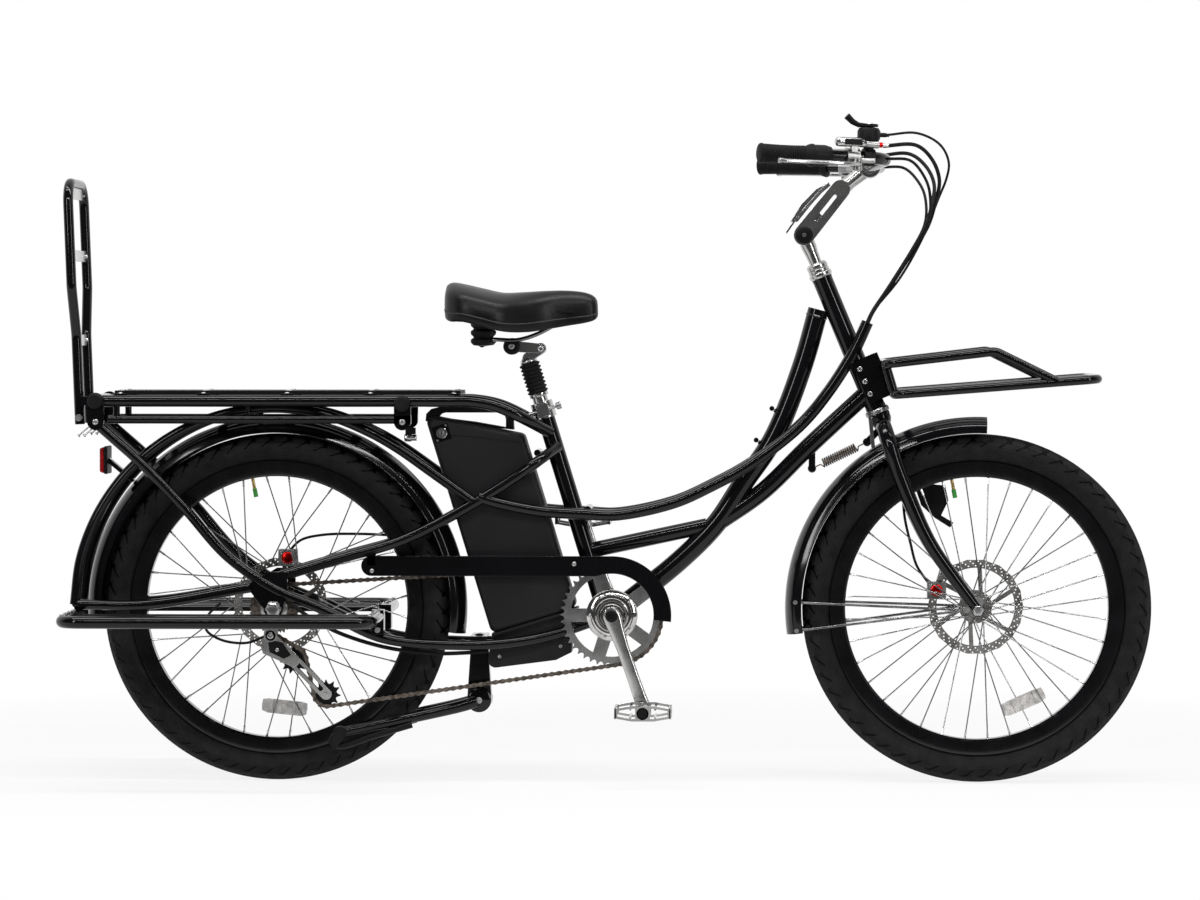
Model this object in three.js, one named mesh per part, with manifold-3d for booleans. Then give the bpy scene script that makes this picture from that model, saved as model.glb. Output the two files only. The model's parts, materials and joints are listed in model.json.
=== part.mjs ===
// Longtail cargo bicycle with a hub motor, built up from its separate pieces.
// Millimetres. +X is the way it rides, +Y is its left side, +Z is up. The origin is on the
// ground, midway between its front and rear ends, in the plane of its wheels.

import * as THREE from "three";
import { mergeVertices } from "three/addons/utils/BufferGeometryUtils.js";
import Module from "manifold-3d";

const wasm = await Module();
wasm.setup();
const { Manifold, Mesh: SolidMesh } = wasm;

// Driving dimensions

const overallLength = 1937.6;
const wheelbase = 1253.3;
const clearance = 0.3; // left between pieces that touch
const overrun = 5; // how far a cut runs past the face that it opens

const tyre = { radius: 311.5, width: 57, seat: 6, shoulder: 21, tread: 7, widestShare: 0.42, shoulderShare: 0.8 };
const rim = { lip: 262, well: 252, inner: 234.5, width: 34, floor: 14, lipWall: 1.5 };
const spokes = { count: 36, radius: 1.1, crossing: 0.62, spread: 0.8, sink: 2, drift: 0.05, apart: 1.5 };
const valve = { radius: 3, length: 34, angle: 101 };

const frontHub = { radius: 15, flange: 25, flangeWidth: 5.4, right: 33, left: 24, bore: 6.2, play: 0.5 };
const rearHub = { radius: 78, flange: 82, flangeWidth: 5.4, right: 27, left: 33, bore: 8.9, cover: 5, boss: 65 };
const rotor = { outer: 86, track: 15, carrier: 29, arm: 8, arms: 6, sweep: 24, thickness: 2.2, at: { front: 34, rear: 49 } };

const head = { angle: 22.6, length: 251.5, radius: 18, bore: 15.2 };
const headset = { cupRadius: 22, cupHeight: 10, topRadius: 21, topHeight: 11.5, lip: 2.5 };
const fork = {
  axleToFoot: 398.9, rake: 28.9, gauge: 55, topRadius: 14, endRadius: 10.5, steerer: 14.3, crown: 34,
  tip: 12, tipWidth: 8, nut: 9, nutHeight: 8, axle: 5,
};
const locknut = { radius: 19, height: 14, chamfer: 3 };
const steererBore = { radius: 11.5, depth: 150 };

const seatTube = { angle: 17.07, length: 381.6, radius: 15.9, bore: 13.9, boreDepth: 262, setback: 12.2 };
const bottomBracket = { height: 300, behindRearAxle: 603, radius: 20.5, halfWidth: 34, bore: 9.5 };

const downTubeRadius = 18.5;
const braceRadius = 16;
const lowerBraceRadius = 14;
const sideTubeRadius = 10.25;
const stayRadius = 9.5;
const chainstayRadius = 9;
const hoopRadius = 9;
const bridgeRadius = 8;

// Half gauges: how far each pair of tubes stands from the plane of the wheels
const gauge = { head: 28.7, middle: 52.6, stay: 60, hoop: 57, rear: 75, chainstay: 70.5, bracket: 24, seat: 14 };
const downTubeTopAt = { forward: -12, height: 222 };
const braceFoot = 33;
const lowerBraceHeight = 117;
const mouth = { forward: 44.8, height: 147.5, depth: 40, wall: 1.8 };
const sideStart = { ahead: 61.5, height: 668.5 };
const sideTubeCrossing = 188;
const seatStay = { forward: 6.7, height: 312, footAhead: 8.4, footRise: 56.5, bridge: -31, bridgeRadius: 6 };
const dropout = { rise: 36.5, top: 66, thickness: 6, halfGap: 67.5, radius: 17 };
const rearAxle = { radius: 8.3, nut: 13, nutHeight: 11, reach: 30 };
const springTab = { ahead: 5, drop: 40, radius: 6, thickness: 4, behind: 38, below: 50 };

const rack = {
  height: 682, rear: -905, front: -247, tube: 10.5, crossRear: -911, crossFront: -364, crossBelow: 4.7,
  cross: 12, cap: 14, capWidth: 8, crossHalf: 92, lowerDrop: 33, lowerTube: 7.5, plateWidth: 30,
  plate: 5, bolt: 6, boltHead: 4, boltDrop: -4, deckHalf: 75, bend: 30, endHeight: 340,
};
const deckBoard = {
  strapThickness: 4, slat: 34, pitch: 48, slats: 3, slatThickness: 5, strap: 22, straps: 5,
  rear: -880, front: -262,
};
const backrest = {
  bottom: 640, top: 1070, halfTop: 94, halfBottom: 60, tube: 9, splayLow: 800, splayHigh: 885,
  bend: 40, foot: -943, head: -959, slatWidth: 20, slat: 4, slatHeights: [790, 941, 1052], lug: 16,
};
const tail = { behind: 2, below: 39, frontBehind: 40, frontRise: 38 };
const hoop = { radius: 358, from: 179, to: 62, crown: 95, bridge: 5 };

const footboard = {
  height: 300, rear: -947, front: -408, outer: 278, inner: 96, tube: 11, bend: 34,
  slat: 26, slatThickness: 8, slats: 4,
};

const fender = {
  radius: 333, width: 76, wall: 2.5, crown: 9, rearFrom: -8, rearTo: 185, frontFrom: 87, frontTo: 188,
  stay: 2.6, boss: 6, eyelet: 20, stayGap: 9,
};

const chain = { pitch: 12.7, plane: -48, plateGap: 2.5, plate: 1.1, height: 8.4, flat: 1e-3, roller: 3.5, sink: 0.15 };
const toothForm = { root: 0.3, tip: 3, seat: 0.23 };
const chainring = { teeth: 44, thickness: 2, outer: 45, lip: 2, hole: 30, window: 74, arms: 5, arm: 24 };
const cog = { teeth: 20, thickness: 1.8 };
const jockey = {
  teeth: 11, thickness: 2.2, hub: 6, hubWidth: 8, pin: 3, upperAhead: 34, upperBelow: 92.5,
};
const freewheel = {
  discs: [[-60, 30], [-54.2, 36], [-41.5, 48]],
  core: 26, bore: 14, cogWidth: 1.6, from: -64.5, to: -36,
};
const crank = { length: 175, angle: 19.3, axle: 8.5, hub: 16, inner: 64, outer: 77, end: 13 };
const pedal = { inner: 84, width: 92, length: 100, height: 27, barrel: 11, bar: 7, axle: 5 };
const cage = { length: 84.4, angle: -49.7, settle: 8, plate: 1.5, gap: 5.6, width: 22 };
const changer = { thickness: 8, knuckle: 12, reach: 54, hangerAhead: -6, hangerBelow: 48 };

const chainGuard = {
  plane: -60, thickness: 2.5, rearTip: -440, inner: 75, outer: 106, height: 36, end: -6, tab: 16, tabTop: 420,
};

const battery = {
  back: 205, front: 45, bottom: 27, top: 433, frontTop: 355, width: 84, edge: 8,
  seam: 1.2, seamBelow: 30, lock: 11, lockHeight: 2, lockAhead: 26, lockBelow: 52,
};
const dock = { height: 5, half: 38 };
const controller = { rear: -216, front: -66, bottom: 204, width: 52, corner: 14 };

const stand = {
  at: [-232, 146], post: 15, postTop: 262, plate: 12, knuckle: 22, width: 44, ear: 8, legRadius: 9, gauge: 64,
  foot: [-478, 90], footRadius: 14, footWidth: 22, toe: [-487, 68], toeRadius: 6, tie: 6, tieShare: 0.35,
};

const seatClamp = {
  radius: 20, above: 15, below: 15, lug: 9, lugWidth: 22, screw: 3, cam: 32, nut: 34, lever: 48, leverWidth: 6,
};
const seatPost = { radius: 13.6, bottom: 175, top: 440, collar: 17, collarHeight: 6 };
const plunger = { radius: 11.5, bottom: 400, head: 12, link: 9, depth: 74 };
const boot = { bottom: 413, top: 470, radius: 19, valley: 15.5, ribs: 8 };
const seatPivot = { forward: 27.8, height: 488.4, radius: 6, ear: 10, halfWidth: 11, plate: 4 };
const saddle = { rear: -291, nose: -20, height: 894, depth: 90, halfWidth: 114 };
const seatFrame = {
  clampAt: [-173.6, 779], clampRadius: 15, clampHalf: 23, rail: 4, gauge: 22, noseGauge: 12, bend: 25,
  spring: 20, springAt: -225, springGauge: 48, springHeight: 78, ribs: 4, nose: -62, noseHeight: 852,
};

const quill = { radius: 11.1, bottom: 150, cone: 284, boss: 334.6, top: 13.7, bossRadius: 16, bossWidth: 24, neck: 3 };
const arm = {
  forward: 91, height: 384.6, width: 46, half: 17, slot: 5, ear: 18.5, gap: 4, cap: 15.6, capHeight: 3,
  riser: 12.7, clampForward: 154, clampHeight: 402, clampRadius: 20, clampWidth: 44,
};
const stemLever = {
  forward: 76.5, height: 398.3, length: 118, lean: 24.5, thickness: 4, width: 14, pin: 5, turn: 60, steps: 5,
};
const bar = {
  radius: 11.1, gripEnd: 271, gripHeight: 1113, gripHalf: 295, cornerForward: 495, cornerHalf: 222,
  cornerHeight: 1106, bend: 60, centre: 12.7, centreHalf: 46,
};
const grip = { radius: 18, length: 95, leftLength: 130, flange: 20, cap: 4 };
const throttle = { radius: 18.5, length: 32 };
const perch = { at: 166, radius: 15.5, width: 24, reach: 30, lug: 9, height: 10, gap: 4, pin: 3.5, adjuster: 24, barrel: 46 };
const brakeLever = { length: 150, blade: 9, offset: 52, drop: 14 };
const shifter = {
  at: 196, clamp: 16, neck: 9, radius: 20, height: 32, rise: 31, outlet: 22, lever: 36, leverWidth: 12,
  leverThickness: 5, paddle: 14,
};

const basket = {
  low: 695, noseRise: 27.5, rear: 507, nose: 863, half: 150, tube: 8, railRear: 491, railHeight: 748.5,
  railFront: 683, railTop: 771, railEnd: 793, bend: 26, slats: 7, slat: 6,
};
const bracket = { low: 12, high: 92, thickness: 5, forward: 40, bolt: 5, boltShares: [0.2, 0.5, 0.8] };

const caliper = {
  width: 34, height: 30, inboard: 11, outboard: 11, gap: 5, knob: 11, knobHeight: 3, arm: 5, overhang: 2,
  front: { behind: 70, above: 30 }, rear: { ahead: 14, above: 86 },
};
const lamp = { at: [-899, 575], width: 60, height: 50, depth: 14, bracket: 8, footHalf: 12 };

const cable = { thin: 2.5, thick: 4, bundle: 6, sag: 1.1 };
const coil = { radius: 7.5, wire: 1.4, turns: 11, lead: 16, steps: 7, sides: 4 };

// How finely round shapes are divided

const thinSides = 4;
const tubeSides = 6;
const bigTubeSides = 8;
const turnedSides = 10;
const wheelSides = 36;
const bendSteps = 2;

// How many pieces the long bent tubes are divided into
const downTubeSteps = 9;
const braceSteps = 2;
const sideTubeSteps = 10;
const staySteps = 9;
const chainstaySteps = 11;
const hoopSteps = 11;
const tailSteps = 2;
const deckSteps = 4;
const forkSteps = 14;
const cableSteps = 9;
const bundleSteps = 12;

// Finishes

const finish = (color, roughness, metalness) =>
  new THREE.MeshStandardMaterial({ color, roughness, metalness });
const blackPaint = finish(0x111113, 0.28, 0.4);
const blackPlastic = finish(0x1a1a1c, 0.55, 0);
const rubber = finish(0x161616, 0.85, 0);
const silver = finish(0xc4c6c8, 0.32, 0.9);
const steel = finish(0x8a8178, 0.4, 0.85);
const redPlastic = finish(0xa01216, 0.4, 0);
const vinyl = finish(0x17171a, 0.45, 0);

// Small tools for making solids

const degrees = THREE.MathUtils.degToRad;
const vector = (x, y, z) => new THREE.Vector3(x, y, z);
const onPlane = ([x, z], y = 0) => vector(x, y, z);

// Merges the shared corners and turns the faces out.
function closed(geometry) {
  const bare = new THREE.BufferGeometry();
  bare.setAttribute("position", geometry.getAttribute("position").clone());
  if (geometry.index) bare.setIndex(geometry.index.clone());
  const merged = mergeVertices(bare, 1e-4);
  const position = merged.getAttribute("position");
  const index = merged.index.array;
  const [a, b, c] = [vector(), vector(), vector()];
  const kept = [];
  let volume = 0;
  for (let i = 0; i < index.length; i += 3) {
    const [p, q, r] = [index[i], index[i + 1], index[i + 2]];
    if (p === q || q === r || r === p) continue;
    kept.push(p, q, r);
    a.fromBufferAttribute(position, p);
    b.fromBufferAttribute(position, q);
    c.fromBufferAttribute(position, r);
    volume += a.dot(b.cross(c));
  }
  if (volume < 0) kept.reverse();
  merged.setIndex(kept);
  return merged;
}

function solid(geometry) {
  const shape = closed(geometry);
  return new Manifold(
    new SolidMesh({
      numProp: 3,
      vertProperties: new Float32Array(shape.getAttribute("position").array),
      triVerts: new Uint32Array(shape.index.array),
    }),
  );
}

function geometryOf(body) {
  const mesh = body.getMesh();
  const geometry = new THREE.BufferGeometry();
  const places = new Float32Array(mesh.numVert * 3);
  for (let i = 0; i < mesh.numVert; i += 1) {
    for (let k = 0; k < 3; k += 1) places[i * 3 + k] = mesh.vertProperties[i * mesh.numProp + k];
  }
  geometry.setAttribute("position", new THREE.BufferAttribute(places, 3));
  geometry.setIndex([...mesh.triVerts]);
  geometry.computeVertexNormals();
  return geometry;
}

const join = (...bodies) => bodies.flat().reduce((whole, body) => whole.add(body));
const cut = (body, ...tools) => tools.flat().reduce((left, tool) => left.subtract(tool), body);

// A solid carried by a matrix, mirrored to the other side of the bicycle, or both.
function moved(body, matrix) {
  return solid(geometryOf(body).applyMatrix4(matrix));
}
const mirrored = (body) => moved(body, new THREE.Matrix4().makeScale(1, -1, 1));
const bothSides = (body) => [body, mirrored(body)];

const shifted = (x, y, z) => new THREE.Matrix4().makeTranslation(x, y, z);

// A frame of reference that leans back by an angle, with its foot at a place on the bicycle's plane.
function leaning([x, z], angle) {
  const group = new THREE.Group();
  group.position.set(x, 0, z);
  group.rotation.y = -degrees(angle);
  group.updateMatrixWorld(true);
  return group;
}
const within = (group, x, z) => {
  const point = vector(x, 0, z).applyMatrix4(group.matrixWorld);
  return [point.x, point.z];
};

function rod(from, to, radius, sides = tubeSides) {
  const axis = to.clone().sub(from);
  const shape = new THREE.CylinderGeometry(radius, radius, axis.length(), sides);
  const turn = new THREE.Quaternion().setFromUnitVectors(vector(0, 1, 0), axis.normalize());
  shape.applyQuaternion(turn);
  const middle = from.clone().add(to).multiplyScalar(0.5);
  return solid(shape.translate(middle.x, middle.y, middle.z));
}

// A rod across the bicycle, from one y to another.
const crossRod = ([x, z], y0, y1, radius, sides = bigTubeSides) =>
  rod(vector(x, y0, z), vector(x, y1, z), radius, sides);

function block(x0, x1, y0, y1, z0, z1) {
  const shape = new THREE.BoxGeometry(x1 - x0, y1 - y0, z1 - z0);
  return solid(shape.translate((x0 + x1) / 2, (y0 + y1) / 2, (z0 + z1) / 2));
}

// A solid turned about the Y axis from [radius, y] points, or about the Z axis.
function turned(profile, sides = turnedSides) {
  return solid(new THREE.LatheGeometry(profile.map(([r, y]) => new THREE.Vector2(r, y)), sides));
}
function turnedUp(profile, sides = turnedSides) {
  const shape = new THREE.LatheGeometry(profile.map(([r, y]) => new THREE.Vector2(r, y)), sides);
  return solid(shape.rotateX(Math.PI / 2));
}
// The corner radius of a faceted bore whose flats stand at a radius.
const boreOf = (radius, sides) => radius / Math.cos(Math.PI / sides);
const flatOf = (radius, sides) => radius * Math.cos(Math.PI / sides);
const ring = (inner, outer, y0, y1) => [[inner, y0], [outer, y0], [outer, y1], [inner, y1], [inner, y0]];

function outlineShape(points) {
  return new THREE.Shape(points.map(([x, z]) => new THREE.Vector2(x, z)));
}

// A flat plate with its outline in the bicycle's plane, from y0 to y1.
function plate(points, y0, y1, holes = []) {
  const shape = points.isShape ? points : outlineShape(points);
  for (const hole of holes) {
    shape.holes.push(new THREE.Path().setFromPoints(hole.map(([x, z]) => new THREE.Vector2(x, z))));
  }
  const body = new THREE.ExtrudeGeometry(shape, { depth: y1 - y0, bevelEnabled: false });
  return solid(body.rotateX(Math.PI / 2).translate(0, y1, 0));
}

// Points round an arc, in degrees.
function arc([x, z], radius, from, to, steps) {
  return Array.from({ length: steps + 1 }, (_, i) => {
    const angle = degrees(from + ((to - from) * i) / steps);
    return [x + radius * Math.cos(angle), z + radius * Math.sin(angle)];
  });
}

// A bar with round ends between two places.
function capsule([x0, z0], [x1, z1], r0, r1 = r0, steps = 3) {
  const lean = THREE.MathUtils.radToDeg(Math.atan2(z1 - z0, x1 - x0));
  return [
    ...arc([x0, z0], r0, lean + 90, lean + 270, steps),
    ...arc([x1, z1], r1, lean - 90, lean + 90, steps),
  ];
}

// The centre line of a bent tube, with a ring only where it needs one.
class BentLine extends THREE.Curve {
  constructor(stations) {
    super();
    this.stations = stations;
  }
  station(u) {
    return this.stations[Math.round(u * (this.stations.length - 1))];
  }
  getSpacedPoints() {
    return this.stations.map(({ place }) => place.clone());
  }
  getTangentAt(u, target = vector()) {
    return target.copy(this.station(u).heading);
  }
}

function tubeAlong(stations, radius, sides) {
  const section = new THREE.Shape(
    Array.from({ length: sides }, (_, i) => {
      const angle = ((i + 0.5) * 2 * Math.PI) / sides;
      return new THREE.Vector2(radius * Math.cos(angle), radius * Math.sin(angle));
    }),
  );
  return solid(
    new THREE.ExtrudeGeometry(section, {
      steps: stations.length - 1,
      extrudePath: new BentLine(stations),
    }),
  );
}

// Straight runs between places, with each corner bent to a radius.
function bentTube(places, radius, bend, sides = tubeSides) {
  const stations = [];
  places.forEach((place, i) => {
    const before = places[i - 1];
    const after = places[i + 1];
    if (!before || !after) {
      const heading = before ? place.clone().sub(before) : after.clone().sub(place);
      stations.push({ place, heading: heading.normalize() });
      return;
    }
    const into = place.clone().sub(before).normalize();
    const out = after.clone().sub(place).normalize();
    const turn = into.angleTo(out);
    const reach = bend * Math.tan(turn / 2);
    const start = place.clone().addScaledVector(into, -reach);
    const inward = out.clone().sub(into).normalize();
    const centre = place.clone().addScaledVector(inward, Math.hypot(bend, reach));
    const axis = into.clone().cross(out).normalize();
    const steps = Math.max(1, Math.round(turn / (Math.PI / 2) * bendSteps));
    for (let k = 0; k <= steps; k += 1) {
      const angle = (turn * k) / steps;
      stations.push({
        place: start.clone().sub(centre).applyAxisAngle(axis, angle).add(centre),
        heading: into.clone().applyAxisAngle(axis, angle),
      });
    }
  });
  return tubeAlong(stations, radius, sides);
}

// A smooth run through places.
function smoothStations(places, steps) {
  const line = new THREE.CatmullRomCurve3(places, false, "centripetal");
  return Array.from({ length: steps + 1 }, (_, i) => ({
    place: line.getPointAt(i / steps),
    heading: line.getTangentAt(i / steps),
  }));
}
function smoothTube(places, radius, steps, sides = tubeSides) {
  return tubeAlong(smoothStations(places, steps), radius, sides);
}

const hose = (places, radius) => smoothTube(places.map((place) => vector(...place)), radius, cableSteps, thinSides);

// A skin over rings of points that all have the same count: closed at both ends, or into a loop.
function loft(rings, loop = false) {
  const count = rings[0].length;
  const places = rings.flat();
  const faces = [];
  for (let i = 0; i + (loop ? 0 : 1) < rings.length; i += 1) {
    const next = ((i + 1) % rings.length) * count;
    for (let k = 0; k < count; k += 1) {
      const [a, b] = [k, (k + 1) % count];
      faces.push(i * count + a, i * count + b, next + b, i * count + a, next + b, next + a);
    }
  }
  for (const [ringIndex, flip] of loop ? [] : [[0, true], [rings.length - 1, false]]) {
    const first = ringIndex * count;
    for (let k = 1; k + 1 < count; k += 1) {
      faces.push(first, ...(flip ? [first + k + 1, first + k] : [first + k, first + k + 1]));
    }
  }
  const geometry = new THREE.BufferGeometry().setFromPoints(places);
  geometry.setIndex(faces);
  return solid(geometry);
}

// A round tube whose radius changes from ring to ring.
function taperedTube(stations, radiusAt, sides = tubeSides) {
  const up = vector(0, 1, 0);
  return loft(
    stations.map(({ place, heading }, i) => {
      const across = heading.clone().cross(up).normalize();
      const over = across.clone().cross(heading).normalize();
      const radius = radiusAt(i / (stations.length - 1));
      return Array.from({ length: sides }, (_, k) => {
        const angle = (k * 2 * Math.PI) / sides;
        return place.clone()
          .addScaledVector(across, radius * Math.cos(angle))
          .addScaledVector(over, radius * Math.sin(angle));
      });
    }),
  );
}

// Places along a tube's route: shares of the way from one place to another, with a bow to the
// side as a share of the same length, and the half gauge between a narrow and a wide one.
function route([x0, z0], [x1, z1], narrow, wide, shares) {
  const [dx, dz] = [x1 - x0, z1 - z0];
  return shares.map(([along, bow, out]) =>
    vector(x0 + along * dx - bow * dz, -(narrow + (wide - narrow) * out), z0 + along * dz + bow * dx),
  );
}

// The sub-parts, each with its own name and finish

const bicycle = new THREE.Group();

function add(name, body, material, group = bicycle) {
  const mesh = new THREE.Mesh(geometryOf(body), material);
  mesh.name = name;
  group.add(mesh);
  return mesh;
}

// The places that the frame is built on

const frontAxleAt = [overallLength / 2 - tyre.radius, tyre.radius];
const rearAxleAt = [frontAxleAt[0] - wheelbase, tyre.radius];
const bracketAt = [rearAxleAt[0] + bottomBracket.behindRearAxle, bottomBracket.height];

const headFoot = (() => {
  const lean = degrees(head.angle);
  return [
    frontAxleAt[0] - Math.sin(lean) * fork.axleToFoot - Math.cos(lean) * fork.rake,
    frontAxleAt[1] + Math.cos(lean) * fork.axleToFoot - Math.sin(lean) * fork.rake,
  ];
})();
const steering = leaning(headFoot, head.angle);
const seatFoot = [bracketAt[0] - seatTube.setback, bracketAt[1]];
const seating = leaning(seatFoot, seatTube.angle);
bicycle.add(steering, seating);

const onHead = (x, z) => within(steering, x, z);
const onSeat = (x, z) => within(seating, x, z);
const inSteering = (body) => moved(body, steering.matrixWorld);
const inSeating = (body) => moved(body, seating.matrixWorld);

const seatTop = onSeat(0, seatTube.length);
const dropoutTop = [rearAxleAt[0], rearAxleAt[1] + dropout.rise];

// Frame routes, as shares of the way between two places of the frame

const downTubeShares = [
  [0, 0, 0], [0.1904, 0.0603, 0], [0.3862, 0.0994, 0], [0.5264, 0.0974, 0],
  [0.6534, 0.0967, 0], [0.7853, 0.0699, 0], [1, 0, 0],
];
const braceShares = [[0, 0, 0], [0.4, 0.012, 0], [0.72, 0.03, 0], [1, 0, 0]];
const sideTubeShares = [
  [0.274, -0.2, 1], [0.3, -0.213, 0.97], [0.373, -0.2401, 0.8], [0.4573, -0.2591, 0.763], [0.51, -0.269, 0.763],
  [0.6138, -0.2629, 0.74], [0.6845, -0.2434, 0.66], [0.7569, -0.2164, 0.45],
  [0.8535, -0.1631, 0.1], [0.9161, -0.108, 0], [0.97, -0.045, 0], [1, 0, 0],
];
const stayShares = [[0, 0, 0], [0.21, -0.031, 0], [0.4197, -0.0619, 0], [0.6808, -0.0512, 0], [0.86, -0.028, 0], [0.92, -0.016, 0]];
const chainstayRearShares = [[0, 0, 1], [0.2543, 0.0064, 1], [0.5079, -0.0068, 1], [0.7717, -0.0326, 0.6]];
const chainstayFrontShares = [
  [0, 0, 1], [0.1431, -0.0483, 1], [0.3279, -0.1198, 0.92], [0.5439, -0.1249, 0.72],
  [0.705, -0.1064, 0.48], [0.84, -0.07, 0.22], [1, 0, 0],
];
const tailShares = [[0, 0, 0], [0.42, -0.04, 0.4], [1, 0, 1]];
const hoopEndShares = [[0.26, 0.02, 0.7], [0.6, 0.012, 0.3], [1, 0, 0]];
const deckEndShares = [[0, 0, 1], [0.3033, 0.0627, 0.9], [0.62, 0.052, 0.76], [1, 0, 0]];
const forkShares = [
  [1, 1, 1], [0.42, 1, 0.835], [-0.17, 1, 0.627], [-0.24, 1, 0.3], [-0.08, 0.98, 0.16], [0, 0.55, 0.093],
];

// Saddle: stations from tail to nose as shares of its length, half width and depth, and the
// points of its section

const saddleShares = [
  [0, 0.55, 0.54, 0.21], [0.03, 0.75, 0.76, 0.02], [0.12, 0.95, 0.77, 0.05], [0.25, 1, 0.87, 0.13],
  [0.38, 0.93, 0.97, 0.21], [0.52, 0.66, 0.99, 0.2], [0.66, 0.42, 0.9, 0.19], [0.8, 0.3, 0.8, 0.185],
  [0.92, 0.25, 0.7, 0.26], [0.98, 0.19, 0.6, 0.4], [1, 0.1, 0.55, 0.47],
];
const saddleSectionShares = [
  [-0.96, -1], [-1, -0.6], [-0.98, 0], [-0.88, 0.5], [-0.6, 0.88], [-0.28, 1], [0, 0.94], [0.28, 1],
  [0.6, 0.88], [0.88, 0.5], [0.98, 0], [1, -0.6], [0.96, -1], [0.84, -0.9], [0.5, -0.15], [0, 0.05],
  [-0.5, -0.15], [-0.84, -0.9],
];

// Where the cables run, chosen by hand

const controlCablePlaces = [
  [503, -232, 1098], [540, -190, 1112], [572, -150, 1090], [575, -110, 1056], [570, -80, 1023],
  [546, -55, 968], [510, -40, 894],
];
const frontHosePlaces = [[527, 62, 515], [531, 58, 470], [541, 48, 425], [552, 38, 385], [576, 40, 350]];
const rearHosePlaces = [[-584, 52, 404], [-560, 50, 428], [-520, 47, 438], [-450, 46, 440], [-399, 47, 438], [-372, 52, 437]];
const motorCablePlaces = [
  [-560, -80, 318], [-530, -72, 296], [-479, -62, 268], [-395, -58, 242], [-310, -46, 231], [-255, -30, 231], [-215.2, -20, 233],
];
const shiftHousingPlaces = [[-612, -60, 262], [-645, -62, 250], [-690, -70, 256], [-716, -76, 275], [-712, -76, 300], [-690, -75, 322]];
const frontCaliperMount = [600, 385];
const rearCaliperMount = [-566, 376];

// Head tube with the headset's cups and the tube that braces it

const headTubeBody = turnedUp([
  [head.bore, -headset.cupHeight], [headset.cupRadius, -headset.cupHeight],
  [headset.cupRadius, -headset.lip], [head.radius, headset.lip],
  [head.radius, head.length], [headset.topRadius, head.length + headset.lip],
  [headset.topRadius, head.length + headset.topHeight], [head.bore, head.length + headset.topHeight],
  [head.bore, -headset.cupHeight],
]);
const headTubeCore = inSteering(
  turnedUp([[0, -overrun], [head.radius + clearance, -overrun],
    [head.radius + clearance, head.length], [0, head.length]]),
);
const headBoreCore = inSteering(
  turnedUp([[0, -head.length], [head.bore, -head.length], [head.bore, 2 * head.length], [0, 2 * head.length]]),
);

const downTubeTop = onHead(downTubeTopAt.forward, downTubeTopAt.height);
const downTubePlaces = route(downTubeTop, bracketAt, 0, 0, downTubeShares);
const downTubeTool = (extra) => smoothTube(downTubePlaces, downTubeRadius + extra, downTubeSteps, bigTubeSides);
const shellAt = (extra) => crossRod(
  bracketAt, -bottomBracket.halfWidth - extra, bottomBracket.halfWidth + extra, bottomBracket.radius + extra);
const axleBore = crossRod(
  bracketAt, -bottomBracket.halfWidth - overrun, bottomBracket.halfWidth + overrun, bottomBracket.bore);
const downTube = cut(
  join(downTubeTool(0), shellAt(0)),
  headTubeCore,
  axleBore,
);
add("down_tube", downTube, blackPaint);

const braceStart = onHead(0, braceFoot);
const braceEnd = [downTubePlaces[4].x, downTubePlaces[4].z];
const bracePlaces = route(braceStart, braceEnd, 0, 0, braceShares);
const brace = cut(smoothTube(bracePlaces, braceRadius, braceSteps, bigTubeSides), downTubeTool(clearance), headBoreCore);
const springTabEnd = [bracePlaces[1].x + springTab.ahead, bracePlaces[1].z - springTab.drop];
const springTabPlate = plate(
  capsule([bracePlaces[1].x + springTab.ahead, bracePlaces[1].z], springTabEnd, springTab.radius, springTab.radius, 2),
  -springTab.thickness / 2, springTab.thickness / 2);
add("head_tube", join(inSteering(headTubeBody), brace, springTabPlate), blackPaint);

// The twin side tubes, open at the head, with a bridge in front of the seat tube

const sideRear = [rearAxleAt[0] + sideStart.ahead, sideStart.height];
const mouthAt = onHead(mouth.forward, mouth.height);
const sidePlaces = route(sideRear, mouthAt, gauge.head, gauge.stay, sideTubeShares);
const stayTop = onSeat(seatStay.forward, seatStay.height);
const stayFoot = [rearAxleAt[0] + seatStay.footAhead, rearAxleAt[1] + seatStay.footRise];
const stayPlaces = [
  ...route(stayFoot, stayTop, gauge.stay, gauge.stay, stayShares),
  vector(stayTop[0], -gauge.seat, stayTop[1]),
];
const stayTool = (extra) => smoothTube(stayPlaces, stayRadius + extra, staySteps);
const sideTool = (extra) => smoothTube(sidePlaces, sideTubeRadius + extra, sideTubeSteps);
const mouthEnd = sidePlaces[sidePlaces.length - 1];
const mouthBefore = sidePlaces[sidePlaces.length - 2];
const mouthLine = mouthEnd.clone().sub(mouthBefore).normalize();
const mouthBore = rod(
  mouthEnd.clone().addScaledVector(mouthLine, -mouth.depth),
  mouthEnd.clone().addScaledVector(mouthLine, overrun),
  sideTubeRadius - mouth.wall,
);
const bridgeAt = onSeat(seatTube.radius + clearance * 2 + bridgeRadius, sideTubeCrossing);
add(
  "side_tubes",
  join(
    bothSides(cut(sideTool(0), stayTool(clearance), mouthBore)),
    crossRod(bridgeAt, -gauge.middle, gauge.middle, bridgeRadius, tubeSides),
  ),
  blackPaint,
);

// Seat tube and its lower brace

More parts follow.
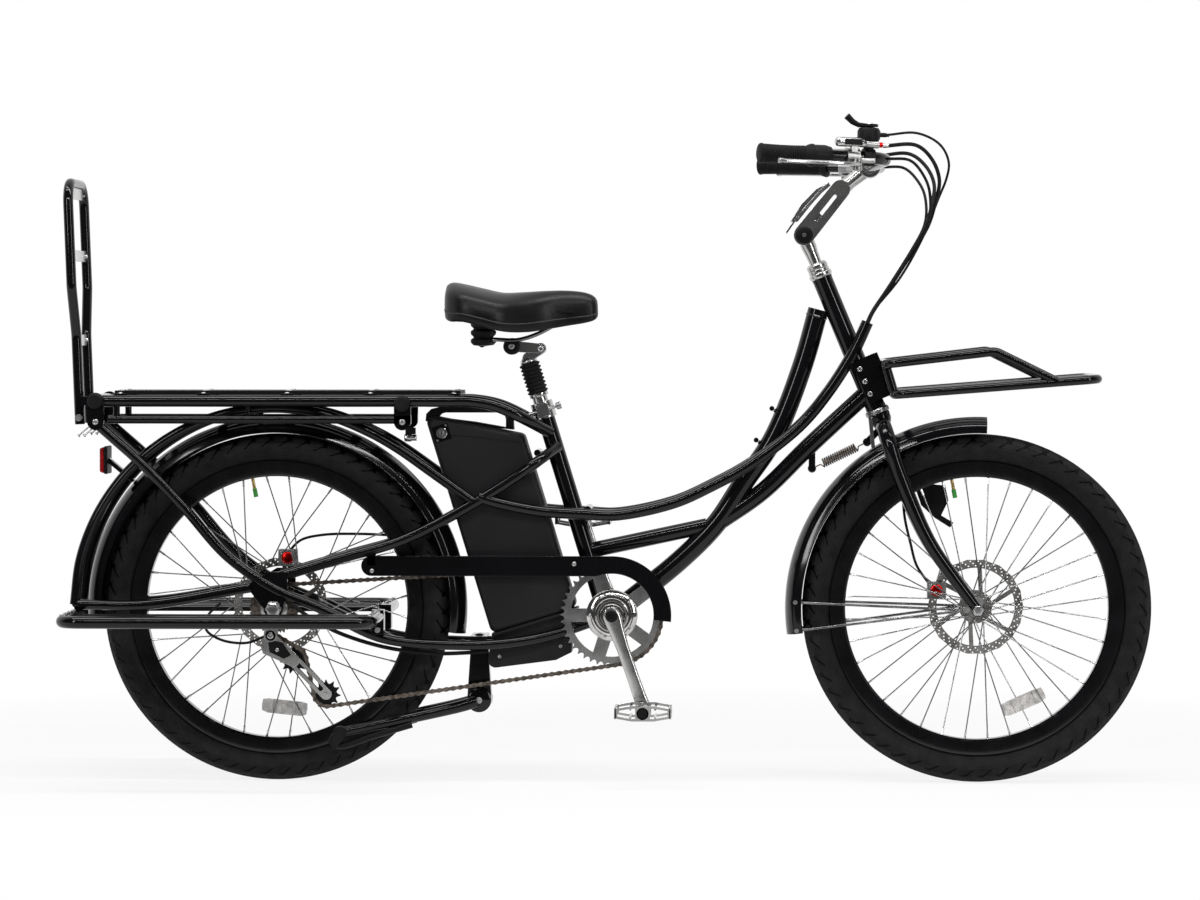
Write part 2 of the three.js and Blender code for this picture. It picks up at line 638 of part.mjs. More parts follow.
const seatTubeBody = inSeating(turnedUp([
  [0, 0], [seatTube.radius, 0], [seatTube.radius, seatTube.length], [seatTube.bore, seatTube.length],
  [seatTube.bore, seatTube.length - seatTube.boreDepth], [0, seatTube.length - seatTube.boreDepth],
]));
const seatCore = inSeating(turnedUp([
  [0, seatTube.length * 0.05], [seatTube.radius + clearance, seatTube.length * 0.05],
  [seatTube.radius + clearance, seatTube.length + overrun], [0, seatTube.length + overrun],
]));
const lowerBrace = rod(
  onPlane(onSeat(0, lowerBraceHeight)), onPlane(braceEnd), lowerBraceRadius, bigTubeSides);
add(
  "seat_tube",
  join(
    cut(seatTubeBody, shellAt(clearance), downTubeTool(clearance)),
    cut(lowerBrace, downTubeTool(clearance), inSeating(turnedUp([[0, 0], [seatTube.bore, 0],
      [seatTube.bore, seatTube.length], [0, seatTube.length]]))),
  ),
  blackPaint,
);

// The rack's deck tubes, cross tubes and lower rails

const deckEnd = onSeat(0, rack.endHeight);
const deckPlaces = [
  vector(rack.rear, -rack.deckHalf, rack.height),
  vector(rack.front - rack.bend, -rack.deckHalf, rack.height),
  ...route([rack.front, rack.height], deckEnd, gauge.seat, rack.deckHalf, deckEndShares),
];
const deckStations = [
  { place: deckPlaces[0], heading: vector(1, 0, 0) }, ...smoothStations(deckPlaces.slice(1), deckSteps),
];
const deckTool = (extra) => join(bothSides(tubeAlong(deckStations, rack.tube + extra, tubeSides)));
const crossAt = [[rack.crossRear, rack.height], [rack.crossFront, rack.height - rack.crossBelow]];
const lowerRailHeight = rack.height - rack.lowerDrop;
const stayFlank = gauge.rear + chainstayRadius + clearance;
const boltHeight = lowerRailHeight + rack.boltDrop;
const rackSide = crossAt.map(([x, z]) => join(
  plate(capsule([x, z], [x, boltHeight], rack.plateWidth / 2, rack.plateWidth / 2, 3),
    -stayFlank - rack.plate, -stayFlank),
  crossRod([x, boltHeight], -stayFlank - rack.plate - rack.boltHead, -stayFlank, rack.bolt, tubeSides),
  crossRod([x, z], -rack.crossHalf - rack.capWidth, -rack.crossHalf, rack.cap),
));
const lowerRail = join(
  rod(vector(rack.rear + rack.plateWidth / 2, -rack.deckHalf, lowerRailHeight),
    vector(rack.crossFront, -rack.deckHalf, lowerRailHeight), rack.lowerTube),
  block(rack.crossFront - rack.plateWidth / 2, rack.crossFront + rack.plateWidth / 2,
    -stayFlank - rack.plate, -rack.deckHalf, lowerRailHeight - rack.lowerTube, lowerRailHeight + rack.lowerTube),
  rod(vector(rack.rear + rack.plateWidth, -rack.deckHalf, lowerRailHeight),
    vector(rack.rear + rack.plateWidth, -rack.deckHalf, rack.height), rack.bolt),
);
add(
  "rack_frame",
  join(
    cut(deckTool(0), seatCore),
    crossAt.map((at) => crossRod(at, -rack.crossHalf, rack.crossHalf, rack.cross, tubeSides)),
    bothSides(join(...rackSide, lowerRail)),
  ),
  blackPaint,
);

// Slatted deck, clipped on to the deck tubes

const deckLow = rack.height + flatOf(rack.tube, tubeSides) + clearance;
const deckTop = deckLow + deckBoard.strapThickness;
const strapPlaces = Array.from({ length: deckBoard.straps }, (_, i) =>
  deckBoard.rear + deckBoard.strap / 2 +
  ((deckBoard.front - deckBoard.rear - deckBoard.strap) * i) / (deckBoard.straps - 1));
add(
  "rack_deck",
  join(
    strapPlaces.map((x) => block(x - deckBoard.strap / 2, x + deckBoard.strap / 2,
      -rack.deckHalf, rack.deckHalf, deckLow, deckTop)),
    Array.from({ length: deckBoard.slats }, (_, i) => {
      const y = (i - (deckBoard.slats - 1) / 2) * deckBoard.pitch;
      return block(deckBoard.rear, deckBoard.front, y - deckBoard.slat / 2, y + deckBoard.slat / 2,
        (deckLow + deckTop) / 2, deckTop + deckBoard.slatThickness);
    }),
  ),
  blackPlastic,
);

// Backrest hoop with its three flat slats and the lugs that meet the rack

const backrestAt = (z) => {
  const share = (z - backrest.bottom) / (backrest.top - backrest.bottom);
  return backrest.foot + (backrest.head - backrest.foot) * share;
};
const backrestPost = (y, z) => vector(backrestAt(z), y, z);
const backrestRun = [
  backrestPost(-backrest.halfBottom, backrest.bottom),
  backrestPost(-backrest.halfBottom, backrest.splayLow),
  backrestPost(-backrest.halfTop, backrest.splayHigh),
  backrestPost(-backrest.halfTop, backrest.top),
];
const acrossBike = (place) => vector(place.x, -place.y, place.z);
const backrestHalfAt = (z) => (z > backrest.splayHigh ? backrest.halfTop : THREE.MathUtils.mapLinear(
  Math.max(z, backrest.splayLow), backrest.splayLow, backrest.splayHigh, backrest.halfBottom, backrest.halfTop));
add(
  "backrest",
  join(
    bentTube([...backrestRun, ...backrestRun.map(acrossBike).reverse()], backrest.tube, backrest.bend),
    backrest.slatHeights.map((z) => block(
      backrestAt(z) - backrest.slat / 2, backrestAt(z) + backrest.slat / 2,
      -backrestHalfAt(z), backrestHalfAt(z), z - backrest.slatWidth / 2, z + backrest.slatWidth / 2)),
    bothSides(cut(
      block(backrest.foot, rack.crossRear, -backrest.halfBottom - backrest.lug / 2,
        -backrest.halfBottom + backrest.lug / 2, rack.height - backrest.lug / 2, rack.height + backrest.lug / 2),
      crossRod(crossAt[0], -rack.crossHalf, rack.crossHalf, rack.cross + clearance, tubeSides),
    )),
  ),
  blackPaint,
);

// Chainstays: from the rack's tail down to the axle, forward under the battery to the bracket

const tailTop = [rack.crossRear - tail.behind, rack.height - tail.below];
const chainstayPlaces = [
  ...route(tailTop, dropoutTop, gauge.chainstay, gauge.rear, chainstayRearShares),
  ...route(dropoutTop, bracketAt, gauge.bracket, gauge.chainstay, chainstayFrontShares),
];
const tailFront = [rearAxleAt[0] - tail.frontBehind, rearAxleAt[1] + tail.frontRise];
const chainstayTool = (extra) => smoothTube(chainstayPlaces, chainstayRadius + extra, chainstaySteps);
const dropoutOutline = [
  ...arc(rearAxleAt, dropout.radius, 180, 360, 6),
  [stayFoot[0] + dropout.radius, dropoutTop[1]],
  [stayFoot[0] + dropout.radius, rearAxleAt[1] + dropout.top],
  [stayFoot[0] - dropout.radius, rearAxleAt[1] + dropout.top],
  [tailFront[0], tailFront[1] + hoopRadius],
  [tailFront[0], tailFront[1] - hoopRadius],
];
const dropoutFace = dropout.halfGap + dropout.thickness;
const dropoutSlab = (extra) => plate(dropoutOutline, -dropoutFace - extra, -dropout.halfGap + extra);
const dropoutPlate = join(
  dropoutSlab(0),
  crossRod(rearAxleAt, -dropoutFace - rearAxle.nutHeight, -dropout.halfGap, rearAxle.nut, tubeSides),
  crossRod(rearAxleAt, -dropout.halfGap, -rearAxle.reach, rearAxle.radius, bigTubeSides),
);
const chainstay = cut(chainstayTool(0), shellAt(clearance));
const chainstayRight = join(chainstay, dropoutPlate);
const chainstayLeft = mirrored(chainstayRight);
add("chainstay_right", chainstayRight, blackPaint);
add("chainstay_left", chainstayLeft, blackPaint);

// Seat stays, bridged behind the seat tube

const stayBridgeAt = onSeat(seatStay.bridge, seatStay.height);
const stayBridge = crossRod(stayBridgeAt, -gauge.middle + stayRadius, gauge.middle - stayRadius, seatStay.bridgeRadius, tubeSides);
const cleanStay = cut(stayTool(0), seatCore, deckTool(clearance), chainstayTool(clearance), dropoutSlab(clearance));
add("seat_stays", join(bothSides(cleanStay), stayBridge), blackPaint);

// Hoops over the rear wheel, with the tail tubes that run back from the dropouts

const hoopArc = arc(rearAxleAt, hoop.radius, hoop.from, hoop.to, 9).map((at) => onPlane(at, -gauge.hoop));
const hoopLast = hoopArc[hoopArc.length - 1];
const crossing = stayPlaces[3];
const hoopPlaces = [
  ...hoopArc,
  ...route([hoopLast.x, hoopLast.z], [crossing.x, crossing.z], gauge.stay, gauge.hoop, hoopEndShares),
];
const tailPlaces = route([hoopArc[0].x, hoopArc[0].z], tailFront, gauge.hoop, gauge.chainstay, tailShares);
const hoopTool = (extra) => smoothTube(hoopPlaces, hoopRadius + extra, hoopSteps);
const tailTool = (extra) => smoothTube(tailPlaces, hoopRadius + extra, tailSteps);
const hoopCorner = [hoopArc[0].x, hoopArc[0].z];
const hoopCrown = arc(rearAxleAt, hoop.radius, hoop.crown, hoop.crown, 1)[0];
const hoopBridge = (at, extra = 0) => crossRod(at, -gauge.hoop, gauge.hoop, hoop.bridge + extra, tubeSides);
add(
  "rear_hoops",
  cut(
    join(
      bothSides(join(
        hoopTool(0),
        tailTool(0),
      )),
      hoopBridge(hoopCorner),
      hoopBridge(hoopCrown),
    ),
    bothSides(stayTool(clearance)),
    bothSides(chainstayTool(clearance)),
    bothSides(dropoutSlab(clearance)),
  ),
  blackPaint,
);

// Footboards on both sides

const boardRun = [
  vector(footboard.rear, -gauge.hoop + hoopRadius, footboard.height),
  vector(footboard.rear, -footboard.outer, footboard.height),
  vector(footboard.front, -footboard.outer, footboard.height),
  vector(footboard.front, -footboard.inner, footboard.height),
];
const boardSlats = Array.from({ length: footboard.slats }, (_, i) => {
  const y = -footboard.inner - ((footboard.outer - footboard.inner) * (i + 0.5)) / footboard.slats;
  return block(footboard.rear, footboard.front, y - footboard.slat / 2, y + footboard.slat / 2,
    footboard.height - footboard.slatThickness / 2, footboard.height + footboard.slatThickness / 2);
});
const clampPlace = chainstayPlaces[chainstayRearShares.length + 2];
const boardClamp = block(
  footboard.front - footboard.tube, footboard.front + footboard.tube,
  -footboard.inner, clampPlace.y, clampPlace.z + chainstayRadius / 2, footboard.height + footboard.tube);
const footboardRight = cut(
  join(bentTube(boardRun, footboard.tube, footboard.bend), ...boardSlats, boardClamp),
  chainstayTool(clearance),
  tailTool(clearance),
  hoopTool(clearance),
  hoopBridge(hoopCorner, clearance),
);
add("footboard_right", footboardRight, blackPaint);
add("footboard_left", mirrored(footboardRight), blackPaint);

// Mudguards: a crowned strip turned about the axle and cut to its sector

function mudguard(axleAt, from, to) {
  const half = fender.width / 2;
  const { radius, wall, crown } = fender;
  const strip = turned([
    [radius - crown, -half], [radius + crown, -half / 2], [radius + crown, half / 2], [radius - crown, half],
    [radius + crown - wall, half / 2], [radius + crown - wall, -half / 2], [radius - crown, -half],
  ], wheelSides);
  const reach = radius * 1.5;
  const sector = plate([[0, 0], ...arc([0, 0], reach, from, to, 8)], -half - overrun, half + overrun);
  return moved(strip.intersect(sector), shifted(axleAt[0], 0, axleAt[1]));
}
const fenderTop = fender.radius + fender.crown;
const rearFenderBoss = rod(
  onPlane(arc(rearAxleAt, fenderTop - fender.wall, hoop.crown, hoop.crown, 1)[0]),
  onPlane(arc(rearAxleAt, hoop.radius - hoop.bridge - clearance, hoop.crown, hoop.crown, 1)[0]),
  fender.boss,
);
add("rear_fender", join(mudguard(rearAxleAt, fender.rearFrom, fender.rearTo), rearFenderBoss), blackPaint);

// Chain guard

const guardTop = bracketAt[1] + chainGuard.outer;
const guardTip = [chainGuard.rearTip + chainGuard.height / 2, guardTop - chainGuard.height / 2];
const guardInnerStart = THREE.MathUtils.radToDeg(
  Math.PI - Math.asin((chainGuard.outer - chainGuard.height) / chainGuard.inner));
const guardOutline = [
  ...arc(guardTip, chainGuard.height / 2, 90, 270, 4),
  ...arc(bracketAt, chainGuard.inner, guardInnerStart, chainGuard.end, 7),
  ...arc(bracketAt, chainGuard.outer, chainGuard.end, 90, 7),
];
const guardTab = cut(
  block(guardTip[0] - chainGuard.tab / 2, guardTip[0] + chainGuard.tab / 2,
    chainGuard.plane - chainGuard.thickness, -gauge.stay + stayRadius,
    guardTip[1], chainGuard.tabTop),
  stayTool(clearance),
);
add(
  "chain_guard",
  join(
    plate(guardOutline, chainGuard.plane - chainGuard.thickness, chainGuard.plane),
    guardTab,
  ),
  blackPlastic,
);

// Battery, lying behind the seat tube, with its lock and the seam round its top

const batteryHalf = battery.width / 2;
const batteryOutline = [
  [-battery.back, battery.bottom + battery.edge], [-battery.back + battery.edge, battery.bottom],
  [-battery.front - battery.edge, battery.bottom], [-battery.front, battery.bottom + battery.edge],
  [-battery.front, battery.frontTop - battery.edge], [-battery.front - battery.edge, battery.frontTop],
  [-battery.back + battery.edge, battery.top], [-battery.back, battery.top - battery.edge],
];
const seamTop = battery.top - battery.seamBelow;
const seamFront = battery.frontTop - battery.seamBelow * 0.4;
const seam = (y0, y1) => plate([
  [-battery.back - overrun, seamTop], [-battery.front + overrun, seamFront],
  [-battery.front + overrun, seamFront + battery.seam], [-battery.back - overrun, seamTop + battery.seam],
], y0, y1);
const lockAt = [-battery.back + battery.lockAhead, battery.top - battery.lockBelow];
const batteryBody = join(
  cut(
    plate(batteryOutline, -batteryHalf, batteryHalf),
    seam(-batteryHalf - overrun, -batteryHalf + battery.seam),
    seam(batteryHalf - battery.seam, batteryHalf + overrun),
  ),
  crossRod(lockAt, -batteryHalf - battery.lockHeight, -batteryHalf + battery.seam, battery.lock, bigTubeSides),
);
add("battery", batteryBody, blackPlastic, seating);

// Dock under the battery, with the controller's case below it

const dockFoot = battery.bottom - clearance;
const dockBody = inSeating(block(-battery.back, -battery.front, -dock.half, dock.half,
  dockFoot - dock.height, dockFoot));
const controllerCase = plate([
  ...arc([controller.rear + controller.corner, controller.bottom + controller.corner], controller.corner, 180, 270, 3),
  [controller.front - controller.corner * 2, controller.bottom + controller.corner],
  [controller.front, controller.bottom + controller.corner * 2],
  onSeat(-battery.front - controller.corner, dockFoot - dock.height / 2),
  onSeat(-battery.back, dockFoot - dock.height / 2),
], -controller.width / 2, controller.width / 2);
add(
  "battery_dock",
  cut(join(dockBody, controllerCase), bothSides(chainstayTool(clearance)), shellAt(clearance), seatCore),
  blackPlastic,
);

// Stand: a bracket between the chainstays, and the twin legs on its knuckle

const knuckle = (from, to, extra = 0) => crossRod(stand.at, from, to, stand.knuckle + extra);
const standHead = [stand.at[0], stand.postTop];
add(
  "kickstand_bracket",
  cut(
    join(
      plate(capsule(standHead, stand.at, stand.post, stand.knuckle), -stand.post, stand.post),
      block(stand.at[0] - stand.post, stand.at[0] + stand.post, -gauge.middle, gauge.middle,
        stand.postTop - stand.plate, stand.postTop),
      knuckle(-stand.width / 2, stand.width / 2),
    ),
    bothSides(chainstayTool(clearance)),
    inSeating(block(-battery.back - overrun, -battery.front, -dock.half - clearance, dock.half + clearance,
      dockFoot - dock.height - clearance, dockFoot)),
    block(controller.rear - clearance, controller.front, -stand.width, stand.width, controller.bottom, stand.postTop),
  ),
  blackPaint,
);
const legHinge = stand.width / 2 + clearance;
const legStation = (x, y, z) => ({ place: vector(x, -y, z), heading: vector(-1, 0, 0) });
const standLeg = join(
  knuckle(-legHinge - stand.ear, -legHinge),
  taperedTube([
    legStation(stand.at[0], legHinge + stand.legRadius, stand.at[1]),
    legStation(stand.at[0] - stand.knuckle, legHinge + stand.legRadius, stand.at[1] - stand.legRadius),
    legStation(stand.foot[0], stand.gauge, stand.foot[1]),
  ], () => stand.legRadius),
  plate(capsule(stand.foot, stand.toe, stand.footRadius, stand.toeRadius, 3),
    -stand.gauge - stand.footWidth / 2, -stand.gauge + stand.footWidth / 2),
);
const legTieAt = [
  THREE.MathUtils.lerp(stand.at[0], stand.foot[0], stand.tieShare),
  THREE.MathUtils.lerp(stand.at[1], stand.foot[1], stand.tieShare) - stand.legRadius / 2,
];
const legTieHalf = THREE.MathUtils.lerp(legHinge + stand.ear, stand.gauge, stand.tieShare);
add("kickstand", join(bothSides(standLeg), crossRod(legTieAt, -legTieHalf, legTieHalf, stand.tie, tubeSides)), blackPaint);

// Front carrier, bolted to the head tube by a channel

const basketLow = (x) => basket.low + (basket.noseRise * (x - basket.rear)) / (basket.nose - basket.rear);
const lowPlace = (x, y) => vector(x, y, basketLow(x));
const lowLoop = bentTube([
  lowPlace((basket.rear + basket.nose) / 2, -basket.half), lowPlace(basket.nose, -basket.half),
  lowPlace(basket.nose, basket.half), lowPlace(basket.rear, basket.half),
  lowPlace(basket.rear, -basket.half), lowPlace((basket.rear + basket.nose) / 2 + basket.tube, -basket.half),
], basket.tube, basket.bend);
const railRun = [
  vector(basket.railEnd, -basket.half, basketLow(basket.railEnd)),
  vector(basket.railFront, -basket.half, basket.railTop),
  vector(basket.railRear, -basket.half, basket.railHeight),
];
const railLoop = bentTube([...railRun, ...railRun.map(acrossBike).reverse()], basket.tube, basket.bend);
const basketPost = rod(lowPlace(basket.rear, -basket.half + basket.bend), vector(basket.railRear, -basket.half + basket.bend, basket.railHeight), basket.tube);
const basketSlats = Array.from({ length: basket.slats }, (_, i) => {
  const y = ((i + 1) / (basket.slats + 1) - 0.5) * 2 * basket.half;
  return rod(lowPlace(basket.rear, y), lowPlace(basket.nose, y), basket.slat, 4);
});
const channel = cut(
  join(
    block(-head.radius / 2, bracket.forward, -head.radius - clearance - bracket.thickness,
      head.radius + clearance + bracket.thickness, bracket.low, bracket.high),
    bracket.boltShares.map((share) => crossRod([0, bracket.low + (bracket.high - bracket.low) * share],
      -head.radius - bracket.thickness - bracket.bolt, head.radius + bracket.thickness + bracket.bolt, bracket.bolt, tubeSides)),
  ),
  block(-head.radius, bracket.forward - bracket.thickness, -head.radius - clearance, head.radius + clearance,
    bracket.low - overrun, bracket.high + overrun),
);
add(
  "front_rack",
  cut(
    join(lowLoop, railLoop, bothSides(basketPost), basketSlats, inSteering(channel)),
    bothSides(sideTool(clearance)),
    inSteering(turnedUp([[0, -overrun], [head.radius + clearance, -overrun],
      [head.radius + clearance, head.length], [0, head.length]])),
  ),
  blackPaint,
);

// Fork: twin blades bent from one crown, the steerer with its locknut, and the axle


const legPlaces = [
  ...forkShares.map(([x, y, z]) => vector(x * fork.rake, -y * fork.gauge, -z * fork.axleToFoot)),
  vector(0, 0, -fork.crown),
];
const forkLine = new THREE.CatmullRomCurve3(
  [...legPlaces, ...legPlaces.slice(0, -1).map(acrossBike).reverse()], false, "centripetal");
const forkRings = Array.from({ length: forkSteps + 1 }, (_, i) => {
  const share = i / forkSteps;
  const place = forkLine.getPointAt(share);
  const heading = forkLine.getTangentAt(share);
  const fromEnd = Math.min(share, 1 - share) * 2;
  const radius = THREE.MathUtils.lerp(fork.endRadius, fork.topRadius, Math.min(1, fromEnd * 1.6));
  const over = vector(1, 0, 0).addScaledVector(heading, -heading.x).normalize();
  const across = over.clone().cross(heading).normalize();
  return Array.from({ length: tubeSides }, (_, k) => {
    const angle = (k * 2 * Math.PI) / tubeSides;
    return place.clone().addScaledVector(over, radius * Math.cos(angle)).addScaledVector(across, radius * Math.sin(angle));
  });
});
const cupTop = head.length + headset.topHeight + clearance;
const steerer = turnedUp([
  [0, -fork.crown], [fork.steerer, -fork.crown], [headset.cupRadius - headset.lip, -headset.cupHeight * 2.2],
  [headset.cupRadius - headset.lip, -headset.cupHeight - clearance], [fork.steerer, -headset.cupHeight - clearance],
  [fork.steerer, cupTop], [locknut.radius, cupTop], [locknut.radius, cupTop + locknut.height],
  [locknut.radius - locknut.chamfer, cupTop + locknut.height + locknut.chamfer],
  [steererBore.radius, cupTop + locknut.height + locknut.chamfer], [steererBore.radius, cupTop - steererBore.depth],
  [0, cupTop - steererBore.depth],
]);
const forkAxleAt = [fork.rake, -fork.axleToFoot];
const forkHalf = fork.gauge + fork.tipWidth / 2;
const forkSpringTab = plate(
  capsule([0, -fork.crown], [-springTab.behind, -springTab.below], springTab.radius, springTab.radius, 2),
  -springTab.thickness / 2, springTab.thickness / 2);
const forkBody = join(
    loft(forkRings), steerer,
    crossRod(forkAxleAt, -forkHalf, -forkHalf + fork.tipWidth, fork.tip),
    crossRod(forkAxleAt, forkHalf - fork.tipWidth, forkHalf, fork.tip),
    crossRod(forkAxleAt, -forkHalf - fork.nutHeight, forkHalf + fork.nutHeight, fork.axle, tubeSides),
    crossRod(forkAxleAt, -forkHalf - fork.nutHeight, -forkHalf, fork.nut, 6),
    crossRod(forkAxleAt, forkHalf, forkHalf + fork.nutHeight, fork.nut, 6),
    forkSpringTab,
);
add("fork", forkBody, blackPaint, steering);

// Front mudguard with the two stays on each side

const frontStay = (edge) => {
  const from = arc(frontAxleAt, fender.radius - fender.crown, edge, edge, 1)[0];
  const eyelet = [frontAxleAt[0] - fender.eyelet, frontAxleAt[1]];
  const half = fender.width / 2 - fender.wall;
  return [
    rod(onPlane(from, -half), onPlane(eyelet, -forkHalf - fender.stay * 2), fender.stay, 5),
    crossRod(eyelet, -forkHalf - fender.stay * 3, -forkHalf - clearance, fender.stay * 2, tubeSides),
  ];
};
const fenderPost = (() => {
  const top = -fork.crown - fork.topRadius - 2 * clearance;
  const reach = Math.sqrt(fenderTop ** 2 - fork.rake ** 2) - fork.axleToFoot;
  return inSteering(rod(vector(0, 0, reach - fender.wall), vector(0, 0, top), fender.boss));
})();
const inSteeringFrame = (body) => moved(body, steering.matrixWorld.clone().invert());
add(
  "front_fender",
  inSteeringFrame(join(
    mudguard(frontAxleAt, fender.frontFrom, fender.frontTo),
    fenderPost,
    ...bothSides(join(...frontStay(fender.frontTo - 1), ...frontStay(fender.frontTo - 1 - fender.stayGap))),
  )),
  blackPaint, steering,
);

// Stem: the quill in the steerer, the tilting arm on its pivot, and the lever that locks it

const quillBody = join(
  turnedUp([
    [0, quill.bottom], [quill.radius, quill.bottom], [quill.radius, quill.cone],
    [quill.top, quill.boss - quill.bossRadius - quill.neck], [0, quill.boss - quill.bossRadius - quill.neck],
  ]),
  block(-quill.top * 0.75, quill.top * 0.75, -quill.bossWidth / 2, quill.bossWidth / 2,
    quill.boss - quill.bossRadius - quill.neck * 1.5, quill.boss),
  crossRod([0, quill.boss], -quill.bossWidth / 2, quill.bossWidth / 2, quill.bossRadius),
);
add("stem_quill", quillBody, silver, steering);

const armPivot = [0, quill.boss];
const armJoint = [arm.forward, arm.height];
const clampAt = [arm.clampForward, arm.clampHeight];
const leverPivot = [stemLever.forward, stemLever.height];
const armBody = join(
  cut(
    join(
      plate(capsule(armPivot, armJoint, arm.ear, arm.half, 5), -arm.width / 2, arm.width / 2),
      crossRod(armPivot, -arm.width / 2 - arm.capHeight, arm.width / 2 + arm.capHeight, arm.cap),
      plate(capsule(leverPivot, armJoint, stemLever.pin, stemLever.pin, 2), -stemLever.pin, stemLever.pin),
    ),
    crossRod(armPivot, -quill.bossWidth / 2 - clearance, quill.bossWidth / 2 + clearance, arm.ear + arm.gap, turnedSides),
    plate(capsule([arm.forward * 0.34, quill.boss + (arm.height - quill.boss) * 0.34],
      [arm.forward * 0.85, quill.boss + (arm.height - quill.boss) * 0.85], arm.slot / 2, arm.slot / 2, 2),
    -arm.width / 2 - overrun, arm.width / 2 + overrun),
  ),
  cut(
    join(
      rod(onPlane(armJoint), onPlane(clampAt), arm.riser, bigTubeSides),
      crossRod(clampAt, -arm.clampWidth / 2, arm.clampWidth / 2, arm.clampRadius),
    ),
    crossRod(clampAt, -arm.clampWidth, arm.clampWidth, boreOf(bar.centre + clearance, bigTubeSides)),
  ),
);
add("stem_arm", armBody, silver, steering);

const leverTip = [leverPivot[0] - stemLever.length * Math.cos(degrees(stemLever.lean)),
  leverPivot[1] - stemLever.length * Math.sin(degrees(stemLever.lean))];
function aboutLever([x, z], angle) {
  const [cosine, sine] = [Math.cos(degrees(angle)), Math.sin(degrees(angle))];
  const [ahead, above] = [x - leverPivot[0], z - leverPivot[1]];
  return [leverPivot[0] + ahead * cosine - above * sine, leverPivot[1] + ahead * sine + above * cosine];
}
const leverTurns = Array.from({ length: stemLever.steps + 1 }, (_, i) => (stemLever.turn * i) / stemLever.steps);
const armPassed = (angle) => plate(
  capsule(aboutLever(armPivot, angle), aboutLever(armJoint, angle), arm.ear + clearance, arm.half + clearance, 5),
  -arm.width, arm.width);
add(
  "stem_lever",
  cut(
    plate(capsule(leverPivot, leverTip, stemLever.pin + stemLever.thickness / 2, stemLever.thickness / 2, 3),
      -stemLever.width / 2, stemLever.width / 2),
    crossRod(leverPivot, -stemLever.pin - clearance, stemLever.pin + clearance, stemLever.pin + stemLever.thickness),
    crossRod(armPivot, -arm.width, arm.width, arm.ear),
    ...leverTurns.map(armPassed),
  ),
  silver, steering,
);

// Handlebar: a straight centre, swept back to the grips, with the brake perches and the shifter

const barEnd = vector(bar.gripEnd, -bar.gripHalf, bar.gripHeight);
const barCorner = vector(bar.cornerForward, -bar.cornerHalf, bar.cornerHeight);
const clampWorld = onHead(...clampAt);
const barMiddle = vector(clampWorld[0], -bar.centreHalf, clampWorld[1]);
const barRun = [barEnd, barCorner, barMiddle];
const alongBar = barCorner.clone().sub(barEnd).normalize();
const inwardBar = vector(0, 0, 1).cross(alongBar).normalize();
const upBar = alongBar.clone().cross(inwardBar);
const barFrame = new THREE.Matrix4().makeBasis(alongBar, inwardBar, upBar).setPosition(barEnd);
const onBar = (body) => moved(body, barFrame);
function turnedAlong(profile, sides = turnedSides) {
  const shape = new THREE.LatheGeometry(profile.map(([r, u]) => new THREE.Vector2(r, u)), sides);
  return solid(shape.rotateZ(-Math.PI / 2));
}
// A flat piece lying beside the bar, from z0 to z1 above its middle.
function slab(points, z0, z1) {
  const shape = new THREE.ExtrudeGeometry(outlineShape(points), { depth: z1 - z0, bevelEnabled: false });
  return solid(shape.translate(0, 0, z0));
}
const pivotAt = [perch.at, -perch.reach];
const leverLevel = -brakeLever.drop;
const barrelLevel = leverLevel + perch.gap + perch.pin;
const perchEar = (z0, z1) => slab(
  capsule([perch.at, 0], pivotAt, perch.lug, perch.lug, 3), leverLevel + z0, leverLevel + z1);
const perchPin = (radius) => rod(
  vector(...pivotAt, leverLevel - perch.height), vector(...pivotAt, leverLevel + perch.height), radius, tubeSides);
const perchBody = join(
  turnedAlong(ring(0, perch.radius, perch.at - perch.width / 2, perch.at + perch.width / 2), bigTubeSides),
  perchEar(-perch.height, -perch.gap), perchEar(perch.gap, perch.height),
  perchPin(perch.pin),
  rod(vector(perch.at, -perch.adjuster, barrelLevel), vector(perch.at + perch.barrel, -perch.adjuster, barrelLevel),
    perch.pin, tubeSides),
);
const shifterBody = join(
  turnedAlong(ring(0, perch.radius, shifter.at - shifter.clamp / 2, shifter.at + shifter.clamp / 2), bigTubeSides),
  rod(vector(shifter.at, 0, 0), vector(shifter.at, 0, shifter.rise), shifter.neck),
  moved(turnedUp([[0, 0], [shifter.radius * 0.8, 0], [shifter.radius, shifter.height * 0.3],
    [shifter.radius, shifter.height], [0, shifter.height]]), shifted(shifter.at, 0, shifter.rise)),
  rod(vector(shifter.at, 0, shifter.rise + shifter.height / 2),
    vector(shifter.at + shifter.radius + shifter.outlet, 0, shifter.rise + shifter.height / 2), cable.thin * 1.6, tubeSides),
);
add(
  "handlebar",
  join(
    bentTube([...barRun, ...barRun.map(acrossBike).reverse()], bar.radius, bar.bend, bigTubeSides),
    crossRod(clampWorld, -arm.clampWidth / 2 - overrun, arm.clampWidth / 2 + overrun, bar.centre, turnedSides),
    bothSides(onBar(perchBody)),
    onBar(shifterBody),
  ),
  blackPaint,
);

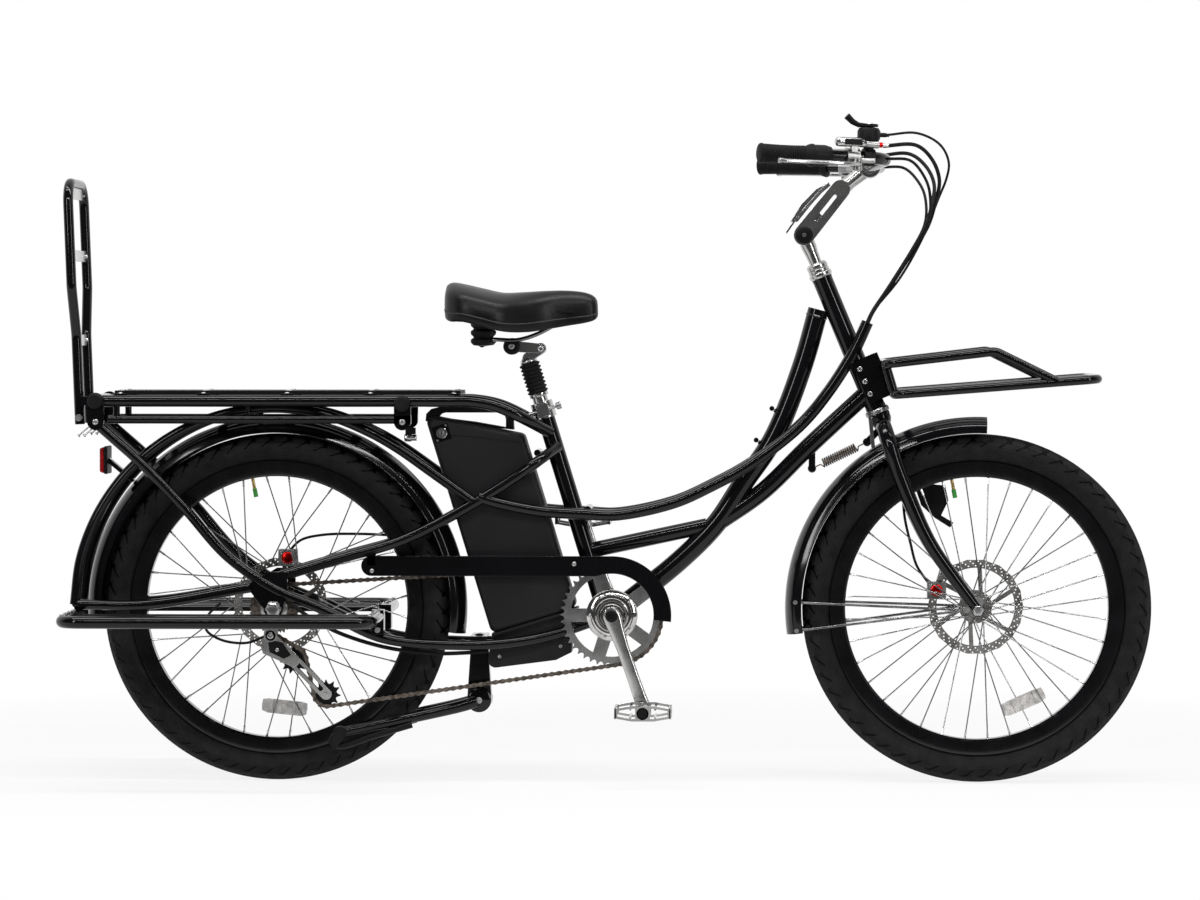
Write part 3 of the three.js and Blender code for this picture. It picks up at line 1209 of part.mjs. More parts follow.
const barBore = boreOf(bar.radius + clearance, bigTubeSides);
const gripProfile = (length) => [
  [0, -grip.cap], [grip.radius * 0.9, -grip.cap], [grip.radius, 0], [grip.radius * 0.93, length * 0.45],
  [grip.radius, length * 0.85], [grip.flange, length - grip.cap], [grip.flange, length],
  [barBore, length], [barBore, -clearance], [0, -clearance],
];
add("grip_right", onBar(turnedAlong(gripProfile(grip.length), bigTubeSides)), rubber);
add("grip_left", mirrored(onBar(turnedAlong(gripProfile(grip.leftLength), bigTubeSides))), rubber);
const throttleFrom = grip.length + clearance;
add("throttle", onBar(turnedAlong([
  [barBore, throttleFrom], [throttle.radius, throttleFrom],
  [throttle.radius, throttleFrom + throttle.length * 0.7], [throttle.radius * 0.85, throttleFrom + throttle.length],
  [barBore, throttleFrom + throttle.length], [barBore, throttleFrom],
], bigTubeSides)), blackPlastic);

const leverHalf = perch.gap - clearance;
const leverOutline = [
  [perch.at + perch.lug * 0.7, -perch.reach], [perch.at + perch.lug * 0.3, -perch.reach - perch.lug],
  [perch.at - brakeLever.length * 0.2, -brakeLever.offset - brakeLever.blade / 2],
  [perch.at - brakeLever.length, -brakeLever.offset - brakeLever.blade],
  [perch.at - brakeLever.length - brakeLever.blade / 2, -brakeLever.offset - brakeLever.blade / 3],
  [perch.at - brakeLever.length, -brakeLever.offset],
  [perch.at - brakeLever.length * 0.25, -brakeLever.offset + brakeLever.blade * 0.6],
  [perch.at - perch.lug * 0.6, -perch.reach + perch.lug * 0.3], [perch.at, -perch.reach + perch.lug * 0.7],
];
const leverBody = onBar(cut(
  slab(leverOutline, leverLevel - leverHalf, leverLevel + leverHalf),
  perchPin(perch.pin + clearance),
  turnedAlong(ring(0, boreOf(perch.radius + clearance, bigTubeSides), perch.at - perch.width, perch.at + perch.width), bigTubeSides),
));
add("brake_lever_right", leverBody, silver);
add("brake_lever_left", mirrored(leverBody), silver);

const shiftTop = shifter.rise + shifter.height + clearance;
add("shift_lever", onBar(join(
  slab(capsule([shifter.at, 0], [shifter.at - shifter.lever, shifter.leverWidth * 0.6], shifter.radius * 0.8, shifter.leverWidth / 2, 3),
    shiftTop, shiftTop + shifter.leverThickness),
  slab(capsule([shifter.at - shifter.lever * 0.8, shifter.leverWidth * 0.5], [shifter.at - shifter.lever, shifter.leverWidth * 0.6],
    shifter.leverWidth / 2, shifter.leverWidth / 2, 2), shiftTop, shiftTop + shifter.paddle),
)), blackPlastic);

// Wheels: the rim, hub, rotor and laced spokes of each as one wheel, in its axle's frame

const tyreWidest = THREE.MathUtils.lerp(rim.lip, tyre.radius, tyre.widestShare);
const tyreShoulder = THREE.MathUtils.lerp(rim.lip, tyre.radius, tyre.shoulderShare);
const tyreProfile = [
  [rim.well + clearance, -rim.floor + tyre.seat], [tyreWidest, -tyre.width / 2], [tyreShoulder, -tyre.shoulder],
  [tyre.radius, -tyre.tread], [tyre.radius, tyre.tread], [tyreShoulder, tyre.shoulder],
  [tyreWidest, tyre.width / 2], [rim.well + clearance, rim.floor - tyre.seat],
  [rim.well + clearance, -rim.floor + tyre.seat],
];
const rimProfile = [
  [rim.inner, -rim.width / 3], [rim.inner, rim.width / 3], [rim.lip, rim.width / 2],
  [rim.well, rim.floor - rim.lipWall], [rim.well, -rim.floor + rim.lipWall], [rim.lip, -rim.width / 2],
  [rim.inner, -rim.width / 3],
];

function brakeRotor(y) {
  const windows = Array.from({ length: rotor.arms }, (_, i) => {
    const step = 360 / rotor.arms;
    const [inner, outer] = [rotor.carrier, rotor.outer - rotor.track];
    const trim = (radius) => THREE.MathUtils.radToDeg(rotor.arm / 2 / radius);
    return [
      ...arc([0, 0], outer, i * step + trim(outer) + rotor.sweep, (i + 1) * step - trim(outer) + rotor.sweep, 3),
      ...arc([0, 0], inner, (i + 1) * step - trim(inner), i * step + trim(inner), 1),
    ];
  });
  return plate(arc([0, 0], rotor.outer, 0, 360, 24).slice(1), y - rotor.thickness / 2, y + rotor.thickness / 2, windows);
}

function lacedSpokes(flangeRadius, right, left) {
  return Array.from({ length: spokes.count }, (_, i) => {
    const lean = Math.floor(i / 2) % 2 ? 1 : -1;
    const side = (i % 2 ? left : -right) + lean * spokes.apart;
    const lead = lean * spokes.crossing;
    const rimAngle = ((i + 0.5) * 2 * Math.PI) / spokes.count;
    const hubAngle = rimAngle + lead * (1 - spokes.spread * (flangeRadius / rim.inner));
    const at = (angle, radius, y) => vector(radius * Math.cos(angle), y, radius * Math.sin(angle));
    return rod(at(hubAngle, flangeRadius, side), at(rimAngle, rim.inner + spokes.sink, side * spokes.drift), spokes.radius, 3);
  });
}

const frontWheel = new THREE.Group();
frontWheel.position.set(frontAxleAt[0], 0, frontAxleAt[1]);
const rearWheel = new THREE.Group();
rearWheel.position.set(rearAxleAt[0], 0, rearAxleAt[1]);
bicycle.add(frontWheel, rearWheel);

const hubEnd = fork.gauge - fork.endRadius - frontHub.play;
const frontHubProfile = [
  [frontHub.bore, -hubEnd], [frontHub.radius * 0.65, -hubEnd], [frontHub.radius * 0.65, -frontHub.right - frontHub.flangeWidth],
  [frontHub.flange, -frontHub.right], [frontHub.flange, -frontHub.right + frontHub.flangeWidth],
  [frontHub.radius, -frontHub.right + frontHub.flangeWidth * 2], [frontHub.radius, frontHub.left - frontHub.flangeWidth * 2],
  [frontHub.flange, frontHub.left - frontHub.flangeWidth], [frontHub.flange, frontHub.left],
  [frontHub.radius * 1.2, frontHub.left + frontHub.flangeWidth], [frontHub.radius * 1.2, rotor.at.front],
  [frontHub.bore, hubEnd], [frontHub.bore, -hubEnd],
];
const valveStem = rod(
  vector(rim.inner * Math.cos(degrees(valve.angle)), 0, rim.inner * Math.sin(degrees(valve.angle))),
  vector((rim.inner - valve.length) * Math.cos(degrees(valve.angle)), 0, (rim.inner - valve.length) * Math.sin(degrees(valve.angle))),
  valve.radius, 6);
add(
  "front_wheel",
  cut(
    join(
      turned(rimProfile, wheelSides), turned(frontHubProfile, bigTubeSides), brakeRotor(rotor.at.front), valveStem,
      lacedSpokes(frontHub.flange * 0.9, frontHub.right - frontHub.flangeWidth / 2, frontHub.left - frontHub.flangeWidth / 2),
    ),
    crossRod([0, 0], -hubEnd - overrun, hubEnd + overrun, frontHub.bore, tubeSides),
  ),
  silver, frontWheel,
);
add("front_tyre", turned(tyreProfile, wheelSides), rubber, frontWheel);

const freewheelSeat = freewheel.bore * Math.cos(Math.PI / turnedSides) - clearance;
const rearHubProfile = [
  [rearHub.bore, -rearHub.boss], [freewheelSeat, -rearHub.boss],
  [freewheelSeat, -rearHub.right - rearHub.cover], [rearHub.radius * 0.85, -rearHub.right - rearHub.cover],
  [rearHub.flange, -rearHub.right], [rearHub.flange, -rearHub.right + rearHub.flangeWidth],
  [rearHub.radius, -rearHub.right + rearHub.flangeWidth], [rearHub.radius, rearHub.left - rearHub.flangeWidth],
  [rearHub.flange, rearHub.left - rearHub.flangeWidth], [rearHub.flange, rearHub.left],
  [rearHub.radius * 0.85, rearHub.left + rearHub.cover], [rearHub.radius * 0.3, rearHub.left + rearHub.cover],
  [rearHub.radius * 0.3, rotor.at.rear], [rearHub.bore, rotor.at.rear], [rearHub.bore, -rearHub.boss],
];
add(
  "rear_wheel",
  cut(
    join(
      turned(rimProfile, wheelSides), turned(rearHubProfile, turnedSides), brakeRotor(rotor.at.rear), valveStem,
      lacedSpokes(rearHub.flange * 0.97, rearHub.right - rearHub.flangeWidth / 2, rearHub.left - rearHub.flangeWidth / 2),
    ),
    crossRod([0, 0], -rearHub.boss - overrun, rearHub.boss + overrun, rearHub.bore, bigTubeSides),
  ),
  silver, rearWheel,
);
add("rear_tyre", turned(tyreProfile, wheelSides), rubber, rearWheel);

// The chain's run: straight between sprockets, and one tooth to a link round each

const pitchRadius = (teeth) => chain.pitch / (2 * Math.sin(Math.PI / teeth));
const upperJockeyAt = [rearAxleAt[0] + jockey.upperAhead, rearAxleAt[1] - jockey.upperBelow];

function chainRun(cageAngle) {
  const lean = degrees(cageAngle);
  const lowerJockeyAt = [
    upperJockeyAt[0] + cage.length * Math.cos(lean), upperJockeyAt[1] + cage.length * Math.sin(lean),
  ];
  const wheels = [
    { at: bracketAt, teeth: chainring.teeth, turn: 1 }, { at: lowerJockeyAt, teeth: jockey.teeth, turn: 1 },
    { at: upperJockeyAt, teeth: jockey.teeth, turn: -1 }, { at: rearAxleAt, teeth: cog.teeth, turn: 1 },
  ].map((wheel) => ({ ...wheel, radius: pitchRadius(wheel.teeth) }));
  const lines = wheels.map((a, i) => {
    const b = wheels[(i + 1) % wheels.length];
    const [dx, dz] = [b.at[0] - a.at[0], b.at[1] - a.at[1]];
    const apart = Math.hypot(dx, dz);
    const slope = Math.atan2(dz, dx) + Math.asin((b.turn * b.radius - a.turn * a.radius) / apart);
    const leaves = (wheel) => [
      wheel.at[0] - wheel.turn * wheel.radius * Math.sin(slope),
      wheel.at[1] + wheel.turn * wheel.radius * Math.cos(slope),
    ];
    return { from: leaves(a), to: leaves(b), slope };
  });
  const stretches = [];
  wheels.forEach((wheel, i) => {
    const before = lines[(i + wheels.length - 1) % wheels.length];
    const start = Math.atan2(before.to[1] - wheel.at[1], before.to[0] - wheel.at[0]);
    const end = Math.atan2(lines[i].from[1] - wheel.at[1], lines[i].from[0] - wheel.at[0]);
    const sweep = THREE.MathUtils.euclideanModulo((start - end) * wheel.turn, 2 * Math.PI);
    stretches.push({ wheel, start, links: (sweep * wheel.teeth) / (2 * Math.PI) });
    const length = Math.hypot(lines[i].to[0] - lines[i].from[0], lines[i].to[1] - lines[i].from[1]);
    stretches.push({ line: lines[i], links: length / chain.pitch });
  });
  return { stretches, wheels, lowerJockeyAt, links: stretches.reduce((sum, { links }) => sum + links, 0) };
}

// The cage swings until the loop is a whole, even number of links.
function settledRun() {
  const wanted = 2 * Math.round(chainRun(cage.angle).links / 2);
  let [low, high] = [cage.angle - cage.settle, cage.angle + cage.settle];
  const rises = chainRun(high).links > chainRun(low).links;
  for (let i = 0; i < 40; i += 1) {
    const middle = (low + high) / 2;
    if (chainRun(middle).links < wanted === rises) low = middle;
    else high = middle;
  }
  return { ...chainRun((low + high) / 2), links: wanted, angle: (low + high) / 2 };
}
const run = settledRun();

// A place on the run, in links from its start, with the way across the chain there.
function runPlace(links) {
  let left = THREE.MathUtils.euclideanModulo(links, run.links);
  let stretch = run.stretches[0];
  for (const next of run.stretches) {
    stretch = next;
    if (left <= next.links) break;
    left -= next.links;
  }
  if (stretch.line) {
    const share = left / stretch.links;
    const { from, to, slope } = stretch.line;
    return {
      at: [from[0] + (to[0] - from[0]) * share, from[1] + (to[1] - from[1]) * share],
      across: [-Math.sin(slope), Math.cos(slope)],
    };
  }
  const { wheel, start } = stretch;
  const angle = start - (wheel.turn * left * 2 * Math.PI) / wheel.teeth;
  return {
    at: [wheel.at[0] + wheel.radius * Math.cos(angle), wheel.at[1] + wheel.radius * Math.sin(angle)],
    across: [wheel.turn * Math.cos(angle), wheel.turn * Math.sin(angle)],
  };
}
// The angle of a roller in each sprocket, which sets where its teeth stand.
const rollerAngle = new Map();
let linksSoFar = 0;
for (const stretch of run.stretches) {
  if (stretch.wheel) {
    const skip = Math.ceil(linksSoFar) - linksSoFar;
    rollerAngle.set(stretch.wheel, stretch.start - (stretch.wheel.turn * skip * 2 * Math.PI) / stretch.wheel.teeth);
  }
  linksSoFar += stretch.links;
}
const sprocketPhase = (index) => THREE.MathUtils.radToDeg([...rollerAngle.values()][index]);

const rollers = Array.from({ length: run.links }, (_, i) => runPlace(i));

// One side's plates as a band that closes on itself, with a row at each pin where it bends.
function chainBand(y0) {
  const straight = (i) => {
    const [before, here, after] = [i - 1, i, i + 1].map((k) => runPlace(k));
    return Math.max(
      Math.abs(before.across[0] - here.across[0]), Math.abs(here.across[0] - after.across[0]),
      Math.abs(before.across[1] - here.across[1]), Math.abs(here.across[1] - after.across[1]),
    ) < chain.flat;
  };
  const half = chain.height / 2;
  const corners = [[half, y0], [half, y0 + chain.plate], [-half, y0 + chain.plate], [-half, y0]];
  const rows = Array.from({ length: run.links }, (_, i) => i).filter((i) => !straight(i)).map((i) => {
    const { at, across } = runPlace(i);
    return corners.map(([side, y]) => vector(at[0] + across[0] * side, y, at[1] + across[1] * side));
  });
  return loft(rows, true);
}
const chainRollers = rollers.map(({ at }) => crossRod(
  at, chain.plane - chain.plateGap - chain.sink, chain.plane + chain.plateGap + chain.sink, chain.roller, 3));
add(
  "chain",
  join(chainBand(chain.plane - chain.plateGap - chain.plate), chainBand(chain.plane + chain.plateGap), chainRollers),
  steel,
);

// A sprocket's outline: a seat for each roller and a tooth between

function toothed(teeth, phase) {
  const radius = pitchRadius(teeth);
  const step = 360 / teeth;
  const floor = radius - chain.roller - toothForm.root;
  return Array.from({ length: teeth }, (_, i) => {
    const at = phase + i * step;
    return [
      [at - step * toothForm.seat, floor], [at + step * toothForm.seat, floor], [at + step / 2, radius + toothForm.tip],
    ].map(([angle, r]) => [r * Math.cos(degrees(angle)), r * Math.sin(degrees(angle))]);
  }).flat();
}

// Cranks, chainring and the axle through the bracket

const cranks = new THREE.Group();
cranks.position.set(bracketAt[0], 0, bracketAt[1]);
bicycle.add(cranks);
const ringWindows = Array.from({ length: chainring.arms }, (_, i) => {
  const step = 360 / chainring.arms;
  const trim = (radius) => THREE.MathUtils.radToDeg(chainring.arm / 2 / radius);
  const from = 180 + i * step;
  return [
    ...arc([0, 0], chainring.window, from + trim(chainring.window), from + step - trim(chainring.window), 3),
    ...arc([0, 0], chainring.outer, from + step - trim(chainring.outer), from + trim(chainring.outer), 1),
  ];
});
const crankAngle = -90 + crank.angle;
const pedalAt = (turn) => arc([0, 0], crank.length, crankAngle + turn, crankAngle + turn, 1)[0];
const crankArm = (turn, y0, y1) => plate(capsule([0, 0], pedalAt(turn), crank.hub, crank.end, 4), y0, y1);
const ringHalf = chainring.thickness / 2;
const pedalBore = boreOf(pedal.axle + clearance, tubeSides);
add(
  "crankset",
  cut(
    join(
      plate(toothed(chainring.teeth, sprocketPhase(0)), chain.plane - ringHalf, chain.plane + ringHalf, ringWindows),
      crossRod([0, 0], -crank.inner, chain.plane - ringHalf, chainring.hole, turnedSides),
      crossRod([0, 0], chain.plane - ringHalf - chainring.lip, chain.plane - ringHalf, chainring.outer, turnedSides),
      crossRod([0, 0], -crank.outer, crank.outer, crank.axle, bigTubeSides),
      crankArm(0, -crank.outer, -crank.inner),
      crankArm(180, crank.inner, crank.outer),
    ),
    crossRod(pedalAt(0), -crank.outer - overrun, -crank.inner + overrun, pedalBore, tubeSides),
    crossRod(pedalAt(180), crank.inner - overrun, crank.outer + overrun, pedalBore, tubeSides),
  ),
  silver, cranks,
);

// Pedals: a barrel between two end plates, with a cage round them

function pedalBody(side) {
  const across = (from, to) => [side * from, side * to].sort((a, b) => a - b);
  const [near, far] = across(pedal.inner, pedal.inner + pedal.width);
  const halfLength = pedal.length / 2;
  const cageLoop = (y0, y1) => plate([
    [-halfLength, -pedal.height * 0.3], [-halfLength * 0.4, -pedal.height / 2], [halfLength * 0.4, -pedal.height / 2],
    [halfLength, -pedal.height * 0.3], [halfLength, pedal.height * 0.3], [halfLength * 0.4, pedal.height / 2],
    [-halfLength * 0.4, pedal.height / 2], [-halfLength, pedal.height * 0.3],
  ], y0, y1, []);
  return join(
    crossRod([0, 0], near, far, pedal.barrel, tubeSides),
    cageLoop(near, near + pedal.bar), cageLoop(far - pedal.bar, far),
    block(-halfLength, -halfLength + pedal.bar, near, far, -pedal.height * 0.3, pedal.height * 0.3),
    block(halfLength - pedal.bar, halfLength, near, far, -pedal.height * 0.3, pedal.height * 0.3),
    crossRod([0, 0], ...across(crank.inner, pedal.inner + pedal.bar), pedal.axle, tubeSides),
  );
}
for (const [name, side, turn] of [["pedal_right", -1, 0], ["pedal_left", 1, 180]]) {
  const group = new THREE.Group();
  group.position.set(pedalAt(turn)[0], 0, pedalAt(turn)[1]);
  cranks.add(group);
  add(name, pedalBody(side), silver, group);
}

// Freewheel: the cog that the chain is on, its neighbours and their core

const cogDisc = ([y, radius]) => crossRod([0, 0], y - freewheel.cogWidth / 2, y + freewheel.cogWidth / 2, radius, turnedSides);
add(
  "cassette",
  cut(
    join(
      crossRod([0, 0], freewheel.from, freewheel.to, freewheel.core, turnedSides),
      plate(toothed(cog.teeth, sprocketPhase(3)), chain.plane - cog.thickness / 2, chain.plane + cog.thickness / 2),
      freewheel.discs.map(cogDisc),
    ),
    crossRod([0, 0], freewheel.from - overrun, freewheel.to + overrun, freewheel.bore, turnedSides),
  ),
  silver, rearWheel,
);

// Jockey wheels, their cage and the changer that carries it

const jockeyBore = (jockey.pin + clearance) / Math.cos(Math.PI / tubeSides);
const jockeyPlate = (index) => join(
  cut(
    join(
      plate(toothed(jockey.teeth, sprocketPhase(index)), chain.plane - jockey.thickness / 2, chain.plane + jockey.thickness / 2),
      crossRod([0, 0], chain.plane - jockey.hubWidth / 2, chain.plane + jockey.hubWidth / 2, jockey.hub, tubeSides),
    ),
    crossRod([0, 0], chain.plane - jockey.hubWidth, chain.plane + jockey.hubWidth, jockeyBore, tubeSides),
  ),
);
const jockeyPlacesAt = { lower_jockey: [run.lowerJockeyAt, 1], upper_jockey: [upperJockeyAt, 2] };
for (const [name, [at, index]] of Object.entries(jockeyPlacesAt)) {
  const group = new THREE.Group();
  group.position.set(at[0], 0, at[1]);
  bicycle.add(group);
  add(name, jockeyPlate(index), blackPlastic, group);
}
const cageOutline = capsule(upperJockeyAt, run.lowerJockeyAt, cage.width / 2, cage.width / 2, 3);
const cagePlate = (y0) => plate(cageOutline, y0, y0 + cage.plate);
add(
  "derailleur_cage",
  join(
    cagePlate(chain.plane - cage.gap - cage.plate), cagePlate(chain.plane + cage.gap),
    [upperJockeyAt, run.lowerJockeyAt].map((at) => crossRod(
      at, chain.plane - cage.gap - cage.plate, chain.plane + cage.gap + cage.plate, jockey.pin, tubeSides)),
  ),
  silver,
);
const hangerAt = [rearAxleAt[0] + changer.hangerAhead, rearAxleAt[1] - changer.hangerBelow];
const changerFace = chain.plane - cage.gap - cage.plate - clearance;
const shiftHousing = hose(shiftHousingPlaces, cable.thin);
add(
  "derailleur",
  cut(
    join(
      plate([
        ...arc(upperJockeyAt, changer.knuckle, -90, 60, 3), [hangerAt[0] + changer.knuckle, hangerAt[1]],
        [hangerAt[0] - changer.knuckle, hangerAt[1]],
        [upperJockeyAt[0] - changer.reach, upperJockeyAt[1] + changer.knuckle],
      ], changerFace - changer.thickness, changerFace),
      plate(capsule(rearAxleAt, hangerAt, changer.knuckle, changer.knuckle, 3),
        -dropout.halfGap, -rearHub.boss - clearance),
      crossRod(hangerAt, -dropout.halfGap, changerFace, changer.knuckle),
      shiftHousing,
    ),
    dropoutSlab(clearance),
    crossRod(rearAxleAt, -dropoutFace, 0, rearAxle.nut + clearance),
    tailTool(clearance),
  ),
  silver,
);

// Saddle on its frame, with the clamp, the rubber springs and the flip-forward link

function saddleRing([along, half, low, high]) {
  const x = saddle.rear + (saddle.nose - saddle.rear) * along;
  const [bottom, top] = [saddle.height - saddle.depth * low, saddle.height - saddle.depth * high];
  const middle = (bottom + top) / 2;
  return saddleSectionShares.map(([y, z]) =>
    vector(x, saddle.halfWidth * half * y, middle + ((top - bottom) / 2) * z));
}
const saddleBody = loft(saddleShares.map(saddleRing));
add("saddle", saddleBody, vinyl);

const { clampAt: saddleClampAt, clampRadius: saddleClampRadius } = seatFrame;
const flipAt = onSeat(seatPivot.forward, seatPivot.height);
const bellowsProfile = Array.from({ length: seatFrame.ribs * 2 + 1 }, (_, i) => [
  seatFrame.spring * (i % 2 ? 1 : 0.82), (seatFrame.springHeight * i) / (seatFrame.ribs * 2)]);
const bellows = moved(
  turnedUp([[0, 0], ...bellowsProfile, [0, seatFrame.springHeight]], tubeSides),
  shifted(seatFrame.springAt, -seatFrame.springGauge, saddleClampAt[1]));
const railHeight = saddleClampAt[1] + saddleClampRadius * 0.8;
const saddleRail = bentTube([
  vector(seatFrame.springAt, -seatFrame.springGauge, railHeight),
  vector(saddleClampAt[0] - saddleClampRadius, -seatFrame.gauge, railHeight),
  vector(saddleClampAt[0] + saddleClampRadius, -seatFrame.gauge, railHeight),
  vector(seatFrame.nose, -seatFrame.noseGauge, seatFrame.noseHeight),
], seatFrame.rail, seatFrame.bend, 6);
const seatEar = plate(
  capsule(saddleClampAt, flipAt, seatPivot.ear, seatPivot.ear, 3),
  -seatPivot.halfWidth - clearance - seatPivot.plate, -seatPivot.halfWidth - clearance);
const inSeatFrame = (body) => moved(body, seating.matrixWorld.clone().invert());
const clampRod = (extra) => crossRod(
  saddleClampAt, -seatFrame.clampHalf - extra, seatFrame.clampHalf + extra, saddleClampRadius + extra, bigTubeSides);
add(
  "saddle_frame",
  cut(
    join(
      clampRod(0),
      bothSides(join(
        saddleRail, bellows, seatEar,
        rod(vector(seatFrame.springAt, -seatFrame.springGauge, saddleClampAt[1] + seatFrame.rail),
          vector(seatFrame.springAt, 0, saddleClampAt[1] + seatFrame.rail), seatFrame.rail * 1.5, 6),
      )),
      crossRod(flipAt, -seatPivot.halfWidth - seatPivot.plate, seatPivot.halfWidth + seatPivot.plate, seatPivot.radius, tubeSides),
    ),
    moved(saddleBody, shifted(0, 0, -clearance)),
    moved(saddleBody, shifted(0, 0, clearance)),
  ),
  blackPaint,
);

// Seat post, its sprung plunger, the boot round it, and the collar that holds it

add("seatpost", turnedUp([
  [0, seatPost.bottom], [seatPost.radius, seatPost.bottom], [seatPost.radius, boot.bottom - seatPost.collarHeight - clearance],
  [seatPost.collar, boot.bottom - seatPost.collarHeight - clearance], [seatPost.collar, boot.bottom - clearance],
  [seatPost.radius, boot.bottom - clearance], [seatPost.radius, seatPost.top], [plunger.radius + clearance, seatPost.top],
  [plunger.radius + clearance, seatPost.top - plunger.depth], [0, seatPost.top - plunger.depth],
]), silver, seating);

const flipHole = crossRod([seatPivot.forward, seatPivot.height], -seatPivot.halfWidth - overrun, seatPivot.halfWidth + overrun,
  boreOf(seatPivot.radius + clearance, turnedSides), turnedSides);
add("seat_link", cut(
  join(
    turnedUp([[0, plunger.bottom], [plunger.radius, plunger.bottom], [plunger.radius, boot.top + clearance],
      [boot.valley, boot.top + clearance], [plunger.radius, boot.top + plunger.head], [0, boot.top + plunger.head]]),
    plate(capsule([0, boot.top + plunger.link + clearance], [seatPivot.forward, seatPivot.height],
      plunger.link, seatPivot.ear, 3),
      -seatPivot.halfWidth, seatPivot.halfWidth),
  ),
  flipHole,
  inSeatFrame(clampRod(clearance)),
), silver, seating);

const bootBore = boreOf(seatPost.radius + clearance, turnedSides);
const bootRibs = Array.from({ length: boot.ribs * 2 + 1 }, (_, i) => [
  i % 2 ? boot.radius : boot.valley, boot.bottom + ((boot.top - boot.bottom) * i) / (boot.ribs * 2)]);
add("seatpost_boot", turnedUp([...bootRibs, [bootBore, boot.top], [bootBore, boot.bottom], bootRibs[0]]), rubber, seating);

const clampLow = seatTube.length - seatClamp.below;
const clampHigh = seatTube.length + seatClamp.above;
const lugAt = seatTube.radius + seatClamp.lug;
const camAt = [-seatClamp.cam, -lugAt];
const skewer = (radius) => rod(
  vector(...camAt, seatTube.length), vector(seatClamp.nut, -lugAt, seatTube.length), radius, tubeSides);
add("seat_clamp", join(
  turnedUp([
    [seatTube.radius + clearance, clampLow], [seatClamp.radius, clampLow], [seatClamp.radius, clampHigh],
    [seatTube.bore, clampHigh], [seatTube.bore, seatTube.length + clearance],
    [seatTube.radius + clearance, seatTube.length + clearance], [seatTube.radius + clearance, clampLow],
  ]),
  block(-seatClamp.lugWidth / 2, seatClamp.lugWidth / 2, -lugAt - seatClamp.screw, -seatTube.radius - seatClamp.screw,
    clampLow + seatClamp.screw, clampHigh - seatClamp.screw),
  skewer(seatClamp.screw),
  rod(vector(seatClamp.nut - seatClamp.screw * 3, -lugAt, seatTube.length),
    vector(seatClamp.nut, -lugAt, seatTube.length), seatClamp.screw * 2, tubeSides),
), silver, seating);
const clampTip = [camAt[0] - seatClamp.leverWidth / 2, camAt[1] + seatClamp.lever];
const slotHalf = seatClamp.screw + clearance;
const slotReach = seatClamp.leverWidth + overrun;
add("clamp_lever", cut(
  slab(
    capsule(camAt, clampTip, seatClamp.leverWidth, seatClamp.leverWidth / 2, 3),
    seatTube.length - seatClamp.leverWidth, seatTube.length + seatClamp.leverWidth),
  block(camAt[0] - slotHalf, camAt[0] + slotReach, camAt[1] - slotReach, camAt[1] + slotHalf,
    seatTube.length - slotHalf, seatTube.length + slotHalf),
), blackPlastic, seating);

// Calipers, each open where its rotor turns, with the hose that reaches it

function caliperBody([x, z], axleAt, rotorY, mountTo) {
  const half = caliper.width / 2;
  const armY = rotorY + caliper.outboard - caliper.arm;
  return cut(
    join(
      block(x - half, x + half, rotorY - caliper.inboard, rotorY + caliper.outboard,
        z - caliper.height / 2, z + caliper.height / 2),
      crossRod([x, z], rotorY - caliper.inboard - caliper.knobHeight, rotorY, caliper.knob, tubeSides),
      rod(vector(x, armY, z), onPlane(mountTo, armY), caliper.arm, tubeSides),
    ),
    crossRod(axleAt, rotorY - caliper.gap / 2, rotorY + caliper.gap / 2, rotor.outer + caliper.overhang, wheelSides),
  );
}

const frontCaliperAt = [frontAxleAt[0] - caliper.front.behind, frontAxleAt[1] + caliper.front.above];
const rearCaliperAt = [rearAxleAt[0] + caliper.rear.ahead, rearAxleAt[1] + caliper.rear.above];
add(
  "front_caliper",
  cut(
    inSteeringFrame(join(
      caliperBody(frontCaliperAt, frontAxleAt, rotor.at.front, frontCaliperMount), hose(frontHosePlaces, cable.thin),
    )),
    forkBody,
    moved(forkBody, shifted(clearance, 0, 0)),
    moved(forkBody, shifted(-clearance, -clearance, 0)),
  ),
  silver, steering,
);
add(
  "rear_caliper",
  cut(
    join(caliperBody(rearCaliperAt, rearAxleAt, rotor.at.rear, rearCaliperMount), hose(rearHosePlaces, cable.thin)),
    mirrored(stayTool(clearance)), mirrored(dropoutSlab(clearance)), mirrored(chainstayTool(clearance)),
  ),
  silver,
);

// Tail lamp on its bracket, which stands on the mudguard

const lampDirection = [lamp.at[0] - rearAxleAt[0], lamp.at[1] - rearAxleAt[1]];
const lampReach = Math.hypot(...lampDirection);
const lampFoot = [0, 1].map((k) => rearAxleAt[k] + (lampDirection[k] * (fenderTop + clearance + lamp.bracket / 2)) / lampReach);
add(
  "tail_light",
  join(
    plate(capsule(lampFoot, lamp.at, lamp.bracket / 2, lamp.bracket / 2, 2), -lamp.footHalf, lamp.footHalf),
    plate([
      [lamp.at[0] - lamp.depth, lamp.at[1] - lamp.height * 0.42], [lamp.at[0], lamp.at[1] - lamp.height / 2],
      [lamp.at[0], lamp.at[1] + lamp.height / 2], [lamp.at[0] - lamp.depth, lamp.at[1] + lamp.height * 0.42],
    ], -lamp.width / 2, lamp.width / 2),
  ),
  redPlastic,
);

// Cables: from the levers round into the mouths of the side tubes, and from the motor forward

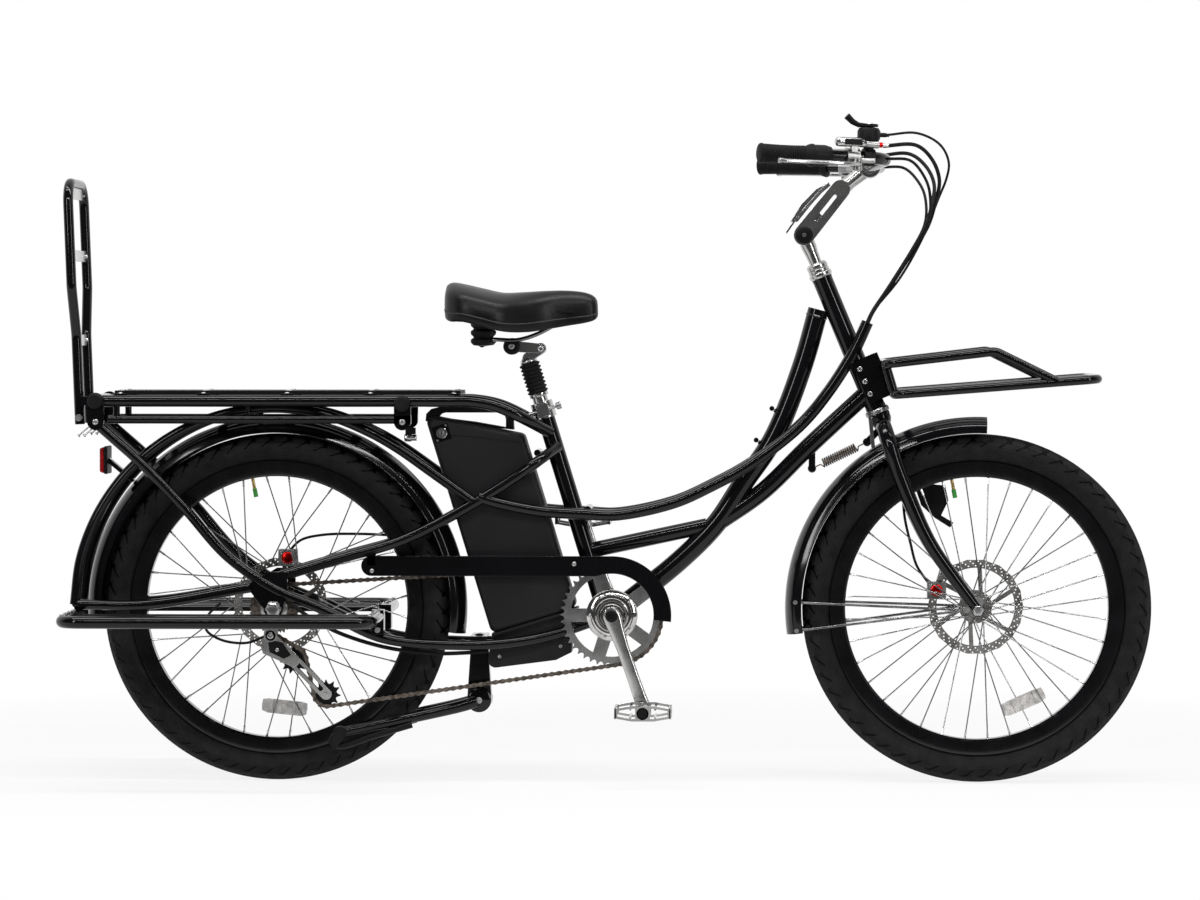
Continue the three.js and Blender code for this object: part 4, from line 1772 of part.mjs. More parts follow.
const mouthGoal = mouthEnd.clone().addScaledVector(mouthLine, -mouth.depth / 2);
const cableRight = controlCablePlaces.map((place) => vector(...place));
const cableLeft = cableRight.map((place) => vector(place.x, -place.y, place.z));
const intoMouth = (places, side) => [
  ...places,
  vector(mouthEnd.x, side * mouthEnd.y, mouthEnd.z - cable.sag).addScaledVector(mouthLine, mouth.depth / 2),
  vector(mouthEnd.x, side * mouthEnd.y, mouthEnd.z - cable.sag),
  vector(mouthGoal.x, side * mouthGoal.y, mouthGoal.z - cable.sag),
];
add("cables_right", smoothTube(intoMouth(cableRight, 1), cable.bundle, bundleSteps), rubber);
add("cables_left", smoothTube(intoMouth(cableLeft, -1), cable.bundle, bundleSteps), rubber);
add("motor_cable", hose(motorCablePlaces, cable.thick), rubber);

// The steering's centring spring: one wire wound between its two hooks

const springRear = onPlane(springTabEnd);
const springFront = onPlane(onHead(-springTab.behind, -springTab.below));
const springLine = springFront.clone().sub(springRear);
const springLength = springLine.length();
springLine.normalize();
const springUp = vector(0, 1, 0).cross(springLine).normalize();
const springSide = vector(0, 1, 0);
const hookReach = springTab.radius + clearance + coil.wire;
const wound = springLength - 2 * (hookReach + coil.lead);
const coilSteps = coil.turns * coil.steps;
const woundAt = (i) => {
  const angle = (i * 2 * Math.PI) / coil.steps;
  const along = hookReach + coil.lead + (wound * i) / coilSteps;
  return springRear.clone().addScaledVector(springLine, along)
    .addScaledVector(springUp, coil.radius * Math.cos(angle))
    .addScaledVector(springSide, coil.radius * Math.sin(angle));
};
const straightAt = (along) => springRear.clone().addScaledVector(springLine, along);
const wirePlaces = [
  straightAt(hookReach), straightAt(hookReach + coil.lead * 0.6),
  ...Array.from({ length: coilSteps + 1 }, (_, i) => woundAt(i)),
  straightAt(springLength - hookReach - coil.lead * 0.6), straightAt(springLength - hookReach),
];
const wireStations = wirePlaces.map((place, i) => {
  const from = wirePlaces[Math.max(0, i - 1)];
  const to = wirePlaces[Math.min(wirePlaces.length - 1, i + 1)];
  return { place, heading: to.clone().sub(from).normalize() };
});
add("stabiliser_spring", tubeAlong(wireStations, coil.wire, coil.sides), steel);

// The least gap between two turns of the spring, measured on its wire's middle line.
let leastGap = Infinity;
for (let i = 0; i <= coilSteps; i += 1) {
  for (let k = i + coil.steps / 2; k <= coilSteps; k += 1) {
    leastGap = Math.min(leastGap, woundAt(i).distanceTo(woundAt(k)) - 2 * coil.wire);
  }
}
console.log(`least gap between the spring's turns: ${leastGap.toFixed(2)} mm`);

export default bicycle;
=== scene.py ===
"""Looks of the longtail cargo bicycle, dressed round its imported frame. Places are in millimetres."""

import json
import math

import bmesh
import bpy
from mathutils import Matrix, Vector

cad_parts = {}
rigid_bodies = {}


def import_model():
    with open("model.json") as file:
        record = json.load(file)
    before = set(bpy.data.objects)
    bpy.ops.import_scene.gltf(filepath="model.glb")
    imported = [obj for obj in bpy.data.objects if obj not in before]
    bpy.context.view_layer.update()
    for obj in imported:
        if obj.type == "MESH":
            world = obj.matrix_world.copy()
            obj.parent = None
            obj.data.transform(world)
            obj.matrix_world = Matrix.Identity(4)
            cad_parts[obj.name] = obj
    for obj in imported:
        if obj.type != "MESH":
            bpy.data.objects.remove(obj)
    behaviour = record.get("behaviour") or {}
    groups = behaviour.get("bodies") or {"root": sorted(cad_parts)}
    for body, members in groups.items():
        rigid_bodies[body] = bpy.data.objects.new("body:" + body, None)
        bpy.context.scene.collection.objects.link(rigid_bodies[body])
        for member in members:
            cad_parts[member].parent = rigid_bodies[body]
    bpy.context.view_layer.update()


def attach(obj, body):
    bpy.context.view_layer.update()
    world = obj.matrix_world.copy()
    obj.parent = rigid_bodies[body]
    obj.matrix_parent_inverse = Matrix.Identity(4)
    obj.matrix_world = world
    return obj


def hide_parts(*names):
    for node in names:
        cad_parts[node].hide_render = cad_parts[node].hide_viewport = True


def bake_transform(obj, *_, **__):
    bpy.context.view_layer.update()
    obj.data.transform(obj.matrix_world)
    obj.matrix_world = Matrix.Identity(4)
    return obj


MM = 0.001
WELDED_WITHIN = 2e-6

for leftover in list(bpy.data.objects):
    bpy.data.objects.remove(leftover)
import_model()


# Finishes

class Value:
    """A number or a colour in a finish's nodes, which takes part in sums."""

    def __init__(self, finish, socket):
        self.finish = finish
        self.socket = socket

    def sum(self, operation, first, second, clamp=False):
        return self.finish.node(
            "ShaderNodeMath", {"operation": operation, "use_clamp": clamp}, {0: first, 1: second})

    def __add__(self, other):
        return self.sum("ADD", self, other)

    def __radd__(self, other):
        return self.sum("ADD", other, self)

    def __sub__(self, other):
        return self.sum("SUBTRACT", self, other)

    def __rsub__(self, other):
        return self.sum("SUBTRACT", other, self)

    def __mul__(self, other):
        return self.sum("MULTIPLY", self, other)

    def __rmul__(self, other):
        return self.sum("MULTIPLY", other, self)

    def __truediv__(self, other):
        return self.sum("DIVIDE", self, other)

    def above(self, edge, width):
        """0 below an edge and 1 above it, with a soft step of that width."""
        return ((self - edge) / width).sum("ADD", (self - edge) / width, 0.0, clamp=True)


class Nodes:
    """The nodes of a finish or of the room."""

    def __init__(self, tree, shader):
        self.tree = tree
        self.shader = tree.nodes[shader]

    def feed(self, socket, value, target=None):
        target = (target or self.shader).inputs[socket]
        if isinstance(value, Value):
            self.tree.links.new(value.socket, target)
        else:
            target.default_value = value

    def node(self, kind, settings, sockets, output=0):
        node = self.tree.nodes.new(kind)
        for key, value in settings.items():
            if key == "stops":
                ramp = node.color_ramp.elements
                while len(ramp) < len(value):
                    ramp.new(0.5)
                for element, (place, colour) in zip(ramp, value):
                    element.position = place
                    element.color = (*colour, 1.0)
            else:
                setattr(node, key, value)
        for key, value in sockets.items():
            self.feed(key, value, node)
        return Value(self, node.outputs[output])

    def unlit(self):
        """1 for a ray that shows the white surround, and 0 for one that only lights."""
        seen, glossy, passed = (
            self.node("ShaderNodeLightPath", {}, {}, output=kind)
            for kind in ("Is Camera Ray", "Is Glossy Ray", "Is Transmission Ray"))
        return (seen + glossy + passed).above(0.0, 0.5)


class Finish(Nodes):
    """A material whose surface detail is worked out in its nodes."""

    def __init__(self, name, colour, roughness, metallic=0.0, sockets=None):
        self.material = bpy.data.materials.new(name)
        self.material.use_nodes = True
        super().__init__(self.material.node_tree, "Principled BSDF")
        self.feed("Base Color", (*colour, 1.0))
        self.feed("Roughness", roughness)
        self.feed("Metallic", metallic)
        for socket, value in (sockets or {}).items():
            self.feed(socket, value)

    def place(self):
        return self.node("ShaderNodeTexCoord", {}, {}, output="Object")

    def noise(self, scale, detail=3.0):
        return self.node("ShaderNodeTexNoise", {}, {"Vector": self.place(), "Scale": scale, "Detail": detail})

    def cells(self, scale):
        """The edges between a pattern of irregular cells."""
        return self.node(
            "ShaderNodeTexVoronoi", {"feature": "DISTANCE_TO_EDGE"}, {"Vector": self.place(), "Scale": scale})

    def shades(self, factor, stops):
        return self.node("ShaderNodeValToRGB", {"stops": stops}, {"Fac": factor})

    def relief(self, height, depth, strength=1.0):
        bump = self.node("ShaderNodeBump", {}, {"Height": height, "Distance": depth, "Strength": strength})
        self.feed("Normal", bump)

    def part(self, axis):
        """One coordinate of a point on the piece."""
        return self.node("ShaderNodeSeparateXYZ", {}, {0: self.place()}, output=axis)

    def length(self, first, second):
        squares = first * first + second * second
        return squares.sum("POWER", squares, 0.5)


def mottled(finish, dark, light, scale):
    """Varies a finish's colour softly between two shades."""
    finish.feed("Base Color", finish.shades(finish.noise(scale, 4.0), [(0.3, dark), (0.7, light)]))


def scuffed(finish, low, high, scale):
    """Varies a finish's roughness, as handling and wiping do."""
    finish.feed("Roughness", low + (high - low) * finish.noise(scale, 5.0))


def frame_paint():
    """Black lacquer, a little uneven, under a clear coat."""
    paint = Finish("frame_paint", (0.003, 0.003, 0.0035), 0.1, sockets={"IOR": 1.38})
    mottled(paint, (0.002, 0.002, 0.0024), (0.004, 0.004, 0.005), 9.0)
    scuffed(paint, 0.05, 0.15, 35.0)
    paint.relief(paint.noise(30.0, 2.0), 0.0004, 0.03)
    return paint


def rim_paint():
    paint = Finish("rim_paint", (0.003, 0.003, 0.0035), 0.12, sockets={"IOR": 1.45})
    scuffed(paint, 0.07, 0.2, 60.0)
    mottled(paint, (0.0025, 0.0025, 0.003), (0.006, 0.006, 0.007), 20.0)
    return paint


def moulded_plastic():
    plastic = Finish("moulded_plastic", (0.006, 0.006, 0.007), 0.45, sockets={"IOR": 1.27})
    mottled(plastic, (0.002, 0.002, 0.0023), (0.005, 0.005, 0.0056), 14.0)
    scuffed(plastic, 0.38, 0.55, 90.0)
    plastic.relief(plastic.noise(1500.0, 2.0), 0.0003, 0.25)
    return plastic


def battery_case():
    case = Finish("battery_case", (0.014, 0.014, 0.015), 0.5, sockets={"IOR": 1.27})
    mottled(case, (0.008, 0.008, 0.0088), (0.014, 0.014, 0.0155), 6.0)
    scuffed(case, 0.42, 0.6, 50.0)
    case.relief(case.cells(1400.0), 0.0003, 0.3)
    return case


def soft_rubber():
    rubber = Finish("soft_rubber", (0.006, 0.006, 0.006), 0.62, sockets={"IOR": 1.25})
    mottled(rubber, (0.004, 0.004, 0.004), (0.01, 0.01, 0.01), 30.0)
    rubber.relief(rubber.noise(900.0, 3.0), 0.0003, 0.25)
    return rubber


def tyre_rubber():
    """Slanting cuts over the tread, fine rings on the sidewall, a little dust, and painted shade that darkens
    the cuts.
    """
    rubber = Finish("tyre_rubber", (0.012, 0.012, 0.012), 0.7, sockets={"IOR": 1.16})
    x, y, z = (rubber.part(axis) for axis in ("X", "Y", "Z"))
    reach = rubber.length(x, z)
    turn = x.sum("ARCTAN2", z, x)
    ring = reach * 1500.0
    rings = ring.sum("SINE", ring, 0.0)
    slant = turn * 58.0 + y * 150.0
    cuts = slant.sum("SINE", slant, 0.0)
    mirrored = turn * 58.0 - y * 150.0
    crossing = mirrored.sum("SINE", mirrored, 0.0)
    hooks = turn * 58.0 + reach * 260.0
    shoulder = hooks.sum("SINE", hooks, 0.0)
    tread = reach.above(0.2985, 0.0015)
    flank = (1.0 - tread) * reach.above(0.2885, 0.0015)
    wall = (1.0 - tread) * (1.0 - flank) * reach.above(0.268, 0.002)
    both = cuts.sum("MAXIMUM", cuts, crossing).above(0.8, 0.06) * tread + shoulder.above(0.88, 0.06) * flank
    height = rings * wall * 0.1 - both * 1.0 + rubber.noise(260.0, 4.0) * 0.18
    rubber.relief(height, 0.0024, 1.0)
    # Painted shade: the cuts are darkened to near black in the colour as well as in the bump. Noise varies
    # the colour, and it is a little lighter over the tread.
    dust_and_groove_shade = rubber.noise(45.0, 5.0) * 0.7 + tread * 0.2 - both * 1.2
    rubber.feed("Base Color", rubber.shades(dust_and_groove_shade, [(0.0, (0.001, 0.001, 0.001)),
                                                   (0.25, (0.012, 0.0118, 0.0124)),
                                                   (1.0, (0.034, 0.033, 0.034))]))
    rubber.feed("Roughness", 0.55 + dust_and_groove_shade * 0.25)
    return rubber


def saddle_vinyl():
    vinyl = Finish("saddle_vinyl", (0.004, 0.004, 0.004), 0.34, sockets={"IOR": 1.33})
    grain = vinyl.cells(700.0) * 0.7 + vinyl.noise(260.0, 4.0) * 0.3
    vinyl.relief(grain, 0.0005, 0.35)
    mottled(vinyl, (0.002, 0.002, 0.002), (0.0045, 0.004, 0.004), 18.0)
    scuffed(vinyl, 0.26, 0.46, 22.0)
    return vinyl


def polished_alloy():
    alloy = Finish("polished_alloy", (0.55, 0.55, 0.55), 0.2, 1.0)
    mottled(alloy, (0.46, 0.455, 0.45), (0.62, 0.615, 0.61), 12.0)
    scuffed(alloy, 0.14, 0.3, 45.0)
    alloy.relief(alloy.noise(14.0, 2.0), 0.002, 0.1)
    return alloy


def cast_alloy():
    alloy = Finish("cast_alloy", (0.4, 0.4, 0.4), 0.34, 1.0)
    mottled(alloy, (0.3, 0.3, 0.3), (0.48, 0.48, 0.47), 40.0)
    scuffed(alloy, 0.24, 0.44, 80.0)
    alloy.relief(alloy.noise(500.0, 3.0), 0.0003, 0.3)
    return alloy


def spoke_steel():
    steel = Finish("spoke_steel", (0.3, 0.3, 0.3), 0.2, 1.0)
    scuffed(steel, 0.14, 0.3, 60.0)
    mottled(steel, (0.1, 0.1, 0.1), (0.26, 0.26, 0.26), 30.0)
    return steel


def chain_steel():
    steel = Finish("chain_steel", (0.14, 0.11, 0.09), 0.38, 1.0)
    mottled(steel, (0.06, 0.05, 0.04), (0.26, 0.22, 0.19), 130.0)
    scuffed(steel, 0.28, 0.55, 160.0)
    return steel


def disc_steel():
    """Brushed round its own axle, with its tone varied at random."""
    steel = Finish("disc_steel", (0.42, 0.41, 0.39), 0.26, 1.0)
    reach = steel.length(steel.part("X"), steel.part("Z"))
    ring = reach * 9000.0
    lines = ring.sum("SINE", ring, 0.0)
    steel.relief(lines + steel.noise(300.0, 3.0), 0.0001, 0.2)
    mottled(steel, (0.26, 0.25, 0.24), (0.5, 0.49, 0.47), 50.0)
    return steel


def tinted(name, colour, roughness, metallic=0.0):
    tint = Finish(name, colour, roughness, metallic)
    scuffed(tint, roughness * 0.7, roughness * 1.3, 120.0)
    mottled(tint, tuple(c * 0.75 for c in colour), tuple(min(1.0, c * 1.2) for c in colour), 60.0)
    return tint


def lens(name, colour, scale):
    """Moulded prisms behind a clear skin."""
    glassy = Finish(name, colour, 0.12, sockets={"Coat Weight": 0.6})
    glassy.relief(glassy.cells(scale), 0.0006, 0.6)
    mottled(glassy, tuple(c * 0.6 for c in colour), tuple(min(1.0, c * 1.15) for c in colour), scale / 4)
    return glassy


PAINT = frame_paint()
RIM_PAINT = rim_paint()
PLASTIC = moulded_plastic()
CASE = battery_case()
RUBBER = soft_rubber()
TYRE = tyre_rubber()
VINYL = saddle_vinyl()
ALLOY = polished_alloy()
CAST = cast_alloy()
SPOKE = spoke_steel()
CHAIN = chain_steel()
DISC = disc_steel()
CHROME = tinted("chrome", (0.55, 0.54, 0.53), 0.09, 1.0)
ZINC = tinted("zinc_screws", (0.5, 0.5, 0.5), 0.3, 1.0)
RED = tinted("red_anodised", (0.5, 0.012, 0.01), 0.25, 1.0)
GREEN = tinted("green_caps", (0.03, 0.3, 0.03), 0.4)
BRASS = tinted("brass_valve", (0.5, 0.36, 0.14), 0.3, 1.0)
THREAD = tinted("grey_thread", (0.03, 0.03, 0.03), 0.7)
LAMP = lens("lamp_lens", (0.42, 0.006, 0.008), 260.0)
REFLECTOR = lens("reflector_lens", (0.62, 0.6, 0.58), 420.0)


# Shapes

def leaning(foot, angle):
    """The frame of a part that leans back by an angle, with its foot on the bicycle's plane."""
    turn = Matrix.Rotation(-math.radians(angle), 4, "Y")
    return Matrix.Translation((foot[0], 0, foot[1])) @ turn


def arc(centre, radius, start, end, steps):
    """Places along an arc, from one angle in degrees to another."""
    spread = [math.radians(start + (end - start) * i / steps) for i in range(steps + 1)]
    return [(centre[0] + radius * math.cos(a), centre[1] + radius * math.sin(a)) for a in spread]


def capsule(first, second, r0, r1=None, steps=14):
    """The outline of a bar with round ends between two places."""
    r1 = r0 if r1 is None else r1
    lean = math.degrees(math.atan2(second[1] - first[1], second[0] - first[0]))
    return arc(first, r0, lean + 90, lean + 270, steps) + arc(second, r1, lean - 90, lean + 90, steps)


def smooth(places, steps=56):
    """An even run along the smooth curve through some places."""
    knots = [Vector(p) for p in places]
    knots = [2 * knots[0] - knots[1], *knots, 2 * knots[-1] - knots[-2]]
    fine = []
    for a, b, c, d in zip(knots, knots[1:], knots[2:], knots[3:]):
        before, here, after = (math.sqrt((q - p).length) for p, q in ((a, b), (b, c), (c, d)))
        leave = ((b - a) / before - (c - a) / (before + here) + (c - b) / here) * here
        reach = ((c - b) / here - (d - b) / (here + after) + (d - c) / after) * here
        for k in range(24):
            t = k / 24
            fine.append(
                b * (2 * t ** 3 - 3 * t ** 2 + 1) + leave * (t ** 3 - 2 * t ** 2 + t)
                + c * (3 * t ** 2 - 2 * t ** 3) + reach * (t ** 3 - t ** 2))
    fine.append(knots[-2])
    return evenly(fine, steps)


def evenly(fine, steps):
    """The same line with its points evenly spread."""
    lengths = [0.0]
    for p, q in zip(fine, fine[1:]):
        lengths.append(lengths[-1] + (q - p).length)
    even = []
    at = 0
    for i in range(steps + 1):
        want = lengths[-1] * i / steps
        while at < len(fine) - 2 and lengths[at + 1] < want:
            at += 1
        share = (want - lengths[at]) / max(1e-9, lengths[at + 1] - lengths[at])
        even.append(fine[at].lerp(fine[at + 1], min(1.0, share)))
    return even


def bent(places, bend, steps=10):
    """Straight runs between places, with each corner bent to a radius."""
    knots = [Vector(p) for p in places]
    run = [knots[0]]
    for before, here, after in zip(knots, knots[1:], knots[2:]):
        into = (here - before).normalized()
        out = (after - here).normalized()
        turn = into.angle(out)
        reach = bend * math.tan(turn / 2)
        start = here - into * reach
        centre = here + (out - into).normalized() * math.hypot(bend, reach)
        axis = into.cross(out).normalized()
        run += [centre + Matrix.Rotation(turn * k / steps, 3, axis) @ (start - centre)
                for k in range(steps + 1)]
    return run + [knots[-1]]


def across(place):
    """The same place on the other side of the bicycle."""
    return (place[0], -place[1], place[2])


def metres(place):
    return [c * MM for c in place]


class Piece:
    """A piece of the bicycle, built up from its shapes and then made as one object."""

    def __init__(self, name, body, finish, slot, nodes=(), origin=(0, 0, 0), edge=0.5):
        self.name = name
        self.body = body
        self.finishes = [finish]
        self.slot = slot
        self.nodes = nodes
        self.origin = Vector(origin)
        self.edge = edge
        self.frame = Matrix()
        self.points = []
        self.faces = []
        self.marks = []

    def mesh(self, points, faces, finish=None):
        finish = finish or self.finishes[0]
        if finish not in self.finishes:
            self.finishes.append(finish)
        start = len(self.points)
        self.points += [self.frame @ Vector(p) for p in points]
        self.faces += [[start + i for i in face] for face in faces]
        self.marks += [self.finishes.index(finish)] * len(faces)

    def skin(self, rings, finish=None, loop=False, closed=True, caps=True):
        count = len(rings[0])
        faces = []
        for i in range(len(rings) - (0 if loop else 1)):
            low, high = i * count, ((i + 1) % len(rings)) * count
            for k in range(count if closed else count - 1):
                m = (k + 1) % count
                faces.append([low + k, low + m, high + m, high + k])
        if caps and not loop:
            faces.append(list(range(count))[::-1])
            faces.append([(len(rings) - 1) * count + k for k in range(count)])
        self.mesh([p for ring in rings for p in ring], faces, finish)

    def tube(self, path, radius, finish=None, sides=20, caps=True):
        path = [Vector(p) for p in path]
        last = len(path) - 1
        headings = [(path[min(i + 1, last)] - path[max(i - 1, 0)]).normalized() for i in range(last + 1)]
        normal = headings[0].orthogonal().normalized()
        rings = []
        for i, (place, heading) in enumerate(zip(path, headings)):
            normal = (normal - heading * normal.dot(heading)).normalized()
            side = heading.cross(normal)
            r = radius(i / last) if callable(radius) else radius
            turns = [2 * math.pi * k / sides for k in range(sides)]
            rings.append([place + normal * (r * math.cos(a)) + side * (r * math.sin(a)) for a in turns])
        self.skin(rings, finish, caps=caps)

    def rod(self, start, end, radius, finish=None, sides=24):
        self.tube([start, end], radius, finish, sides)

    def cross(self, at, y0, y1, radius, finish=None, sides=32):
        self.rod((at[0], y0, at[1]), (at[0], y1, at[1]), radius, finish, sides)

    def lathe(self, profile, finish=None, at=(0, 0, 0), axis="Y", sides=48, start=0.0, end=360.0):
        """Turns [radius, along] points about an axis through a place."""
        whole = end - start >= 360
        rings = []
        for i in range(sides if whole else sides + 1):
            a = math.radians(start + (end - start) * i / sides)
            c, s = math.cos(a), math.sin(a)
            spin = {"Y": lambda r, u: (r * c, u, r * s), "Z": lambda r, u: (r * c, r * s, u),
                    "X": lambda r, u: (u, r * c, r * s)}[axis]
            rings.append([Vector(at) + Vector(spin(r, u)) for r, u in profile])
        self.skin(rings, finish, loop=whole, closed=tuple(profile[0]) == tuple(profile[-1]), caps=False)

    def flat(self, outline, low, high, finish=None, holes=()):
        """A plate with its outline in the bicycle's plane, from one y to another."""
        if holes:
            self.pierced(outline, low, high, finish, holes)
            return
        self.skin([[(x, y, z) for x, z in outline] for y in (low, high)], finish)

    def pierced(self, outline, low, high, finish, holes):
        curve = bpy.data.curves.new("outline", "CURVE")
        curve.dimensions = "2D"
        curve.fill_mode = "BOTH"
        curve.extrude = (high - low) / 2
        for loop in (outline, *holes):
            spline = curve.splines.new("POLY")
            spline.points.add(len(loop) - 1)
            for point, (x, z) in zip(spline.points, loop):
                point.co = (x, z, 0, 1)
            spline.use_cyclic_u = True
        holder = bpy.data.objects.new("outline", curve)
        bpy.context.scene.collection.objects.link(holder)
        shape = holder.to_mesh()
        middle = (low + high) / 2
        self.mesh([(v.co.x, middle + v.co.z, v.co.y) for v in shape.vertices],
                  [list(face.vertices) for face in shape.polygons], finish)
        holder.to_mesh_clear()
        bpy.data.objects.remove(holder)
        bpy.data.curves.remove(curve)

    def box(self, x0, x1, y0, y1, z0, z1, finish=None):
        self.flat([(x0, z0), (x1, z0), (x1, z1), (x0, z1)], y0, y1, finish)

    def slab(self, outline, low, high, finish=None):
        """A plate with its outline flat, from one height to another."""
        self.skin([[(x, y, z) for x, y in outline] for z in (low, high)], finish)

    def bolt(self, at, y0, y1, radius):
        """A round-headed socket screw across the bicycle, with its head at y1."""
        side = 1 if y1 > y0 else -1
        dome = [(0, y1 - side * radius * 0.35), (radius * 0.45, y1 - side * radius * 0.35),
                (radius * 0.5, y1), (radius * 0.8, y1 - side * radius * 0.1),
                (radius, y1 - side * radius * 0.45), (radius, y0), (0, y0)]
        self.lathe(dome, ZINC, (at[0], 0, at[1]), sides=18)

    def mirror(self):
        """Adds what is there so far again on the other side."""
        count = len(self.points)
        self.points += [Vector((p[0], -p[1], p[2])) for p in self.points]
        self.faces += [[count + i for i in reversed(face)] for face in self.faces]
        self.marks += list(self.marks)

    def made(self, crease=32.0, riding=True):
        data = bpy.data.meshes.new(self.name)
        data.from_pydata([(p - self.origin) * MM for p in self.points], [], self.faces)
        for finish in self.finishes:
            data.materials.append(finish.material)
        for face, mark in zip(data.polygons, self.marks):
            face.material_index = mark
        joined = bmesh.new()
        joined.from_mesh(data)
        bmesh.ops.remove_doubles(joined, verts=joined.verts, dist=WELDED_WITHIN)
        bmesh.ops.recalc_face_normals(joined, faces=joined.faces)
        joined.to_mesh(data)
        joined.free()
        data.shade_smooth()
        data.set_sharp_from_angle(angle=math.radians(crease))
        piece = bpy.data.objects.new(self.name, data)
        bpy.context.scene.collection.objects.link(piece)
        piece.location = self.origin * MM
        if self.edge:
            rounding = piece.modifiers.new("rounding", "BEVEL")
            rounding.width = self.edge * MM
            rounding.segments = 2
            rounding.limit_method = "ANGLE"
            rounding.angle_limit = math.radians(crease)
            rounding.harden_normals = True
            rounding.use_clamp_overlap = True
        if riding:
            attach(piece, self.body)
        if self.nodes:
            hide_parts(*self.nodes)
        return piece


# The places that the bicycle is built on

FRONT_AXLE = (657.3, 311.5)
REAR_AXLE = (-596.0, 311.5)
BRACKET = (7.0, 300.0)
PITCH = 12.7
LINKS = 134
CHAIN_PLANE = -48
CHAINRING_TEETH, JOCKEY_TEETH, COG_TEETH = 44, 11, 20
SPOKES = 36
SPRING_HOOK = (363.3, 560.6)
STEERING = leaning((477.324, 668.662), 22.6)
SEATING = leaning((-5.2, 300.0), 17.07)
HEAD_LENGTH = 251.5
CUP_TOP = 263.3


def on(frame, x, z):
    """A place given in a leaning frame, on the bicycle's plane."""
    return tuple(frame @ Vector((x, 0, z)))


def flat_on(frame, x, z):
    place = on(frame, x, z)
    return (place[0], place[2])


DOWN_TUBE = [(380.9, 0, 869), (344, 0, 738.1), (293.1, 0, 612.1), (239.5, 0, 533.1), (191.6, 0, 461.1),
             (127.1, 0, 396), (7, 0, 300)]
HEAD_BRACE = [(464.6, 0, 699.1), (358.3, 0, 600.6), (275.2, 0, 519.5), (191.6, 0, 461.1)]
SIDE_TUBE = [(-230.7, -60, 511.3), (-202.8, -59.1, 502.3), (-125.9, -53.7, 486.5), (-39, -52.6, 480.5),
             (15, -52.6, 478.8), (117.5, -51.9, 500.8), (185, -49.4, 531.1), (253, -42.8, 569.1),
             (341.1, -31.8, 637), (395, -28.7, 701.5), (439, -28.7, 772.6), (462, -28.7, 822.1)]
SEAT_STAY = [(-587.6, -60, 368), (-476, -60, 401.4), (-364.5, -60, 434.7), (-237.2, -60, 500.6),
             (-153.5, -60, 553.8), (-126.4, -60, 573.7), (-90.4, -14, 600.2)]
DECK_TUBE = [(-277, -75, 682), (-247, -75, 682), (-200.4, -68.9, 673.6), (-156, -60.4, 654.1),
             (-105, -14, 625)]
CHAINSTAY = [(-913, -75, 643), (-830.5, -75, 570), (-754, -75, 491), (-678, -73.2, 405), (-596, -70.5, 348),
             (-512, -70.5, 312), (-404, -66.8, 260), (-274, -57.5, 246.6), (-176, -46.3, 250),
             (-92.8, -34.2, 265.5), (7, -24, 300)]
HOOP = [(-953.9, -57, 317.7), (-943.4, -57, 398.1), (-915, -57, 474), (-870.2, -57, 541.6),
        (-811.4, -57, 597.4), (-741.6, -57, 638.5), (-664.3, -57, 662.9), (-583.5, -57, 669.3),
        (-503.3, -57, 657.3), (-427.9, -57, 627.6), (-375.8, -57.9, 598.4), (-312, -59.1, 553.7),
        (-237.2, -60, 500.6)]
TAIL_TUBE = [(-953.9, -57, 317.7), (-819.1, -62.4, 318.4), (-636, -70.5, 349.5)]
FORK_LEG = [(657.3, -55, 311.5), (616.5, -55, 365.8), (568.9, -55, 435.9), (516.9, -55, 555.5),
            (499.7, -53.9, 608.9), (491.6, -30.3, 634.4), (490.4, 0, 637.3)]
BACKREST = [(-943, -60, 640), (-949, -60, 800), (-952.1, -94, 885), (-959, -94, 1070)]


# Frame tubes

def painted(name, node, edge=0.5):
    """A piece of the frame in black lacquer, in place of one CAD part."""
    return Piece(name, "frame", PAINT, "black_paint", [node], edge=edge)


def weld(piece, path, radius, at):
    """A bead where a tube meets another."""
    run = [Vector(p) for p in path]
    share = int(at * (len(run) - 1))
    heading = (run[min(share + 1, len(run) - 1)] - run[max(share - 1, 0)]).normalized()
    piece.tube([run[share] - heading * 2.2, run[share], run[share] + heading * 2.2],
               lambda t: radius + 1.6 * math.sin(math.pi * t), sides=24, caps=False)


down_tube = painted("down_tube_paint", "down_tube")
down_run = smooth(DOWN_TUBE)
down_tube.tube(down_run[2:], 18.5, sides=32)
weld(down_tube, down_run, 18.5, 0.06)
weld(down_tube, down_run, 18.5, 0.96)
down_tube.lathe([(9.6, -34), (20.5, -34), (20.5, 34), (9.6, 34), (9.6, -34)], at=(7, 0, 300))
for at in ((291.5, 668), (263.5, 611.5)):
    down_tube.cross(at, -5, 5, 4.5)
    down_tube.rod((at[0] + 4, 0, at[1] - 3), (at[0] + 16, 0, at[1] - 10), 3.5)
down_tube.made()

head_tube = painted("head_tube_paint", "head_tube")
head_tube.tube(smooth(HEAD_BRACE, 24), 16, sides=28)
head_tube.flat(capsule((363.3, 600.6), SPRING_HOOK, 6), -2, 2)
head_tube.frame = STEERING
head_tube.lathe([(15.2, -7), (18, -7), (18.6, 2), (18, 6), (18, HEAD_LENGTH - 4), (18.6, HEAD_LENGTH - 1),
                 (18.6, HEAD_LENGTH + 2), (15.2, HEAD_LENGTH + 2), (15.2, -7)], axis="Z")
head_tube.lathe([(15.2, -10), (22, -10), (22, -4), (20, -1), (15.2, -1), (15.2, -10)], CAST, axis="Z")
head_tube.lathe([(15.2, HEAD_LENGTH + 1), (19, HEAD_LENGTH + 1), (21, HEAD_LENGTH + 4), (21, HEAD_LENGTH + 9),
                 (18, HEAD_LENGTH + 11.5), (15.2, HEAD_LENGTH + 11.5), (15.2, HEAD_LENGTH + 1)], ALLOY,
                axis="Z")
head_tube.made()

